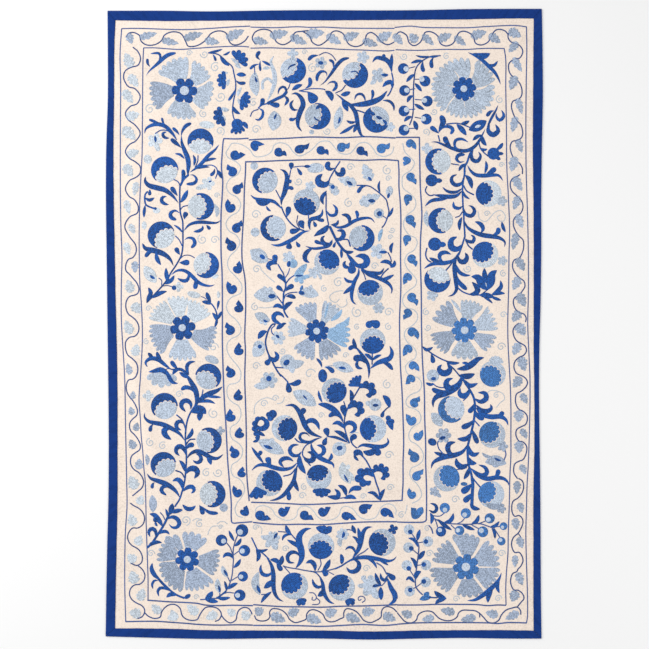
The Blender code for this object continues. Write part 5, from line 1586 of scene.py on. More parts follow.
# %% Right column, upper
sew(
    "right_upper",
    dark=(
        leaf(1.3, 51.4, 62.4, 50.4, 60.4, 49.2, 58.2, 47.9, 56.6, 45.6, 55.3, 43.1, 55.3, 40.5, 56.1, 37.9,
            57.2, 35.7, 58, 33.8, 58),
        stem(.45, 36.3, 60.1, 36.8, 58.2), comma(1.8, 40.5, 56.6, 38.9, 58.2, 38.3, 59.8),
        leaf(1.1, 46, 57.9, 43.7, 59, 41.8, 58.5, 41.6, 56.6, 43.1, 55.5),
        leaf(1.3, 47.2, 58.5, 48.8, 59.8, 50.1, 60.3), leaf(1.5, 51.7, 56.8, 50.6, 58.2, 50.3, 60.1),
        stem(.45, 49.2, 57.9, 49.8, 55.9, 50.8, 54.7, 52.2, 53.5),
        leaf(1.0, 49.6, 56.1, 50.8, 55.5, 52, 55.8), disc(53.9, 54.3, 2.0),
        horn(1.3, 54.4, 55.4, 55.8, 56.2, 56.9, 57.7), horn(1.2, 54.5, 54.3, 57.1, 54.3),
        horn(1.2, 54.4, 53.3, 56.1, 52.4), comma(1.3, 45, 52, 43.1, 51.6, 42.1, 52.7, 42.9, 53.9, 44.8, 54),
        leaf(1.4, 49, 55, 49.8, 53.7, 48.8, 51.9, 47.2, 52.4, 46.9, 54.3, 47.6, 55.8),
        leaf(1.2, 42.8, 48.7, 43.7, 50.2, 45.3, 51.1), stem(.4, 40.5, 51.1, 42.9, 50.7),
        stem(.7, 47.6, 56.3, 46.3, 54, 45.6, 51.8, 44.8, 50.2, 44.7, 47.9),
        leaf(1.4, 45.5, 50.8, 46.6, 48.9, 48.2, 47.6, 50.8, 47.3, 53.7, 47.5, 55.6, 47.3, 57, 45.5),
        leaf(1.1, 51.1, 47.9, 51.7, 50.2, 51.4, 52.1), comma(1.8, 51.4, 47.8, 53.3, 48.7, 54.6, 49.7),
        disc(34.2, 45.8, 2.0), horn(1.6, 35, 45.8, 37.6, 45.7),
        stem(.45, 32.7, 43.9, 32.2, 42.5, 33.5, 41, 35.1, 41.2),
        leaf(1.4, 42.4, 47.7, 40.8, 47, 40.5, 45.7, 41.8, 44.3, 43.9, 45, 44.2, 46.7),
        leaf(1.7, 44.8, 47.6, 46.3, 46, 47.1, 43.1),
        stem(.6, 44.7, 47.9, 44.2, 45, 44, 42.5, 44.1, 39.9, 44.2, 37.4, 44.4, 35.1, 44.5, 32.6, 44.7, 29.7,
            44.8, 27.7),
        leaf(1.1, 44, 43.4, 42.4, 42.2, 40.5, 42, 38.9, 42.5, 37.6, 43.8),
        leaf(1.5, 43.9, 42.5, 42.1, 40.9, 39.2, 40.6, 37, 40.9, 34.7, 41.2),
        leaf(1.3, 40.5, 40.6, 37.9, 39.9, 34.1, 39.3, 32, 37.5),
        stem(.5, 44.4, 44.1, 45.3, 42.5, 47.6, 41.2), leaf(.9, 44.2, 42.5, 44.8, 40.9, 46.4, 39.8),
        leaf(1.2, 41.2, 39.1, 41.3, 37.4, 43.1, 36.9, 44, 37.7),
        leaf(1.4, 44.2, 37.4, 45, 35.1, 46.9, 34.5, 47.9, 36.1, 46.9, 37.5, 45.8, 37.8),
        stem(.4, 44, 35.8, 43.1, 34.5, 41.8, 34), leaf(1.3, 43.9, 34.2, 43.1, 32.2, 43.1, 29.8),
        leaf(1.6, 44.5, 33.2, 45.6, 30.9, 47.9, 29.3, 50.4, 28.4, 53.7, 27.9, 55.9, 27.4, 57.5, 26.1, 57.3,
            24.4),
        leaf(1.5, 47.9, 32.7, 49.8, 31.9, 50.6, 30.3, 49.8, 29),
        comma(1.6, 53.3, 28.2, 55.3, 29.3, 55.4, 30.8), leaf(1.2, 56.5, 32.7, 56.9, 30.9, 57.7, 29.2),
        leaf(1.3, 46.6, 28.5, 47.7, 27.7, 47.4, 26.3, 45.6, 26.5, 44.8, 27.4),
        stem(.5, 45, 26.8, 46, 24.9, 47.2, 23.9), disc(35.2, 25.5, 2.2), horn(1.8, 36, 25.5, 38.8, 25.3),
        leaf(2.2, 42.4, 27.9, 40.5, 26.8, 40.5, 24.5, 42.4, 23.9, 44, 25.5),
        stem(.6, 44.7, 27.7, 43.7, 24.5, 42.8, 22), stem(.5, 32.7, 24.2, 32.3, 22, 33, 20.4, 34, 19.8),
        leaf(1.5, 40.5, 22.2, 38.5, 22.9, 36.8, 22.2, 36.9, 20.7, 38, 19.9),
        leaf(1.5, 42.4, 22, 40.8, 20.2, 38.5, 19.5, 35.5, 19.4, 33.3, 18.7, 31.7, 17.6),
        leaf(1.4, 33.4, 21.2, 35, 20.4, 37.3, 19.7), stem(.5, 41.1, 20.2, 40, 18.6, 38.8, 17.2),
        leaf(1.8, 44.8, 22.9, 45.5, 21.4, 44.5, 19.8, 43, 20.3, 42.6, 22),
        leaf(1.5, 43, 23.2, 41.9, 21, 41.4, 18.5, 41.7, 15.5, 42, 13, 42.1, 11, 41, 9.4, 39.2, 8.8),
        leaf(1.3, 41.7, 19.4, 43, 16.6, 45, 15.6, 46.7, 15.6), comma(1.6, 41.9, 16.4, 42.9, 13.5, 45.4, 11),
        stem(.5, 42.3, 11.8, 44, 10.4, 46.3, 9.5, 49.5, 9.3),
        leaf(1.9, 47, 13.5, 48.4, 12, 48.9, 10.6, 47.5, 9.6, 46, 9.6),
        leaf(1.8, 51, 17.9, 51.1, 15.5, 51.7, 12.8),
        leaf(2.6, 46.8, 15.2, 49, 14.8, 50.3, 12.5, 51.9, 10.8),
        leaf(2.8, 55, 17.2, 53.4, 15.8, 53, 13.3, 51.8, 10.8), stem(.4, 52, 11, 51, 10.2, 49.9, 9.4),
        leaf(1.9, 49.3, 9.3, 51.5, 9.2, 54.2, 8.6), leaf(1.5, 56.1, 14, 56.3, 12, 54.8, 10.3, 53.2, 9.4),
        leaf(1.3, 57.6, 9.8, 55.5, 9.9, 53.5, 9.3), leaf(1.1, 56.4, 7.6, 54.8, 8.1, 53, 8.8),
        leaf(.9, 53.7, 6.6, 52.3, 7.8, 50.4, 8.9),
    ),
    pale=(
        disc(32.7, 56, 1.9, 4), oval(1.1, 52.7, 54.3, 54.1, 54.3), oval(1.0, 33.8, 44.8, 34.9, 44.6),
        oval(1.0, 34, 25, 35, 25), disc(56.6, 39.2, 1.8, 5), leaf(1.8, 32.6, 36.2, 32.4, 33.5, 33, 31),
        leaf(1.0, 51.5, 13.8, 51.5, 12.5, 51.8, 11.3), disc(56.7, 20.2, 1.7, 5), disc(34.4, 9.2, 2.0, 5),
    ),
    curl=(
        stem(.35, 49, 35.8, 49.5, 33.5, 51.4, 32.7, 53, 34.2, 54.6, 35.8, 56.2, 36.2, 57.6, 34.5, 57.2,
            32.9, 55.6, 33, 55.1, 34.2, 56.1, 34.8),
        curl(51.8, 35.2, 1.0, 0), curl(56.4, 50.7, .9, 0), curl(45.7, 17.7, 1.3, 180),
        curl(57, 16.1, 1.1, 90),
    ),
)

# %% [markdown]
# ## The three rosettes across the middle
#
# A rosette marks the middle of each column. The dark heart is a ring of round lobes about a pale eye. The
# petals swing out from it one by one, each with its own span and reach, so no two are alike.

# %% Left rosette and the vine below it
sew(
    "left_lower",
    dark=(
        disc(-45.1, -1.2, 4.3, 6, 10), horn(1.5, -36, 6.7, -36.9, 8.5, -37.5, 10.2),
        leaf(1.4, -39, 7.2, -37.5, 7, -35.8, 6.4), stem(.3, -39.2, 8.8, -38.3, 8.5, -37.6, 7.9),
        stem(.5, -36, 6.6, -35.2, 5.6, -34.5, 4.3, -34.1, 2.5, -34.5, .5),
        comma(.9, -34, 4.4, -33.8, 6, -33.5, 7.5), leaf(1.2, -35.7, 3.7, -34.8, 2.7, -34.1, .9),
        leaf(1.1, -32.6, 4.2, -33.2, 3, -34.1, 1.4), leaf(1.0, -34.1, 2.2, -34.3, .5, -34.9, -1.1),
        leaf(1.5, -56.2, -13.8, -56.9, -12.2, -55.2, -10.9, -52.8, -11.3, -51, -12.7, -48.6, -14.6),
        horn(1.3, -54.4, -11.5, -55.2, -10.1, -56.1, -9.1),
        horn(1.4, -51.5, -12.2, -52.8, -10.3, -53.3, -8.7), stem(.35, -51, -14.8, -50, -14.2, -48.8, -14.2),
        comma(1.5, -46.3, -14.6, -47.7, -13.2, -48.8, -11.7),
        leaf(1.1, -49.2, -14.3, -47.5, -14.5, -46, -14.3, -44.5, -15, -43.3, -16.3),
        leaf(1.2, -48.3, -16.1, -47.6, -15, -46.2, -14.3),
        leaf(1.3, -40.9, -11.9, -42.6, -12.1, -43.6, -13, -43.7, -14.5, -43, -16.4),
        leaf(1.5, -46.2, -15.3, -44.7, -16.2, -43.2, -17.2),
        leaf(1.8, -56, -15.2, -54, -14.9, -52, -14.5, -50, -15.7, -48.8, -17.2),
        horn(1.6, -46.4, -18.9, -48.2, -18.5, -49.5, -16.6, -50.3, -15),
        leaf(1.8, -44.8, -15.4, -43.6, -16.6, -42.3, -18.6, -41, -21, -40.5, -23.5, -40.7, -25.3, -42,
            -27.2),
        stem(.6, -41.5, -26.4, -42.7, -28.4, -43.5, -30.4, -44, -32.9, -44.2, -35.5, -44.2, -37, -44, -39.5,
            -43.9, -41.5, -43.9, -44, -44.1, -46.5, -44.3, -49, -44.7, -51.3, -45.3, -53.4, -46, -55.6,
            -47.5, -58),
        comma(1.5, -41, -22.4, -42.3, -20.6, -44.2, -20.1, -45.6, -20.9),
        stem(.4, -38.6, -20.9, -38.9, -22.5, -40.3, -24.7),
        leaf(1.8, -40.8, -25.4, -38.8, -23.4, -36.5, -22.1, -34.2, -21.2, -32.3, -19.8),
        leaf(1.0, -32.7, -23.3, -35, -23.1, -37.5, -23.1),
        leaf(1.2, -34.6, -25.3, -36.5, -24.5, -38.6, -24.5, -40.3, -25.1),
        leaf(1.7, -44, -28, -45.5, -26.2, -45.2, -24.8, -43.8, -24.3, -42.5, -25.3, -42.5, -27.2),
        leaf(3, -42.6, -28, -40.5, -27.2, -38.8, -27.4, -37.6, -28.6),
        leaf(2.0, -38.6, -27.6, -39.5, -28.8, -39.8, -30.8),
        stem(.5, -47, -28.9, -45.3, -30.4, -44.1, -33.4),
        leaf(1.5, -45.4, -33.8, -46.9, -33, -47, -31.5, -45.8, -30.9, -44.4, -31.9),
        leaf(1.6, -44.3, -37.2, -46, -34.9, -48.8, -33.1, -51.5, -31.9, -54, -31.4, -56, -30.8, -57.2,
            -29.3, -57, -28),
        comma(1.3, -54.3, -31.7, -55.1, -32.6, -55.4, -34.2),
        leaf(2.0, -48.6, -36.8, -50.5, -35.4, -51, -33.9, -49.8, -33, -48, -33.3),
        leaf(1.4, -42, -33, -42.2, -34.6, -44, -36.8), stem(.5, -41.1, -36.6, -42.8, -36.8, -44, -38.3),
        comma(1.7, -44, -40, -43, -38.6, -41.4, -38.4),
        leaf(1.7, -46, -42, -47.2, -40.6, -46.8, -39.2, -45.6, -38.9, -44.4, -40.2, -43.9, -42),
        leaf(1.6, -43.9, -43, -42.5, -41.2, -40.5, -40.4, -38.3, -41.2, -36, -42.5, -34, -42.7, -32, -41.3),
        leaf(1.6, -37.4, -41.7, -36.6, -43, -36, -44.8),
        leaf(1.4, -41.9, -43.3, -40.5, -44.1, -39.2, -43.3, -39.6, -41.8, -41, -41.2),
        leaf(1.4, -46.2, -43.3, -45, -44.6, -44.3, -47),
        leaf(2.1, -44.1, -47.8, -43, -46.2, -41.2, -46, -40.3, -47.3, -41.4, -49.2),
        stem(.5, -47.3, -46.6, -45.5, -47.3, -44.4, -49),
        leaf(1.7, -48.4, -50, -46.7, -49.4, -45.4, -50.6, -45, -52.9),
        leaf(1.5, -45.1, -53.3, -43.4, -51.9, -41.9, -51.8, -41.4, -53, -42.5, -53.9),
        leaf(1.7, -45.9, -55.3, -47.4, -53, -50, -51, -53, -49.8, -55.3, -49, -56.5, -47.4),
        comma(1.2, -53.9, -50.2, -54.6, -51, -54.8, -52.3),
        leaf(1.4, -50.1, -54.5, -51.8, -53, -51.3, -51.7, -49.4, -51.8),
    ),
    mist=(
        fan(-45.1, -1.2, 144, 40, 3.6, 10.8, 11.6, 6, 0, .12),
        fan(-45.1, -1.2, 101, 38, 3.6, 9.8, 11.2, 5, -3, .12),
        fan(-45.1, -1.2, 47, 50, 3.6, 10.4, 9.6, 6, 4, .12), disc(-56, -22.8, 1.9, 4),
    ),
    pale=(
        fan(-45.1, -1.2, 268, 52, 3.6, 10.6, 10.6, 6, 2, .12),
        oval(2.6, -38, -10.6, -36, -11.1, -33.6, -12.2),
        fan(-51.7, -14.6, 268, 140, .4, 5.6, 5.8, 5, 0, .2),
    ),
    stone=(
        fan(-45.1, -1.2, 197, 56, 3.6, 10.8, 11.2, 7, 6, .12),
        fan(-45.1, -1.2, 331, 44, 3.6, 11.2, 11.2, 6, 9, .12), disc(-33, -33.9, 1.5, 4),
        leaf(1.6, -56.6, -41.3, -56.2, -43.2, -56.4, -45), leaf(2.8, -54.8, -54.3, -54.5, -57, -54.6, -60),
    ),
    eye=(disc(-45.2, -1.1, 1.3),),
    curl=(
        curl(-35.2, -7.3, 1.5, 0), curl(-56.6, -5.5, 1.0, 90), curl(-46.2, -22.3, 1.2, 0),
        curl(-35.2, -28.4, 1.7, 120), curl(-55.3, -37.6, 1.4, 100), curl(-51.4, -38.7, 1.3, 60),
        curl(-37.5, -47.3, 1.4, 60), curl(-33.8, -47.2, 1.5, 180),
    ),
)

# %% Middle rosette, its budding branch and the vines around it
sew(
    "centre_middle",
    dark=(
        disc(-2.3, -2.2, 4.0, 8, 8), oval(1.5, -20.5, 22.1, -19.6, 21.4, -18.9, 20.8),
        comma(1.9, -15.2, 18.8, -15.6, 20.3, -15.7, 22.2),
        leaf(1.7, -14.8, 19.2, -16.8, 19.6, -17.9, 18.6, -16.9, 17),
        stem(.3, -18, 20.9, -17, 20.6, -16, 20.2),
        stem(.45, -14.7, 19, -13.9, 17.6, -13, 16.1, -12.6, 14.5),
        stem(.35, -11, 17.8, -11.5, 16.2, -12.3, 15, -12.6, 14.5), oval(1.4, -11.1, 20.2, -11.4, 18.2),
        comma(1.6, -12.3, 12.8, -13.2, 14.5, -14.9, 15.8),
        stem(.6, -12.6, 14.5, -12.3, 13, -12.3, 11.6, -12.9, 10, -13, 8, -13.1, 6.8, -13, 5.5, -12.7, 4,
            -12.2, 3, -11.6, 2.2),
        stem(.45, -12.2, 12.9, -11.3, 14.2, -10.4, 15, -9.6, 15.5),
        leaf(.9, -9.4, 15.6, -8, 15.4, -6.6, 15.6), comma(1.5, -12.9, 10.2, -14, 11.3, -15.2, 12.1),
        comma(1.7, -12.4, 10.3, -11.3, 11.6, -9.7, 12.4),
        stem(.4, -12.7, 8.9, -11.5, 9.8, -10, 10.1, -8.6, 10.2), oval(1.5, -8.2, 10.2, -7.2, 10, -6.2, 9.7),
        horn(1.5, -12.3, 8.8, -10.8, 9, -9, 8.3), oval(1.7, -17.9, 9, -16.7, 8.9, -15.4, 9),
        stem(.4, -15.1, 9, -14.2, 7.8, -13.4, 6.7), leaf(1.4, -16.4, 5.3, -14.8, 6, -13, 4.9),
        leaf(1.6, -12.7, 4.3, -11.9, 6, -10, 7.1), stem(.45, -12.3, 9.4, -12.8, 8.2, -13.2, 7),
        leaf(1.6, -12.7, 1.9, -13.4, 3, -15, 3.5, -16.1, 2.6, -15.9, 1.3, -14.6, .4, -13.2, -.2),
        leaf(.9, -12, .3, -13, .1, -14, -.3), leaf(1.6, -12.6, .1, -13.8, -.5, -15.3, -1.6),
        leaf(1.0, -19.5, 1.6, -18.6, .9, -17.8, 1.1),
        stem(.6, -15.6, 0, -16.4, 0, -17.6, -1.6, -18.3, -3.6, -18.7, -5.7, -18.4, -7.6, -17.8, -9.4, -16.8,
            -11.4, -16, -13, -15, -14.8, -13.8, -16.5),
        stem(.4, -15.7, -.4, -16.8, -1.5, -16.6, -2.8, -16, -3.4),
        leaf(1.9, -18.2, -2.2, -19.7, -2.8, -21.1, -4.7), oval(1.1, -15.4, -3.4, -14.2, -4.4),
        disc(-20.5, -7.1, .8), leaf(1.7, -15.9, -8.6, -14.9, -10, -15.6, -11.4, -17.2, -10.8, -17.8, -9.6),
        comma(1.9, -17.3, -10.4, -17.7, -11.8, -18.8, -12.8),
        oval(1.9, -12.9, -12.9, -12, -12.2, -11.2, -11.4),
        stem(.45, -15.6, -13.7, -14.5, -13.8, -13, -13.9),
        leaf(1.7, -4.6, 19.6, -5.9, 20.3, -6.2, 21.7, -5.3, 23.2, -3.6, 24.2),
        horn(1.0, 5.3, 24.5, 5.5, 22.5, 5.5, 21), horn(1.2, 5.8, 24.2, 7.3, 22.9, 9.4, 23.1),
        leaf(1.5, 6.9, 22.8, 8.4, 20.9, 9.6, 19.4, 11, 18.4, 12.7, 17.6),
        leaf(2.3, 9.8, 21.5, 11.5, 21.8, 13.2, 21.2, 13.6, 19.7, 12.6, 18.6, 10.9, 18.7, 9.6, 19.2),
        leaf(1.3, 6.9, 20.2, 6.3, 19.3, 6.7, 18.3, 8.4, 18.1), disc(8.8, 17.4, 1.4), disc(8.9, 19, 1.1),
        leaf(1.4, 11.6, 18, 13.5, 16.6, 16, 16.2, 18, 16.4, 19.1, 18),
        leaf(1.4, 11.5, 17.8, 14, 15.8, 16.8, 14.9, 19, 13.9, 20.8, 12.6, 21.6, 11, 21.2, 9.5),
        leaf(1.3, 17.3, 14.2, 19.5, 14.4, 22.3, 15.8), stem(.5, 20.4, 17.7, 19, 16.4, 17.9, 14.8),
        leaf(1.4, 17.7, 19.6, 19.5, 20, 21, 19.4, 21.4, 18), leaf(1.3, 22.4, 20.4, 22.3, 19, 21, 18),
        stem(.4, 20.3, 22.8, 21, 21.5, 21.4, 20), leaf(1.2, 17.2, 22.9, 18.5, 23, 20.2, 22.9),
        stem(.4, 11.8, 17.3, 12.7, 15.8, 13.2, 14.2),
        leaf(1.4, 11, 18.3, 10.9, 16, 9.7, 13.8, 9, 11.5, 8.7, 9.2, 9.1, 7.2, 10.4, 6.1),
        leaf(1.1, 6.2, 15, 7.5, 13.7, 9.8, 13.6), leaf(1.4, 9.7, 12.9, 8.3, 11.4, 6, 9.6),
        disc(14.3, -.1, 1.2), disc(16.5, 0, 1.4), oval(1.9, 13.2, -.4, 15.4, .4, 17.6, .3),
        leaf(1.3, 9.3, -4.4, 9.5, -6, 10.4, -7.8), comma(1.5, 10.8, -8.2, 9.3, -7.2, 7.7, -8),
        leaf(1.2, 9.5, -6.6, 11.4, -8.9, 13, -11, 14, -13, 14.3, -15, 14.1, -17.5),
        comma(2.3, 13.4, -12.7, 11.7, -10.9, 9.2, -10.9),
        leaf(1.2, 11, -11.3, 10.3, -12.6, 10.7, -13.8, 12.3, -14.1),
        leaf(1.3, 12.8, -9.4, 14.2, -10.2, 15.2, -11.5), leaf(1.1, 18.3, -9.7, 16.6, -10.4, 15.2, -11.6),
        stem(.45, 15.3, -9.3, 15.3, -11, 15.2, -12.8),
        leaf(1.8, 14.6, -14.2, 17, -12.3, 19, -11.6, 20.9, -10.8, 21.6, -9, 20.8, -6.8),
        horn(1.5, 18.2, -12, 20.3, -12.8, 21.9, -14.6), horn(1.0, -.7, -13.9, -1.2, -12.3, -2.5, -10.8),
        comma(1.6, 0, -13.6, 1.6, -14, 3.1, -15.4), leaf(1.2, 4.4, -13.8, 5.7, -13.9, 7.1, -14.2),
    ),
    mid=(leaf(1.0, -7.7, 10.6, -7.2, 11.5, -6.9, 12.5),),
    sky=(
        leaf(2.4, -9.7, 15.4, -7.3, 17.2, -5.5, 19.3), disc(-7.7, 14.9, 2.2, 5),
        oval(1.3, -6.2, 15.4, -4.6, 15), disc(-9.9, 19.3, 1.5),
        fan(-2.3, -2.2, 349, 46, 3.4, 11, 10.6, 5, 4, .16), leaf(1.8, 3.4, -.6, 6.6, .2, 8.1, 2.4),
        leaf(1.2, 0, 1.4, .7, 4.2, 1.4, 7), leaf(1.6, 2, 1, 4.6, 3, 5.7, 4.8),
    ),
    pale=(
        leaf(4.6, -23.6, 23.6, -20.8, 21.8, -17.8, 20), disc(-11.4, 21.3, 2.1, 5),
        leaf(3.6, -8, 9.5, -5.6, 10.2, -1.7, 9.2), leaf(1.8, -6, 10, -4.6, 11.2, -4, 12.6),
        leaf(4.8, -22.5, 9.2, -18.6, 9.3, -14.8, 8.4), leaf(2, -19.8, 10, -19, 11, -18.9, 12.2),
        leaf(1.8, -17.6, 10, -17.2, 11, -17.4, 12), leaf(3.2, -22.2, 3.4, -20, 2.3, -17.4, .7),
        disc(-19.1, 1.4, 1.9, 5), disc(-14.6, -4.4, 2.4, 6), disc(-20.8, -7, 1.9),
        leaf(4.2, -19.4, -5.8, -21, -8.3, -22.6, -10.3), disc(-11.7, -12, 2.5),
        leaf(3.0, -12.4, -12.4, -9.5, -12.8, -6.3, -12), leaf(2.2, -11.4, -12.5, -10.4, -14, -10, -15.7),
        fan(-2.3, -2.2, 56, 32, 3.4, 10.4, 10.2, 4, 4), fan(-2.3, -2.2, 172, 38, 3.4, 9.6, 9.4, 5, 0),
        disc(-3.4, 16.4, 2.0, 5), leaf(1.2, -2.4, 16.2, -1.4, 15.5, -1, 14), disc(17.3, 5.2, 2.0, 6),
        leaf(3.4, 2.6, -12.5, 5.5, -13.4, 9.4, -14.9), leaf(2.2, 4.6, -12, 5.8, -13.4, 6.4, -15.4),
    ),
    stone=(
        fan(-2.3, -2.2, 113, 42, 3.4, 9.2, 10.6, 5, 0), fan(-2.3, -2.2, 300, 46, 3.4, 9.6, 10.2, 5, 0, .16),
        fan(-2.3, -2.2, 239, 48, 3.4, 9.4, 9.6, 5, 0, .12), stem(.35, .3, -13.5, 2, -13.2, 4, -13.4),
        leaf(.9, -.6, 1.6, -.4, 4, .1, 7.6),
    ),
    eye=(disc(-2.4, -2.2, 1.2),),
    curl=(
        curl(-21.5, 17.5, 1.4, 0), curl(-22, 5.5, 1.3, 90), stem(.35, -20.8, 5.3, -18.5, 5.2, -16.4, 5.5),
        curl(-13.3, -8.5, 1.1, 200), curl(-21.7, -13.3, 1.3, 0),
        stem(.35, -20.2, 17.4, -18, 15.2, -15.8, 13.4), curl(4.5, 13.3, 1.6, 60), curl(0, 11.3, 1.1, 90),
        stem(.35, 6, 10.7, 3.5, 10.3, 1.8, 9, 2.1, 7.6, 3.8, 7, 4.8, 8),
        stem(.35, 7, 8, 7.2, 6.3, 5.5, 5.4, 4, 6.3), curl(16, 18.5, 1.2, 0), curl(10.5, 3.8, 1.8, 120),
        curl(20.5, 3.8, 1.5, 0), curl(10.4, -.9, 1.0, 60), curl(20.5, -.8, 1.2, 90),
        curl(6.8, -9.9, 1.0, 0), curl(-4.6, -15.9, 1.9, 20, .9),
    ),
)

# %% [markdown]
# ## The lower half of the field and the right column
#
# Below the middle the vines carry fruit again, with fan-shaped leaves between. In the right column the
# dark parts of the fruit are a brighter blue, as if that length was worked from another skein.

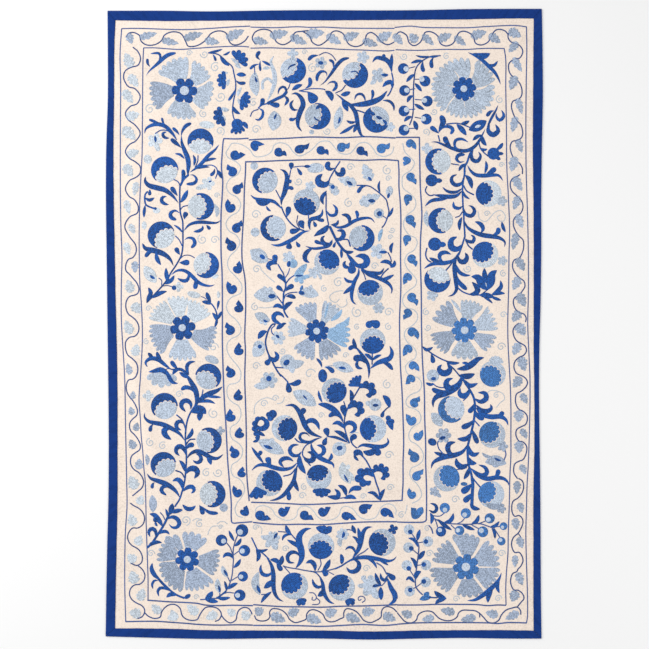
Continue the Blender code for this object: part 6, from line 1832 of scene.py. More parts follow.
# %% Centre, lower
sew(
    "centre_lower",
    dark=(
        disc(-17.6, -17.3, 1.0), stem(.5, -14, -16, -12.9, -17, -11.6, -18.4),
        comma(1.9, -11.7, -18.9, -9.5, -19, -7.4, -18), comma(2.0, -11.7, -18, -11.4, -20, -11, -21.8),
        leaf(.8, -6.9, -22.4, -6.2, -23.2, -5.3, -24.2), oval(3, -.5, -14.3, -.5, -16.4, -.3, -18.5),
        leaf(1.8, -12.6, -26, -10, -25.8, -8.2, -27.5, -7, -30, -6, -32.5, -4.2, -34.6, -2, -35.6, -.4,
            -36),
        comma(1.9, -7.6, -29.8, -7.1, -28.2, -6.1, -26.8),
        leaf(1.7, -6.3, -32.8, -5.3, -31, -3.7, -30.6, -2.3, -31.6, -1.5, -33.7),
        frond(2.6, -7, -18.7, -29.8, -21, -30.3, -21.9, -32, -21.7, -34, -21, -35.8, -21.5, -37.2, -22.8,
            -37.5),
        leaf(2.0, -21.8, -31.8, -20.6, -33.2, -19, -33, -18.2, -31.8, -19, -30.4, -20.4, -30.3),
        leaf(1.2, -21.2, -33.8, -20.2, -34.8, -18.8, -35.6), disc(-16.4, -28.6, 1.4),
        disc(-17.1, -29.8, 1.1), disc(-17.7, -28.8, .9), leaf(1.3, -19.5, -38.5, -18, -39.1, -16.2, -39.7),
        stem(.5, -9.3, -36.4, -8.2, -37.4, -6, -37.8),
        leaf(1.1, -4.4, -35.9, -5.8, -34.7, -7.4, -34.9, -7.8, -36.2, -6.6, -37.3, -4.4, -37.5, -2.6, -36.6,
            -.6, -36),
        stem(.45, -3.8, -37.6, -5.6, -38.4, -6.7, -39.9, -6.9, -41.6, -5.8, -43.3, -4.4, -45),
        leaf(1.4, -7.9, -38.4, -10, -38.6, -11, -40, -10.2, -41.6, -8.4, -41.8, -7.1, -40.4),
        leaf(1.9, -5.5, -40.7, -3.9, -41, -3.3, -42.4, -4.2, -43.5, -5.7, -43.2, -6.6, -42),
        leaf(1.6, -4.2, -37.5, -3.9, -39.6, -2.4, -41.8, -.5, -43, 1.4, -43.8, 2.8, -44.6, 3.1, -46),
        leaf(1.2, 2.2, -41, 2.3, -42.2, 1.2, -43.6),
        leaf(1.5, -2.5, -38.5, -.6, -38.9, 0, -40.2, -.8, -41.5, -2.5, -41.6),
        comma(2.1, 1.3, -36, .9, -34.6, .4, -33), comma(1.7, 1, -35.8, .3, -37, -.1, -38.5),
        leaf(1.0, .6, -35.7, 3.5, -36, 5.7, -36.8, 7.9, -37.8),
        stem(.5, 8, -37.8, 7, -35, 6.4, -32.2, 6.6, -29.4, 7.3, -27.2, 8.6, -24.6, 10.4, -21.6, 11.4,
            -19.9),
        leaf(1.5, 2.5, -31.9, 4.2, -31.3, 5.6, -32.1, 6.7, -33.4),
        leaf(1.6, 3.1, -33.9, 5, -34.6, 6.6, -35.8, 7.6, -37.4),
        leaf(1.6, 6.6, -34, 6.5, -32.2, 8, -31.3, 9.7, -32.2, 9.6, -33.8, 7.9, -34.7),
        comma(1.7, 6.2, -31.8, 5, -29.2, 3.2, -28.4, 1.4, -29.4),
        comma(2.2, 6.7, -30, 6.4, -28, 5.8, -25.7), leaf(1.4, 8.2, -20.8, 8.8, -22.5, 8.3, -24.7),
        leaf(1.0, -1.9, -21, -1.5, -23, -.6, -25),
        horn(2.0, 6.2, -31, 4.6, -28.6, 2.6, -26.9, .4, -25.8, -2, -25.4),
        stem(.4, 6.2, -24.6, 6.8, -26.4, 6.9, -28), fan(11.3, -20, 128, 96, .3, 3.9, 3.8, 5, 0, .14),
        frond(3.7, 5, 11, -20.3, 12.6, -19.6, 14.3, -19.9, 15.1, -21, 14.7, -22.2, 13.2, -22.6),
        frond(3.5, 5, 7.6, -27, 9, -25.8, 10.6, -25.8, 11.4, -27, 11, -28.3, 9.6, -28.9),
        oval(1.2, 15.4, -25.8, 17.3, -25.8), leaf(2.0, 18.6, -22.6, 20, -24, 20.9, -26.6),
        stem(.45, 20.8, -26.2, 19.6, -27.1, 18.8, -28.2), comma(1.3, 19.2, -27.2, 18.6, -28.6, 18.3, -29.7),
        leaf(2.0, 20.1, -29, 20.8, -31, 21.8, -33.8), disc(21.5, -31, .9), disc(20.4, -29.9, .9),
        disc(20.5, -31.3, .9),
        leaf(1.5, 20, -36, 20.4, -37.6, 19, -38.8, 16.5, -39, 14, -38.6, 12, -38.5, 10.3, -39.6),
        leaf(2.2, 12.3, -40.5, 14.2, -41, 15.8, -40.4, 16.6, -39),
        comma(2.3, 14.6, -38.6, 16.4, -40, 17.7, -41.7), comma(1.9, 8.5, -38, 8.9, -36.2, 10.4, -35.5),
        stem(.5, 8.4, -36.6, 9, -38.2, 10.3, -39.4), oval(1.7, 3.9, -39.5, 5.9, -39.3),
        comma(2.1, 12.6, -42.4, 11.2, -40.8, 9.3, -41.2), leaf(1.0, 9.4, -41.4, 10.1, -42.7, 11, -43.5),
        stem(.55, 11.6, -41.4, 13.2, -43.2, 14.5, -45.5, 15.8, -48, 16.5, -50.4, 17.4, -53, 17.7, -55.6),
        frond(3.9, -6, 15.8, -48.6, 14, -47.3, 12.3, -47.4, 11.5, -48.6, 12, -49.9, 13.4, -50.5, 15, -49.9),
        frond(3.7, 6, 15.2, -47.5, 16.5, -46.2, 18.2, -46.1, 19.3, -47.1, 19.2, -48.4, 18, -49.3),
        leaf(1.3, 13.7, -53.6, 15.8, -53.8, 17.6, -56), leaf(1.4, 19.3, -52.4, 18.2, -54.2, 17.8, -56.3),
        leaf(.9, 6.2, -47.6, 7, -49.2, 7.8, -50.4),
        leaf(1.7, 3.2, -52.4, 4.5, -53.6, 4.2, -55.1, 2.4, -55, .9, -54.7),
        stem(.4, 3.8, -55.4, 5.2, -55.4, 6.5, -55.2), leaf(1.6, 4.3, -51.2, 6.2, -52.2, 7.1, -54.8),
        comma(1.8, 7.6, -54.2, 9, -52.4, 11.9, -52.2), leaf(1.5, 6.2, -55.5, 8.4, -54.9, 10.3, -55.6),
        fan(-.8, -51.9, 270, 150, .3, 3.3, 3.3, 5, 0, .14),
        leaf(1.5, -23.3, -46.7, -21.2, -45, -18.6, -44.8, -15.8, -45.7, -13, -46.2, -10.4, -45.7, -8.4,
            -43.9),
        comma(2.0, -16.8, -45, -17.7, -43.6, -18, -42.3), leaf(1.2, -23.2, -39, -21.8, -41, -19.2, -44.4),
        comma(1.4, -20.9, -42.4, -20.5, -41.3, -20, -40.3),
        leaf(1.5, -12.8, -45.6, -14.1, -44, -13.2, -42.9, -11.4, -42.7, -9.7, -43.7),
        leaf(2.0, -7.9, -41.4, -7.7, -44.6, -5.9, -47.7),
        leaf(1.5, -8.4, -44.2, -9.1, -47, -9.8, -50, -11.4, -52.6, -13.2, -54.6, -15.4, -55.8, -17.6,
            -56.2),
        stem(.45, -9.2, -46, -10.6, -47.7, -13, -48.4), leaf(1.5, -9.7, -48.3, -9.2, -51, -8.1, -53.3),
        comma(1.6, -11.6, -51.8, -11.3, -54.2, -11.2, -56.1),
        fan(-21.8, -51.4, 284, 96, .3, 4.2, 4.6, 4, 0, .14),
    ),
    pale=(
        disc(-17.6, -17.8, 2.9, 6), leaf(2.6, -17, -18.6, -20, -19.6, -22.5, -19.7),
        leaf(4.6, -10, -21.4, -6.6, -23.2, -2.5, -25.9), leaf(2.2, -8, -22.6, -6.6, -21.9, -5.8, -21),
        leaf(4.2, -21.2, -37, -17.5, -38.6, -12.7, -41.2), leaf(1.8, -17.6, -37.6, -16.6, -37, -16, -36.4),
        disc(16.2, -25.6, 2.1), leaf(1.8, 15, -25.4, 14, -25.2, 13.1, -24.8), disc(4.8, -39.7, 2.35),
        stem(.35, 6, -38.3, 8, -37.9), stem(.35, 8, -35.4, 9.2, -34.6, 10.8, -34.4),
    ),
    mist=(
        leaf(3.6, 5.8, -43.8, 6.2, -47, 8.4, -50.8), leaf(2.0, 7, -46.6, 8.4, -48.4, 9.6, -50),
        leaf(1.6, 6.8, -46, 7.6, -45.4, 7.8, -44.6),
    ),
    curl=(
        curl(-15.6, -23.6, 1.1, 0), curl(-19.2, -25.3, 1.2, 0),
        stem(.35, -22.3, -28.6, -22, -25.8, -20.3, -24.1, -18, -23.4, -16.2, -24),
        stem(.35, -12.6, -23.2, -13.4, -24.9, -15, -25.3), curl(-1, -29, 1.0, 0),
        curl(20.1, -19.2, 1.5, 100), curl(20.6, -41.7, 1.4, 0), curl(-6.4, -51.8, 1.1, 90),
        curl(-7, -54.6, 1.2, 0), curl(12.4, -54.8, 1.0, 0), curl(21, -52, 1.2, 0),
    ),
)

# %% Right rosette and the vine below it
sew(
    "right_lower",
    dark=(
        leaf(1.2, 31.3, -7, 32.6, -8.2, 34.7, -7.3), stem(.5, 32.8, -8.3, 35, -9.8, 38, -11.4, 40.5, -12.2),
        comma(1.6, 34, -9.2, 34.5, -10.8, 34.7, -12.4), leaf(1.2, 38.6, -11.8, 41, -12.4, 43.2, -12.3),
        leaf(2.2, 37.5, -12.8, 36.5, -14, 37.5, -15.5, 39.3, -15.4, 40.1, -14, 39.1, -12.5),
        stem(.5, 39.2, -12.4, 41.2, -14.2, 43.4, -16.8),
        leaf(2.2, 51, -10.6, 49, -11.1, 47.2, -12.6, 45, -13.9, 42.1, -14.3),
        leaf(1.1, 43.8, -12.3, 45.3, -12.5, 46.3, -13.6), leaf(2.0, 43, -16.2, 45.6, -16.6, 48, -15.8),
        oval(1.3, 34, -17.4, 35.6, -17.3), leaf(1.1, 32.3, -18.6, 33.6, -19.2, 35, -19.1),
        stem(.4, 34.5, -18.8, 35.8, -19.8, 37.5, -20.2, 39.5, -20),
        comma(1.8, 41.2, -20.6, 38, -21.7, 36, -21.4, 34.3, -20.5),
        leaf(2.0, 43.5, -17.4, 43, -19.6, 41, -21, 38.2, -22.2, 35.9, -23, 34.7, -24.6, 34.7, -26.6),
        leaf(2.4, 41.1, -17.2, 39.3, -17.8, 38.8, -19.2, 40, -20.6, 42, -20, 43.2, -18.6, 43.8, -16.4),
        stem(.8, 43.4, -16.3, 45, -18.8, 46.4, -21, 47.6, -23.4, 48, -26, 47.8, -29.4, 47.3, -32.4, 46.4,
            -36, 45.7, -39, 45.7, -42, 46, -44.8, 46.8, -47.6, 47.2, -50),
        stem(1.1, 47.1, -49, 47.3, -51, 47.2, -53, 47, -58), leaf(1.6, 44.1, -17.4, 46.3, -19.6, 49, -18.8),
        leaf(1.9, 46.3, -20.4, 45.6, -22.2, 44, -22.9, 43, -21.9, 43.4, -20.3),
        stem(.4, 44.3, -24.3, 45.7, -23),
        leaf(1.8, 47.8, -23.6, 49.8, -24.7, 51.6, -23.6, 51.2, -22, 48.9, -21.8),
        comma(1.7, 47.9, -25, 47, -27, 45.9, -28.1),
        leaf(1.7, 48.3, -25.6, 50, -27.4, 52, -27.7, 53.3, -26.6, 52.8, -25.4),
        leaf(1.7, 48.2, -26.4, 50.2, -28.7, 53.2, -29.5, 56, -29.4, 57.8, -30.4, 58.6, -32.3),
        comma(1.6, 54.6, -29.4, 56.2, -28.8, 57, -27.8), comma(1.8, 47.8, -26.6, 48.4, -28.6, 50.8, -30.4),
        comma(1.9, 47.8, -30.2, 46.2, -31.9, 43.7, -33), stem(.45, 47.8, -30.6, 49.4, -32.4),
        comma(1.7, 46.9, -33, 47.8, -35.4, 48.9, -38), leaf(1.7, 46.8, -34.6, 45.2, -36.5, 42.3, -36.5),
        oval(1.3, 36.6, -36.5, 38.7, -35.9), oval(2.4, 33.1, -36.9, 35.7, -38.1),
        stem(.4, 36.3, -37.2, 36.1, -38.2, 36.6, -39.8, 37.6, -40.9),
        leaf(1.3, 34.9, -40.7, 36.8, -41.4, 39.4, -41.8),
        leaf(1.8, 45.7, -38.2, 44.2, -40.5, 41.8, -41.6, 39, -42.1, 36.4, -43, 34.6, -44.2, 34, -46.1),
        leaf(1.8, 41.9, -37.5, 39.8, -38.1, 39.3, -39.6, 40, -41, 41.6, -41.5),
        leaf(1.7, 45.9, -38.4, 46.4, -40.6, 47.6, -41.6, 49.5, -40.8),
        leaf(1.0, 54, -42.5, 55.1, -43.1, 56.4, -43.5),
        leaf(2.0, 42, -42.6, 42.3, -44.3, 43.8, -45.5, 46, -44.5),
        leaf(1.8, 45.7, -42.1, 46.6, -44, 48.6, -44.3),
        leaf(1.6, 46.5, -45.7, 48.3, -47.3, 50.3, -48.2, 51.8, -47.4, 51.3, -45.7, 49, -44.7),
        leaf(1.6, 46.6, -45.9, 49, -48.2, 52, -49.2, 55, -48.8, 57.4, -49.3, 58.7, -50.8, 58.5, -51.5),
        comma(1.6, 54, -49, 55.2, -47.6, 55.5, -46.2), leaf(1.5, 46.1, -45.7, 45.6, -47.6, 44.4, -49.4),
        stem(.5, 47, -48.6, 48.4, -50.4, 49.6, -51.8), comma(2.3, 47.2, -50.6, 45.4, -52.4, 43.7, -53.6),
        comma(2.0, 47.2, -53.6, 45.6, -55.5, 44.4, -56.5),
    ),
    mid=(disc(44.6, -1.9, 4.3, 8, 5), oval(1.3, 43.4, -50.8, 45.6, -50.9)),
    pale=(
        fan(44.6, -1.9, 78, 44, 3.6, 10, 9.8, 6, -4), leaf(1.2, 43.6, 3.6, 42, 6, 40.3, 8),
        fan(44.6, -1.9, 19, 40, 3.6, 11, 10.4, 5, 2, .16), leaf(1.1, 50.4, 3, 51.6, 4.4, 52.2, 5.8),
        fan(44.6, -1.9, 270, 58, 3.6, 9.2, 9.8, 5, 0, .12), disc(34.6, -16.4, 2.1),
        leaf(3.4, 34.1, -28.2, 35.9, -30.2, 37.5, -32.6), fan(54.6, -12.6, 80, 150, .3, 2.6, 2.6, 6),
    ),
    stone=(
        fan(44.6, -1.9, 144, 46, 3.6, 11, 11, 4, -4, .16),
        fan(44.6, -1.9, 332, 34, 3.6, 9.8, 10.8, 4, 0, .14),
        fan(44.6, -1.9, 205, 44, 3.6, 11.3, 10, 6, 4, .14), disc(38, -35.4, 2.6, 6),
        leaf(1.2, 50.1, -40.9, 51.6, -42, 53.8, -42.5), leaf(3.6, 51.2, -44, 54.4, -43.4, 58, -44.4),
        disc(54.6, -44.3, 1.4), disc(56.8, -38.9, 1.8, 5), disc(35, -53.2, 1.7, 5),
        leaf(1.4, 35.6, -53.4, 36.4, -54.4, 37.3, -55.1),
    ),
    eye=(disc(44.7, -1.9, 1.35),),
    slate=(
        stem(.45, 57.6, -40.2, 57.8, -41.6, 57.2, -43.2), stem(.4, 42.1, -46.3, 43.8, -46.1, 45.4, -45.7),
    ),
    curl=(
        curl(32.5, 3.9, 1.2, 90), curl(33, -1, 1.1, 200), curl(57, 3, 1.1, 0), curl(56.3, -7.2, 1.4, 0),
        curl(54.8, -22.6, 1.0, 60),
        stem(.35, 51.6, -22.2, 52.8, -21.2, 54.8, -21.2, 56.9, -22.2, 57.4, -23.8, 56, -25, 54.9, -26.4),
        curl(41.7, -55.8, 1.3, 0),
    ),
)

# %% [markdown]
# ## The bottom: two rosettes, the lower sprays and the small fruit
#
# A small fruit is a disc of dark stitches with a pale eye worked over it, which sits to one side.

# %% Small fruit
FRUIT = (
    # x, y, radius, side where the ring is thickest, thread
    (-26.2, -65.7, 2.1, 40, "dark"),
    (-32.7, -68.8, 1.9, 160, "dark"),
    (-25.4, -72.1, 1.9, 10, "dark"),
    (-25.9, -80.3, 1.7, 10, "dark"),
    (-26.9, -86.3, 1.9, 0, "dark"),
    (38.4, -58.5, 1.7, 95, "mid"),
    (45.1, -60.2, 1.7, 50, "mid"),
    (52.7, -61.8, 1.7, 45, "mid"),
    (43.1, -65.7, 1.6, 350, "mid"),
    (37.2, -66.0, 1.7, 310, "dark"),
    (50.5, -66.1, 1.8, 320, "mid"),
    (57.1, -64.3, 1.3, 45, "mid"),
    (56.4, -69.1, 1.4, 310, "mid"),
)
EYE_SET = 0.36
EYE_SIZE = 0.50


def fruit_eye(x, y, radius, side, _thread):
    """The eye, set back from the side where the ring is thickest."""
    turn = math.radians(side)
    setback = radius * EYE_SET
    return disc(x - setback * math.cos(turn), y - setback * math.sin(turn), radius * EYE_SIZE)


sew(
    "small_fruit",
    dark=tuple(disc(*row[:3]) for row in FRUIT if row[4] == "dark"),
    mid=tuple(disc(*row[:3]) for row in FRUIT if row[4] == "mid"),
    eye=tuple(fruit_eye(*row) for row in FRUIT),
)

# %% Bottom left
sew(
    "bottom_left",
    dark=(
        leaf(.9, -50.5, -58.7, -50, -59.9, -49.9, -61.4), leaf(1.9, -48.3, -57, -48.6, -58.8, -49, -60.6),
        leaf(1.5, -48.9, -60, -47.2, -59.5, -45, -59.1),
        leaf(1.5, -45.2, -57.4, -43.6, -58.8, -42, -58.7, -40.9, -57.7),
        stem(.8, -49.2, -60, -49.9, -61.6, -51, -63.8, -52.3, -65.9, -53.6, -67.9, -55, -69.9, -56.3,
            -71.1),
        horn(1.5, -49.5, -63.4, -48.5, -64.6, -47, -64.7, -46.1, -63.4, -46.9, -61.9, -48.4, -61.3, -49.9,
            -62),
        leaf(1.9, -55.7, -60.4, -54, -60.8, -53, -62, -52.2, -63, -51.5, -64.4),
        comma(1.7, -52.3, -62.8, -53.4, -61.8, -54, -63), leaf(.9, -53.9, -62.8, -53.4, -64, -53, -64.3),
        leaf(1.4, -55.4, -67.8, -55.9, -66.2, -55, -65.1, -53.8, -65.7, -53.5, -68.2),
        leaf(1.2, -53, -66.9, -51.6, -66.1, -50.2, -66, -49.2, -67),
        leaf(1.4, -56.3, -71.1, -54.9, -69.9, -53.4, -69.4, -51.6, -69.5),
        comma(1.6, -39.8, -57.4, -39, -59.2, -38.5, -60.6),
        comma(1.3, -39.4, -57.7, -36.6, -59.9, -33.8, -60.2), disc(-43.6, -74.9, 4.0, 7, 188),
        leaf(1.6, -54.7, -76, -55, -77.8, -54.2, -79.6, -52.6, -81.4),
        stem(.9, -53.8, -79.8, -51.6, -82.4, -49.3, -84.6),
        stem(.7, -49.8, -84.2, -47, -86.2, -44.6, -87.2),
        leaf(.9, -54.5, -84.4, -54.8, -82.8, -54, -81.6, -52.8, -81.7),
        leaf(1.1, -52.6, -86.8, -53, -85, -52.2, -84, -50.8, -84.1, -49.4, -84.9),
        leaf(1.5, -50.3, -87, -48.9, -86, -47, -86.3), oval(1.4, -44.5, -87.3, -42.6, -86.1),
        leaf(1.9, -38, -87.5, -36.6, -86.6, -35.5, -85), leaf(1.6, -38, -87.6, -36.2, -88, -33.7, -88.4),
        leaf(1.3, -34.5, -86.9, -32.3, -87.4, -29.8, -87),
        stem(.6, -34.2, -87.2, -32.6, -86.1, -31.2, -84.9),
        leaf(1.1, -30.4, -65.6, -29.6, -67.4, -28.6, -69.2),
        leaf(1.3, -26.4, -68.1, -27.2, -69.6, -28.6, -70.7),
        leaf(1.4, -32.3, -74.4, -31.3, -73.3, -29.8, -73.5, -29, -74.7),
        leaf(1.3, -26.6, -74.7, -27.4, -76.2, -28.9, -77.6),
        leaf(1.0, -31.8, -81.7, -31.3, -83.2, -31.1, -85), leaf(1.4, -27.5, -82.4, -28.9, -83, -31, -84.4),
        leaf(1.0, -32.1, -78, -31.5, -79, -30.7, -80.4),
        leaf(1.0, -33.7, -82.9, -33.4, -84.2, -33.2, -85.6),
    ),
    stone=(
        fan(-43.6, -74.9, 72, 58, 3.6, 9.2, 9, 4, 0, .14),
        fan(-43.6, -74.9, 122, 26, 3.6, 8.4, 10.6, 2, 2, .12),
        fan(-43.6, -74.9, 160, 46, 3.6, 9.6, 10, 5, 0, .14),
        fan(-43.6, -74.9, 224, 72, 3.6, 9.4, 11, 7, 0, .12),
        fan(-43.6, -74.9, 293, 54, 3.6, 9.9, 11.6, 6, 0, .14),
        fan(-43.6, -74.9, 353, 50, 3.6, 10, 10.8, 6, 0, .12), disc(-32, -58.4, 1.4),
    ),
    eye=(disc(-43.6, -74.9, 1.3),),
    pale=(
        leaf(1.9, -32.5, -76.8, -31.9, -78.8, -30.6, -80.7),
        leaf(2.1, -34, -80.9, -33.9, -83.2, -33.2, -85.8),
    ),
    slate=(
        stem(.45, -34, -87.3, -36, -87.3), stem(.45, -37.8, -87.6, -39.4, -87.7),
        stem(.45, -31.2, -84.9, -30.2, -82.9, -29.4, -80.2, -29.1, -77.6, -28.9, -75),
        stem(.45, -28.9, -75, -29, -72.7, -28.8, -70.8, -28, -68.2, -27.4, -66.9),
        stem(.4, -31.1, -69.6, -30, -71, -29.2, -73.2), stem(.4, -28.9, -73.5, -27.3, -72.3),
        stem(.4, -29.5, -81.6, -27.6, -80.4), stem(.4, -30.7, -80.6, -29.9, -82.2),
        stem(.4, -33.3, -85.4, -33.2, -86.9), stem(.4, -32, -85.8, -30.6, -85.4, -28.8, -85.6),
        stem(.4, -52.2, -59.9, -51.3, -60.9, -50.7, -62.2), stem(.4, -27, -67.4, -26.6, -66.6),
    ),
    curl=(
        curl(-44.1, -62.5, 1.6, 280, 1.5), curl(-39.7, -63.6, 1.3, 60), curl(-33, -64.6, .8, 0),
        stem(.35, -41.9, -62.5, -40.6, -61.9, -39, -62.2),
        stem(.35, -37.1, -67.1, -36.5, -65.4, -35.6, -64.4, -33.8, -64.2),
        stem(.35, -34.1, -63.6, -33, -62.8, -31.8, -62.9, -30.8, -63.6), curl(-55.2, -73, 1.2, 0),
        curl(-40.8, -86.9, .9, 0),
    ),
)

# %% Bottom centre
sew(
    "bottom_centre",
    dark=(
        stem(.5, -23.1, -68, -22.1, -70.1, -21.2, -71.8, -19.5, -73, -17.6, -74.8),
        leaf(1.6, -18.6, -73.8, -16.9, -76.5, -16.2, -79.5, -16.2, -83, -15.7, -85.8, -14.5, -87.5, -12.8,
            -88.4),
        leaf(1.5, -21.7, -71.4, -20.8, -73.6, -21.5, -75.7),
        leaf(1.0, -21.6, -71.7, -19.8, -72.2, -17.8, -71.6),
        leaf(1.3, -20, -76.4, -20.3, -78, -19.6, -79.6, -17.8, -79.9, -16.3, -78.6),
        leaf(2.0, -19.2, -84.1, -17.8, -83, -16.1, -81.5),
        leaf(1.3, -20.2, -88.8, -18.9, -86.9, -16.7, -85.1),
        leaf(1.2, -21.4, -82.9, -21, -84.2, -20.3, -85.8),
        leaf(1.1, -16.1, -68.4, -15.4, -67.2, -14.9, -66.3),
        leaf(1.5, -12.3, -63.9, -11.6, -65.8, -10.4, -67.2), stem(.45, -10.6, -66.8, -9, -68.6),
        leaf(1.0, -13.4, -69, -12.9, -67.6, -11.4, -66.9, -10.4, -67.2),
        leaf(2.3, -4, -65, -6, -65.4, -7.8, -67.2, -8, -69.6, -7.3, -72, -7.2, -74.4, -8, -76.3, -9.2,
            -77.8),
        leaf(1.5, -11.9, -68.6, -10.2, -69.5, -8.4, -70.6, -7.2, -72.4),
        leaf(1.4, -9.3, -76, -11.2, -75.7, -11.7, -74, -10.6, -72.7, -9, -72.7, -7.4, -74.2),
        leaf(1.6, -17.3, -75, -15.4, -75.2, -13.8, -76.8),
        leaf(1.7, -13.3, -73.6, -13.6, -75.4, -14.6, -77),
        comma(1.7, -15.2, -75.4, -14.5, -77, -13.5, -78.5),
        leaf(1.6, -5.9, -76.1, -4.3, -75.5, -3.1, -76.6, -2.9, -78.7),
        leaf(1.7, 1.9, -74.8, 1, -76.8, -.6, -78.8), comma(1.9, -1, -78.4, .2, -79.2, .9, -80.1),
        oval(1.4, 5.3, -73.2, 5.7, -74.8, 5.5, -76.4),
        leaf(1.7, 7, -77.3, 8.2, -78.7, 10, -78.6, 11.1, -77.3, 10.8, -75.7, 9.2, -74.9),
        leaf(1.5, 6.6, -76, 9.6, -74.7, 12.6, -74.2, 15.6, -74.5, 18.2, -75, 20.5, -75.4, 22, -75, 23.2,
            -73.8),
        leaf(1.0, 13.6, -74.6, 15.7, -75.8, 16.8, -77.8), leaf(1.0, 17.2, -74.9, 18.8, -75.7, 20.5, -76.8),
        leaf(1.7, 15.4, -64.5, 13.4, -64.9, 12.3, -66.5, 11.7, -69, 11.1, -71.2, 10.1, -73, 8.8, -74.8),
        leaf(1.4, 10.7, -64.7, 11.2, -66.8, 11.4, -69.6), leaf(1.1, 8.9, -67.5, 10.2, -68.3, 11.1, -70.4),
        leaf(1.4, 8.9, -63.9, 9.3, -65.2, 10, -66.7),
        leaf(1.0, 6.6, -71.9, 7.8, -71, 9.2, -71.3, 10, -73.1), leaf(1.2, 6.2, -65.8, 6.2, -67, 5.6, -68.2),
        leaf(1.4, -1.7, -79.8, -.5, -82.5, -.2, -85, .6, -87, 1.8, -88.4, 3.4, -89.1),
        stem(.45, -4.4, -78.6, -2.6, -79.2, -1, -80.9),
        leaf(1.2, -3.8, -81, -3.2, -82.9, -1.8, -83.8, -.3, -82.9),
        leaf(1.8, -2.1, -86.6, -1, -85.9, .1, -84.4), leaf(1.4, 16.2, -79.1, 16.9, -81.3, 18.2, -83.4),
        comma(1.2, 18.4, -83.3, 16.6, -83.2, 15.4, -83.5), leaf(1.8, 18, -83.6, 18, -85.6, 18.1, -87.9),
        leaf(1.2, 17.9, -79.2, 18.2, -80.9, 19.4, -81.5, 20.2, -79.8),
        comma(1.9, 19.7, -78.9, 21.4, -80.4, 22.6, -81.2),
        leaf(1.7, 20, -80.6, 21.2, -83.8, 22.4, -86.2, 22.3, -88, 20.3, -89.5),
        leaf(1.2, 21.2, -83.6, 22.5, -85.4, 23.4, -87.5), leaf(2.4, -2.7, -64.7, -.6, -65.4, 1.2, -66.8),
        leaf(2.3, .7, -66.7, 1.6, -65.2, 2.5, -64.5), disc(-.1, -65, 1.0), disc(21.9, -65.3, 1.7, 4, 20),
        oval(2.0, -9, -88.5, -7.4, -88.2, -5.6, -87.8), disc(-6.7, -88.8, .8), disc(-8, -88.9, .8),
        oval(2.0, 6.6, -88.4, 8.1, -88.2, 9.8, -87.8), disc(7.6, -88.8, .8), disc(9, -88.7, .8),
        stem(.55, 3.4, -77.9, 5.4, -77, 7.4, -75.7, 9.4, -74.7),
    ),
    slate=(
        stem(.45, -13.1, -77, -11.3, -77.5, -8.7, -77.9, -6.1, -78.4, -3.4, -78.8, -1.1, -78.8, 1.2, -78.4,
            3.6, -77.8),
        stem(.4, -12.8, -77.2, -11, -79.2),
        stem(.45, 7.6, -75.6, 9.3, -74.8, 11, -73.4, 12.6, -72.5, 14, -71.4),
        stem(.4, -1.3, -74.8, -1, -76.4, -2, -78.4), stem(.35, 1, -78.6, 3.1, -79.8),
        stem(.4, -20, -86.1, -18.5, -86), stem(.4, -14.6, -66, -12.1, -66.2),
        stem(.4, 6.1, -65.7, 7.7, -65.4, 9.3, -65.8), stem(.4, 18.3, -83.3, 19.9, -81.6),
        stem(.5, 16.7, -76, 18.5, -77.2, 19.9, -79.6),
        stem(.4, -4.7, -85.5, -3.4, -85.6, -2.5, -86.8, -2.9, -87.8, -3.9, -87.7, -3.7, -86.9),
        stem(.4, -2.4, -87.2, -1.4, -88.2, -1.8, -89.1, -3.8, -89.3),
        stem(.4, 12.1, -88.6, 13, -87.9, 12.8, -87, 11.6, -86.6, 10.8, -87.2, 11.1, -88, 11.8, -87.6),
    ),
    pale=(
        leaf(2.7, -20.9, -78.8, -22, -82.4, -20.5, -86.3), disc(-16.4, -68.2, 2.5, 7, 10),
        leaf(1.7, -17, -67.9, -18.8, -68, -20.3, -67.4), leaf(2.2, -16.6, -69.4, -15.6, -70.8, -15, -71.9),
        leaf(2.0, -17.2, -69.2, -18, -70.2, -18.8, -70.8), disc(5.9, -66.9, 2.1, 7),
        leaf(1.7, 5.2, -67.6, 4.9, -69.4, 5.3, -70.9), leaf(1.2, 5, -67.2, 3.7, -67.8),
        disc(14.6, -83.2, 3.0, 8), leaf(1.6, 13, -83.4, 10.5, -83.2),
        leaf(2.6, 15.2, -84.6, 16.3, -86, 17.2, -87.5), leaf(2, 13.2, -81.4, 11.9, -80.2),
        leaf(2.2, 14.8, -81.6, 14.8, -79.8), leaf(2.2, 13.6, -85, 12.8, -86.4),
    ),
    curl=(
        curl(-21.9, -64.7, 1.0, 0), stem(.3, -20.9, -63.9, -19.9, -65, -20, -66.8),
        curl(-12.4, -71.5, 1.1, 0), curl(13.4, -77.8, 1.2, 0),
    ),
)

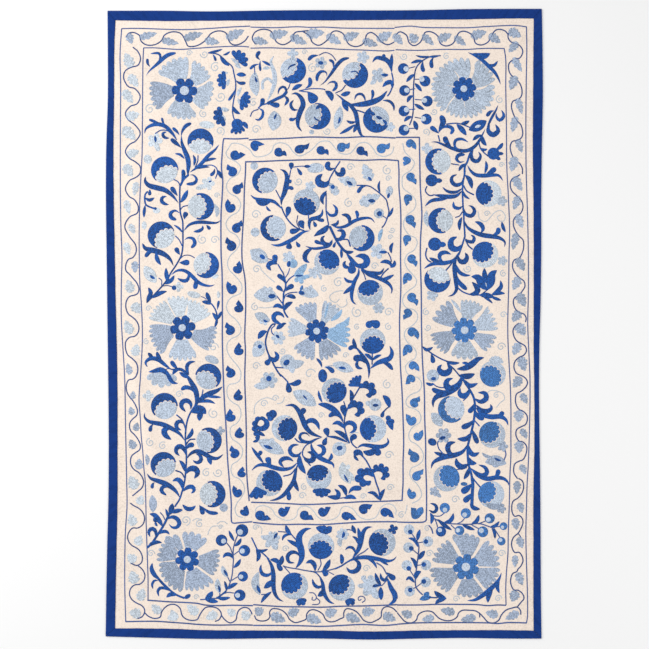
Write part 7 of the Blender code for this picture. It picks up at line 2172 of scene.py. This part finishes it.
# %% Bottom right
PALE_BERRIES = (
    # berry x, y, then its eye x, y, then where its stalk joins
    (27, -65.4, 27.4, -66.1, 29.1, -68.4),
    (33, -69.2, 32.4, -69.2, 30, -69.6),
    (26.8, -71.1, 27.7, -71.4, 30, -73.3),
    (32.4, -76.7, 31.7, -76.5, 29.6, -76.8),
    (26.3, -76.8, 26.9, -77.7, 29, -81),
    (32.3, -82.1, 31.7, -81.9, 29.2, -83.8),
    (27.2, -85, 27.4, -84.6, 29.2, -83.8),
)
sew(
    "bottom_right",
    pale=tuple(disc(row[0], row[1], 1.75) for row in PALE_BERRIES),
    mid=(
        disc(45.2, -77.3, 4.5, 7, 84), comma(2.0, 33, -87.2, 32.7, -86.2, 32.3, -85.3),
        leaf(1.9, 30.3, -87.7, 31.8, -87.2, 34.2, -86.8),
    ),
    dark=(
        *(disc(row[2], row[3], .85) for row in PALE_BERRIES),
        leaf(1.2, 33.6, -57, 35.4, -57.6, 35.8, -59, 34.9, -59.9, 33.2, -59.1),
        leaf(1.3, 33.7, -60, 34.4, -61.5, 34, -63.7), leaf(1.4, 36, -62, 38, -63.8, 40.7, -65.6),
        leaf(1.5, 37.9, -63.2, 40, -62.7, 40.9, -61.4, 41.1, -60.1),
        leaf(1.4, 46.9, -63.5, 48.5, -62.7, 49.3, -60.7), leaf(1.5, 46.4, -57, 47.6, -58.5, 49.7, -58.9),
        leaf(1.3, 43.9, -63.8, 46, -64.8, 48, -65.5), leaf(1.2, 52.6, -64.7, 54.6, -64.1, 55.8, -62.7),
        leaf(1.1, 53.3, -64.7, 54.2, -66.3, 54.4, -68.4), leaf(1.4, 30.5, -65.3, 30, -67, 29.6, -69),
        leaf(1.2, 26.7, -68.1, 28.4, -68.5, 29.3, -69.5, 29.8, -71),
        leaf(1.6, 32.1, -72.1, 31.2, -73.2, 30, -75), leaf(1.3, 27.4, -74.2, 28.8, -75.6, 29.3, -78),
        leaf(1.7, 29, -81.3, 29.5, -79.4, 30.9, -78.7), leaf(1.2, 26, -81.6, 27.1, -80.7, 28.8, -82.3),
        stem(.5, 33, -87, 35.9, -87.1), leaf(1.8, 35, -84.9, 36.6, -86.4, 39, -87.5),
        leaf(1.5, 35.3, -89.1, 36.4, -88.1, 38.8, -87.4),
        leaf(1.6, 45.4, -88, 47.9, -87.8, 50.2, -86.5, 52.4, -84.8, 54.3, -83, 55.6, -81.3, 56.5, -79),
        leaf(1.7, 52.1, -88.7, 52.3, -86.6, 53.6, -84.2), leaf(1.3, 55.8, -85.7, 55.1, -83.6, 55.8, -81.4),
    ),
    slate=(
        *(stem(.4, *row[2:]) for row in PALE_BERRIES),
        stem(.5, 29.5, -69, 30.1, -70.6, 30, -72.8, 29.7, -75.4, 29.3, -78.4, 29, -81.4, 29.2, -83.6, 30.2,
            -85.1, 31.3, -86.1),
        stem(.4, 34.3, -60.9, 36.8, -61.1, 38.3, -60.1),
        stem(.45, 34.4, -61.5, 36.4, -62.6, 39.2, -63.4, 42, -63.6, 46, -63.7, 49.4, -63.5, 52.7, -64.5),
        stem(.4, 42.2, -63.6, 43.8, -62.8, 44.6, -61.9), stem(.4, 40.4, -64, 41.8, -65.2),
        stem(.4, 46.6, -63.7, 49, -65), stem(.4, 49, -63.6, 51.3, -62.7), stem(.4, 54, -64.5, 56, -64.4),
        stem(.4, 53.9, -64.7, 55.9, -67.8), stem(.4, 35.1, -61.8, 35.7, -63.2, 36.1, -64.6),
        stem(.5, 33.3, -64.1, 34.1, -65, 34.6, -66.6),
    ),
    stone=(
        fan(45.2, -77.3, 86, 50, 3.8, 10.3, 11.4, 5, 3, .08),
        fan(45.2, -77.3, 147, 46, 3.8, 10.7, 11.4, 5, 0, .14),
        fan(45.2, -77.3, 208, 50, 3.8, 12.2, 10.4, 6, 0, .13),
        fan(45.2, -77.3, 277, 54, 3.8, 9.4, 10.4, 5, 0, .1),
        fan(45.2, -77.3, 335, 44, 3.8, 10, 11.2, 5, 0, .12),
        fan(45.2, -77.3, 27, 50, 3.8, 11, 11.2, 5, 0, .14), leaf(2.5, 51, -57.3, 54, -57.9, 57.5, -57.6),
        disc(56.4, -58.8, 1.6, 5),
    ),
    eye=(disc(45.1, -77.3, 1.5),),
    curl=(
        curl(32.8, -65, 1.1, 0), curl(33.5, -73, 1.2, 0), curl(56.5, -73, 1.2, 0), curl(42, -87.5, 1.1, 0),
        curl(55.4, -87.3, 1.2, 0),
    ),
)

# %% [markdown]
# ## Floor, light and camera
#
# The camera looks straight down on the middle of the blanket. Its distance follows from the blanket's
# size in the picture: with an 85 mm lens on a 36 mm sensor, a square view of 2.067 m stands 4.88 m
# away. A large soft light from the left and a weaker one from the right show the folds without hard
# shadows.

# %% Floor
FLOOR_COLOUR = from_display(247, 247, 247)
FLOOR_HALF = 6.0
FLOOR_LINES = 9
FLOOR_DROP = 0.0002
steps = np.linspace(-FLOOR_HALF, FLOOR_HALF, FLOOR_LINES)
floor_x, floor_y = np.meshgrid(steps, steps)
floor_points = np.stack((floor_x, floor_y, np.full_like(floor_x, -FLOOR_DROP)), axis=-1).reshape(-1, 3)
floor = add_mesh("floor", floor_points, grid_faces(FLOOR_LINES, FLOOR_LINES), floor_points)
floor_material, floor_tree, floor_shader = new_material("floor_paint")
floor_noise = add_node(floor_tree, "ShaderNodeTexNoise", Scale=3.0)
floor_tone = ramp(floor_tree, floor_noise.outputs["Fac"], (0.3, tinted(FLOOR_COLOUR, 0.995)),
                  (0.7, FLOOR_COLOUR))
floor_tree.links.new(floor_tone, floor_shader.inputs["Base Color"])
floor_shader.inputs["Roughness"].default_value = 0.9
floor.data.materials.append(floor_material)

# %% Light
def soft_light(name, size, energy, place):
    """A square area light turned towards the blanket's middle."""
    lamp = bpy.data.lights.new(name, "AREA")
    lamp.size = size
    lamp.energy = energy
    holder = bpy.data.objects.new(name, lamp)
    holder.location = place
    x, y, z = place
    holder.rotation_euler = (math.atan2(math.hypot(x, y), z), 0, math.atan2(y, x) + math.pi / 2)
    bpy.context.scene.collection.objects.link(holder)


soft_light("key_light", 2.5, 106, (-3.2, 1.2, 2.6))
soft_light("fill_light", 3.0, 48, (3.0, -1.0, 3.2))
world = bpy.data.worlds.new("studio")
world.use_nodes = True
world.node_tree.nodes["Background"].inputs["Color"].default_value = (1.0, 1.0, 1.0, 1.0)
world.node_tree.nodes["Background"].inputs["Strength"].default_value = 0.585
bpy.context.scene.world = world
bpy.context.scene.view_settings.view_transform = "Standard"

# %% Camera
VIEW_WIDTH = 2.0671
LENS = 85.0
SENSOR = 36.0
camera_data = bpy.data.cameras.new("camera")
camera_data.lens = LENS
camera_data.sensor_width = SENSOR
camera = bpy.data.objects.new("camera", camera_data)
camera.location = (0.0009, -0.0009, VIEW_WIDTH * LENS / SENSOR)
bpy.context.scene.collection.objects.link(camera)
bpy.context.scene.camera = camera
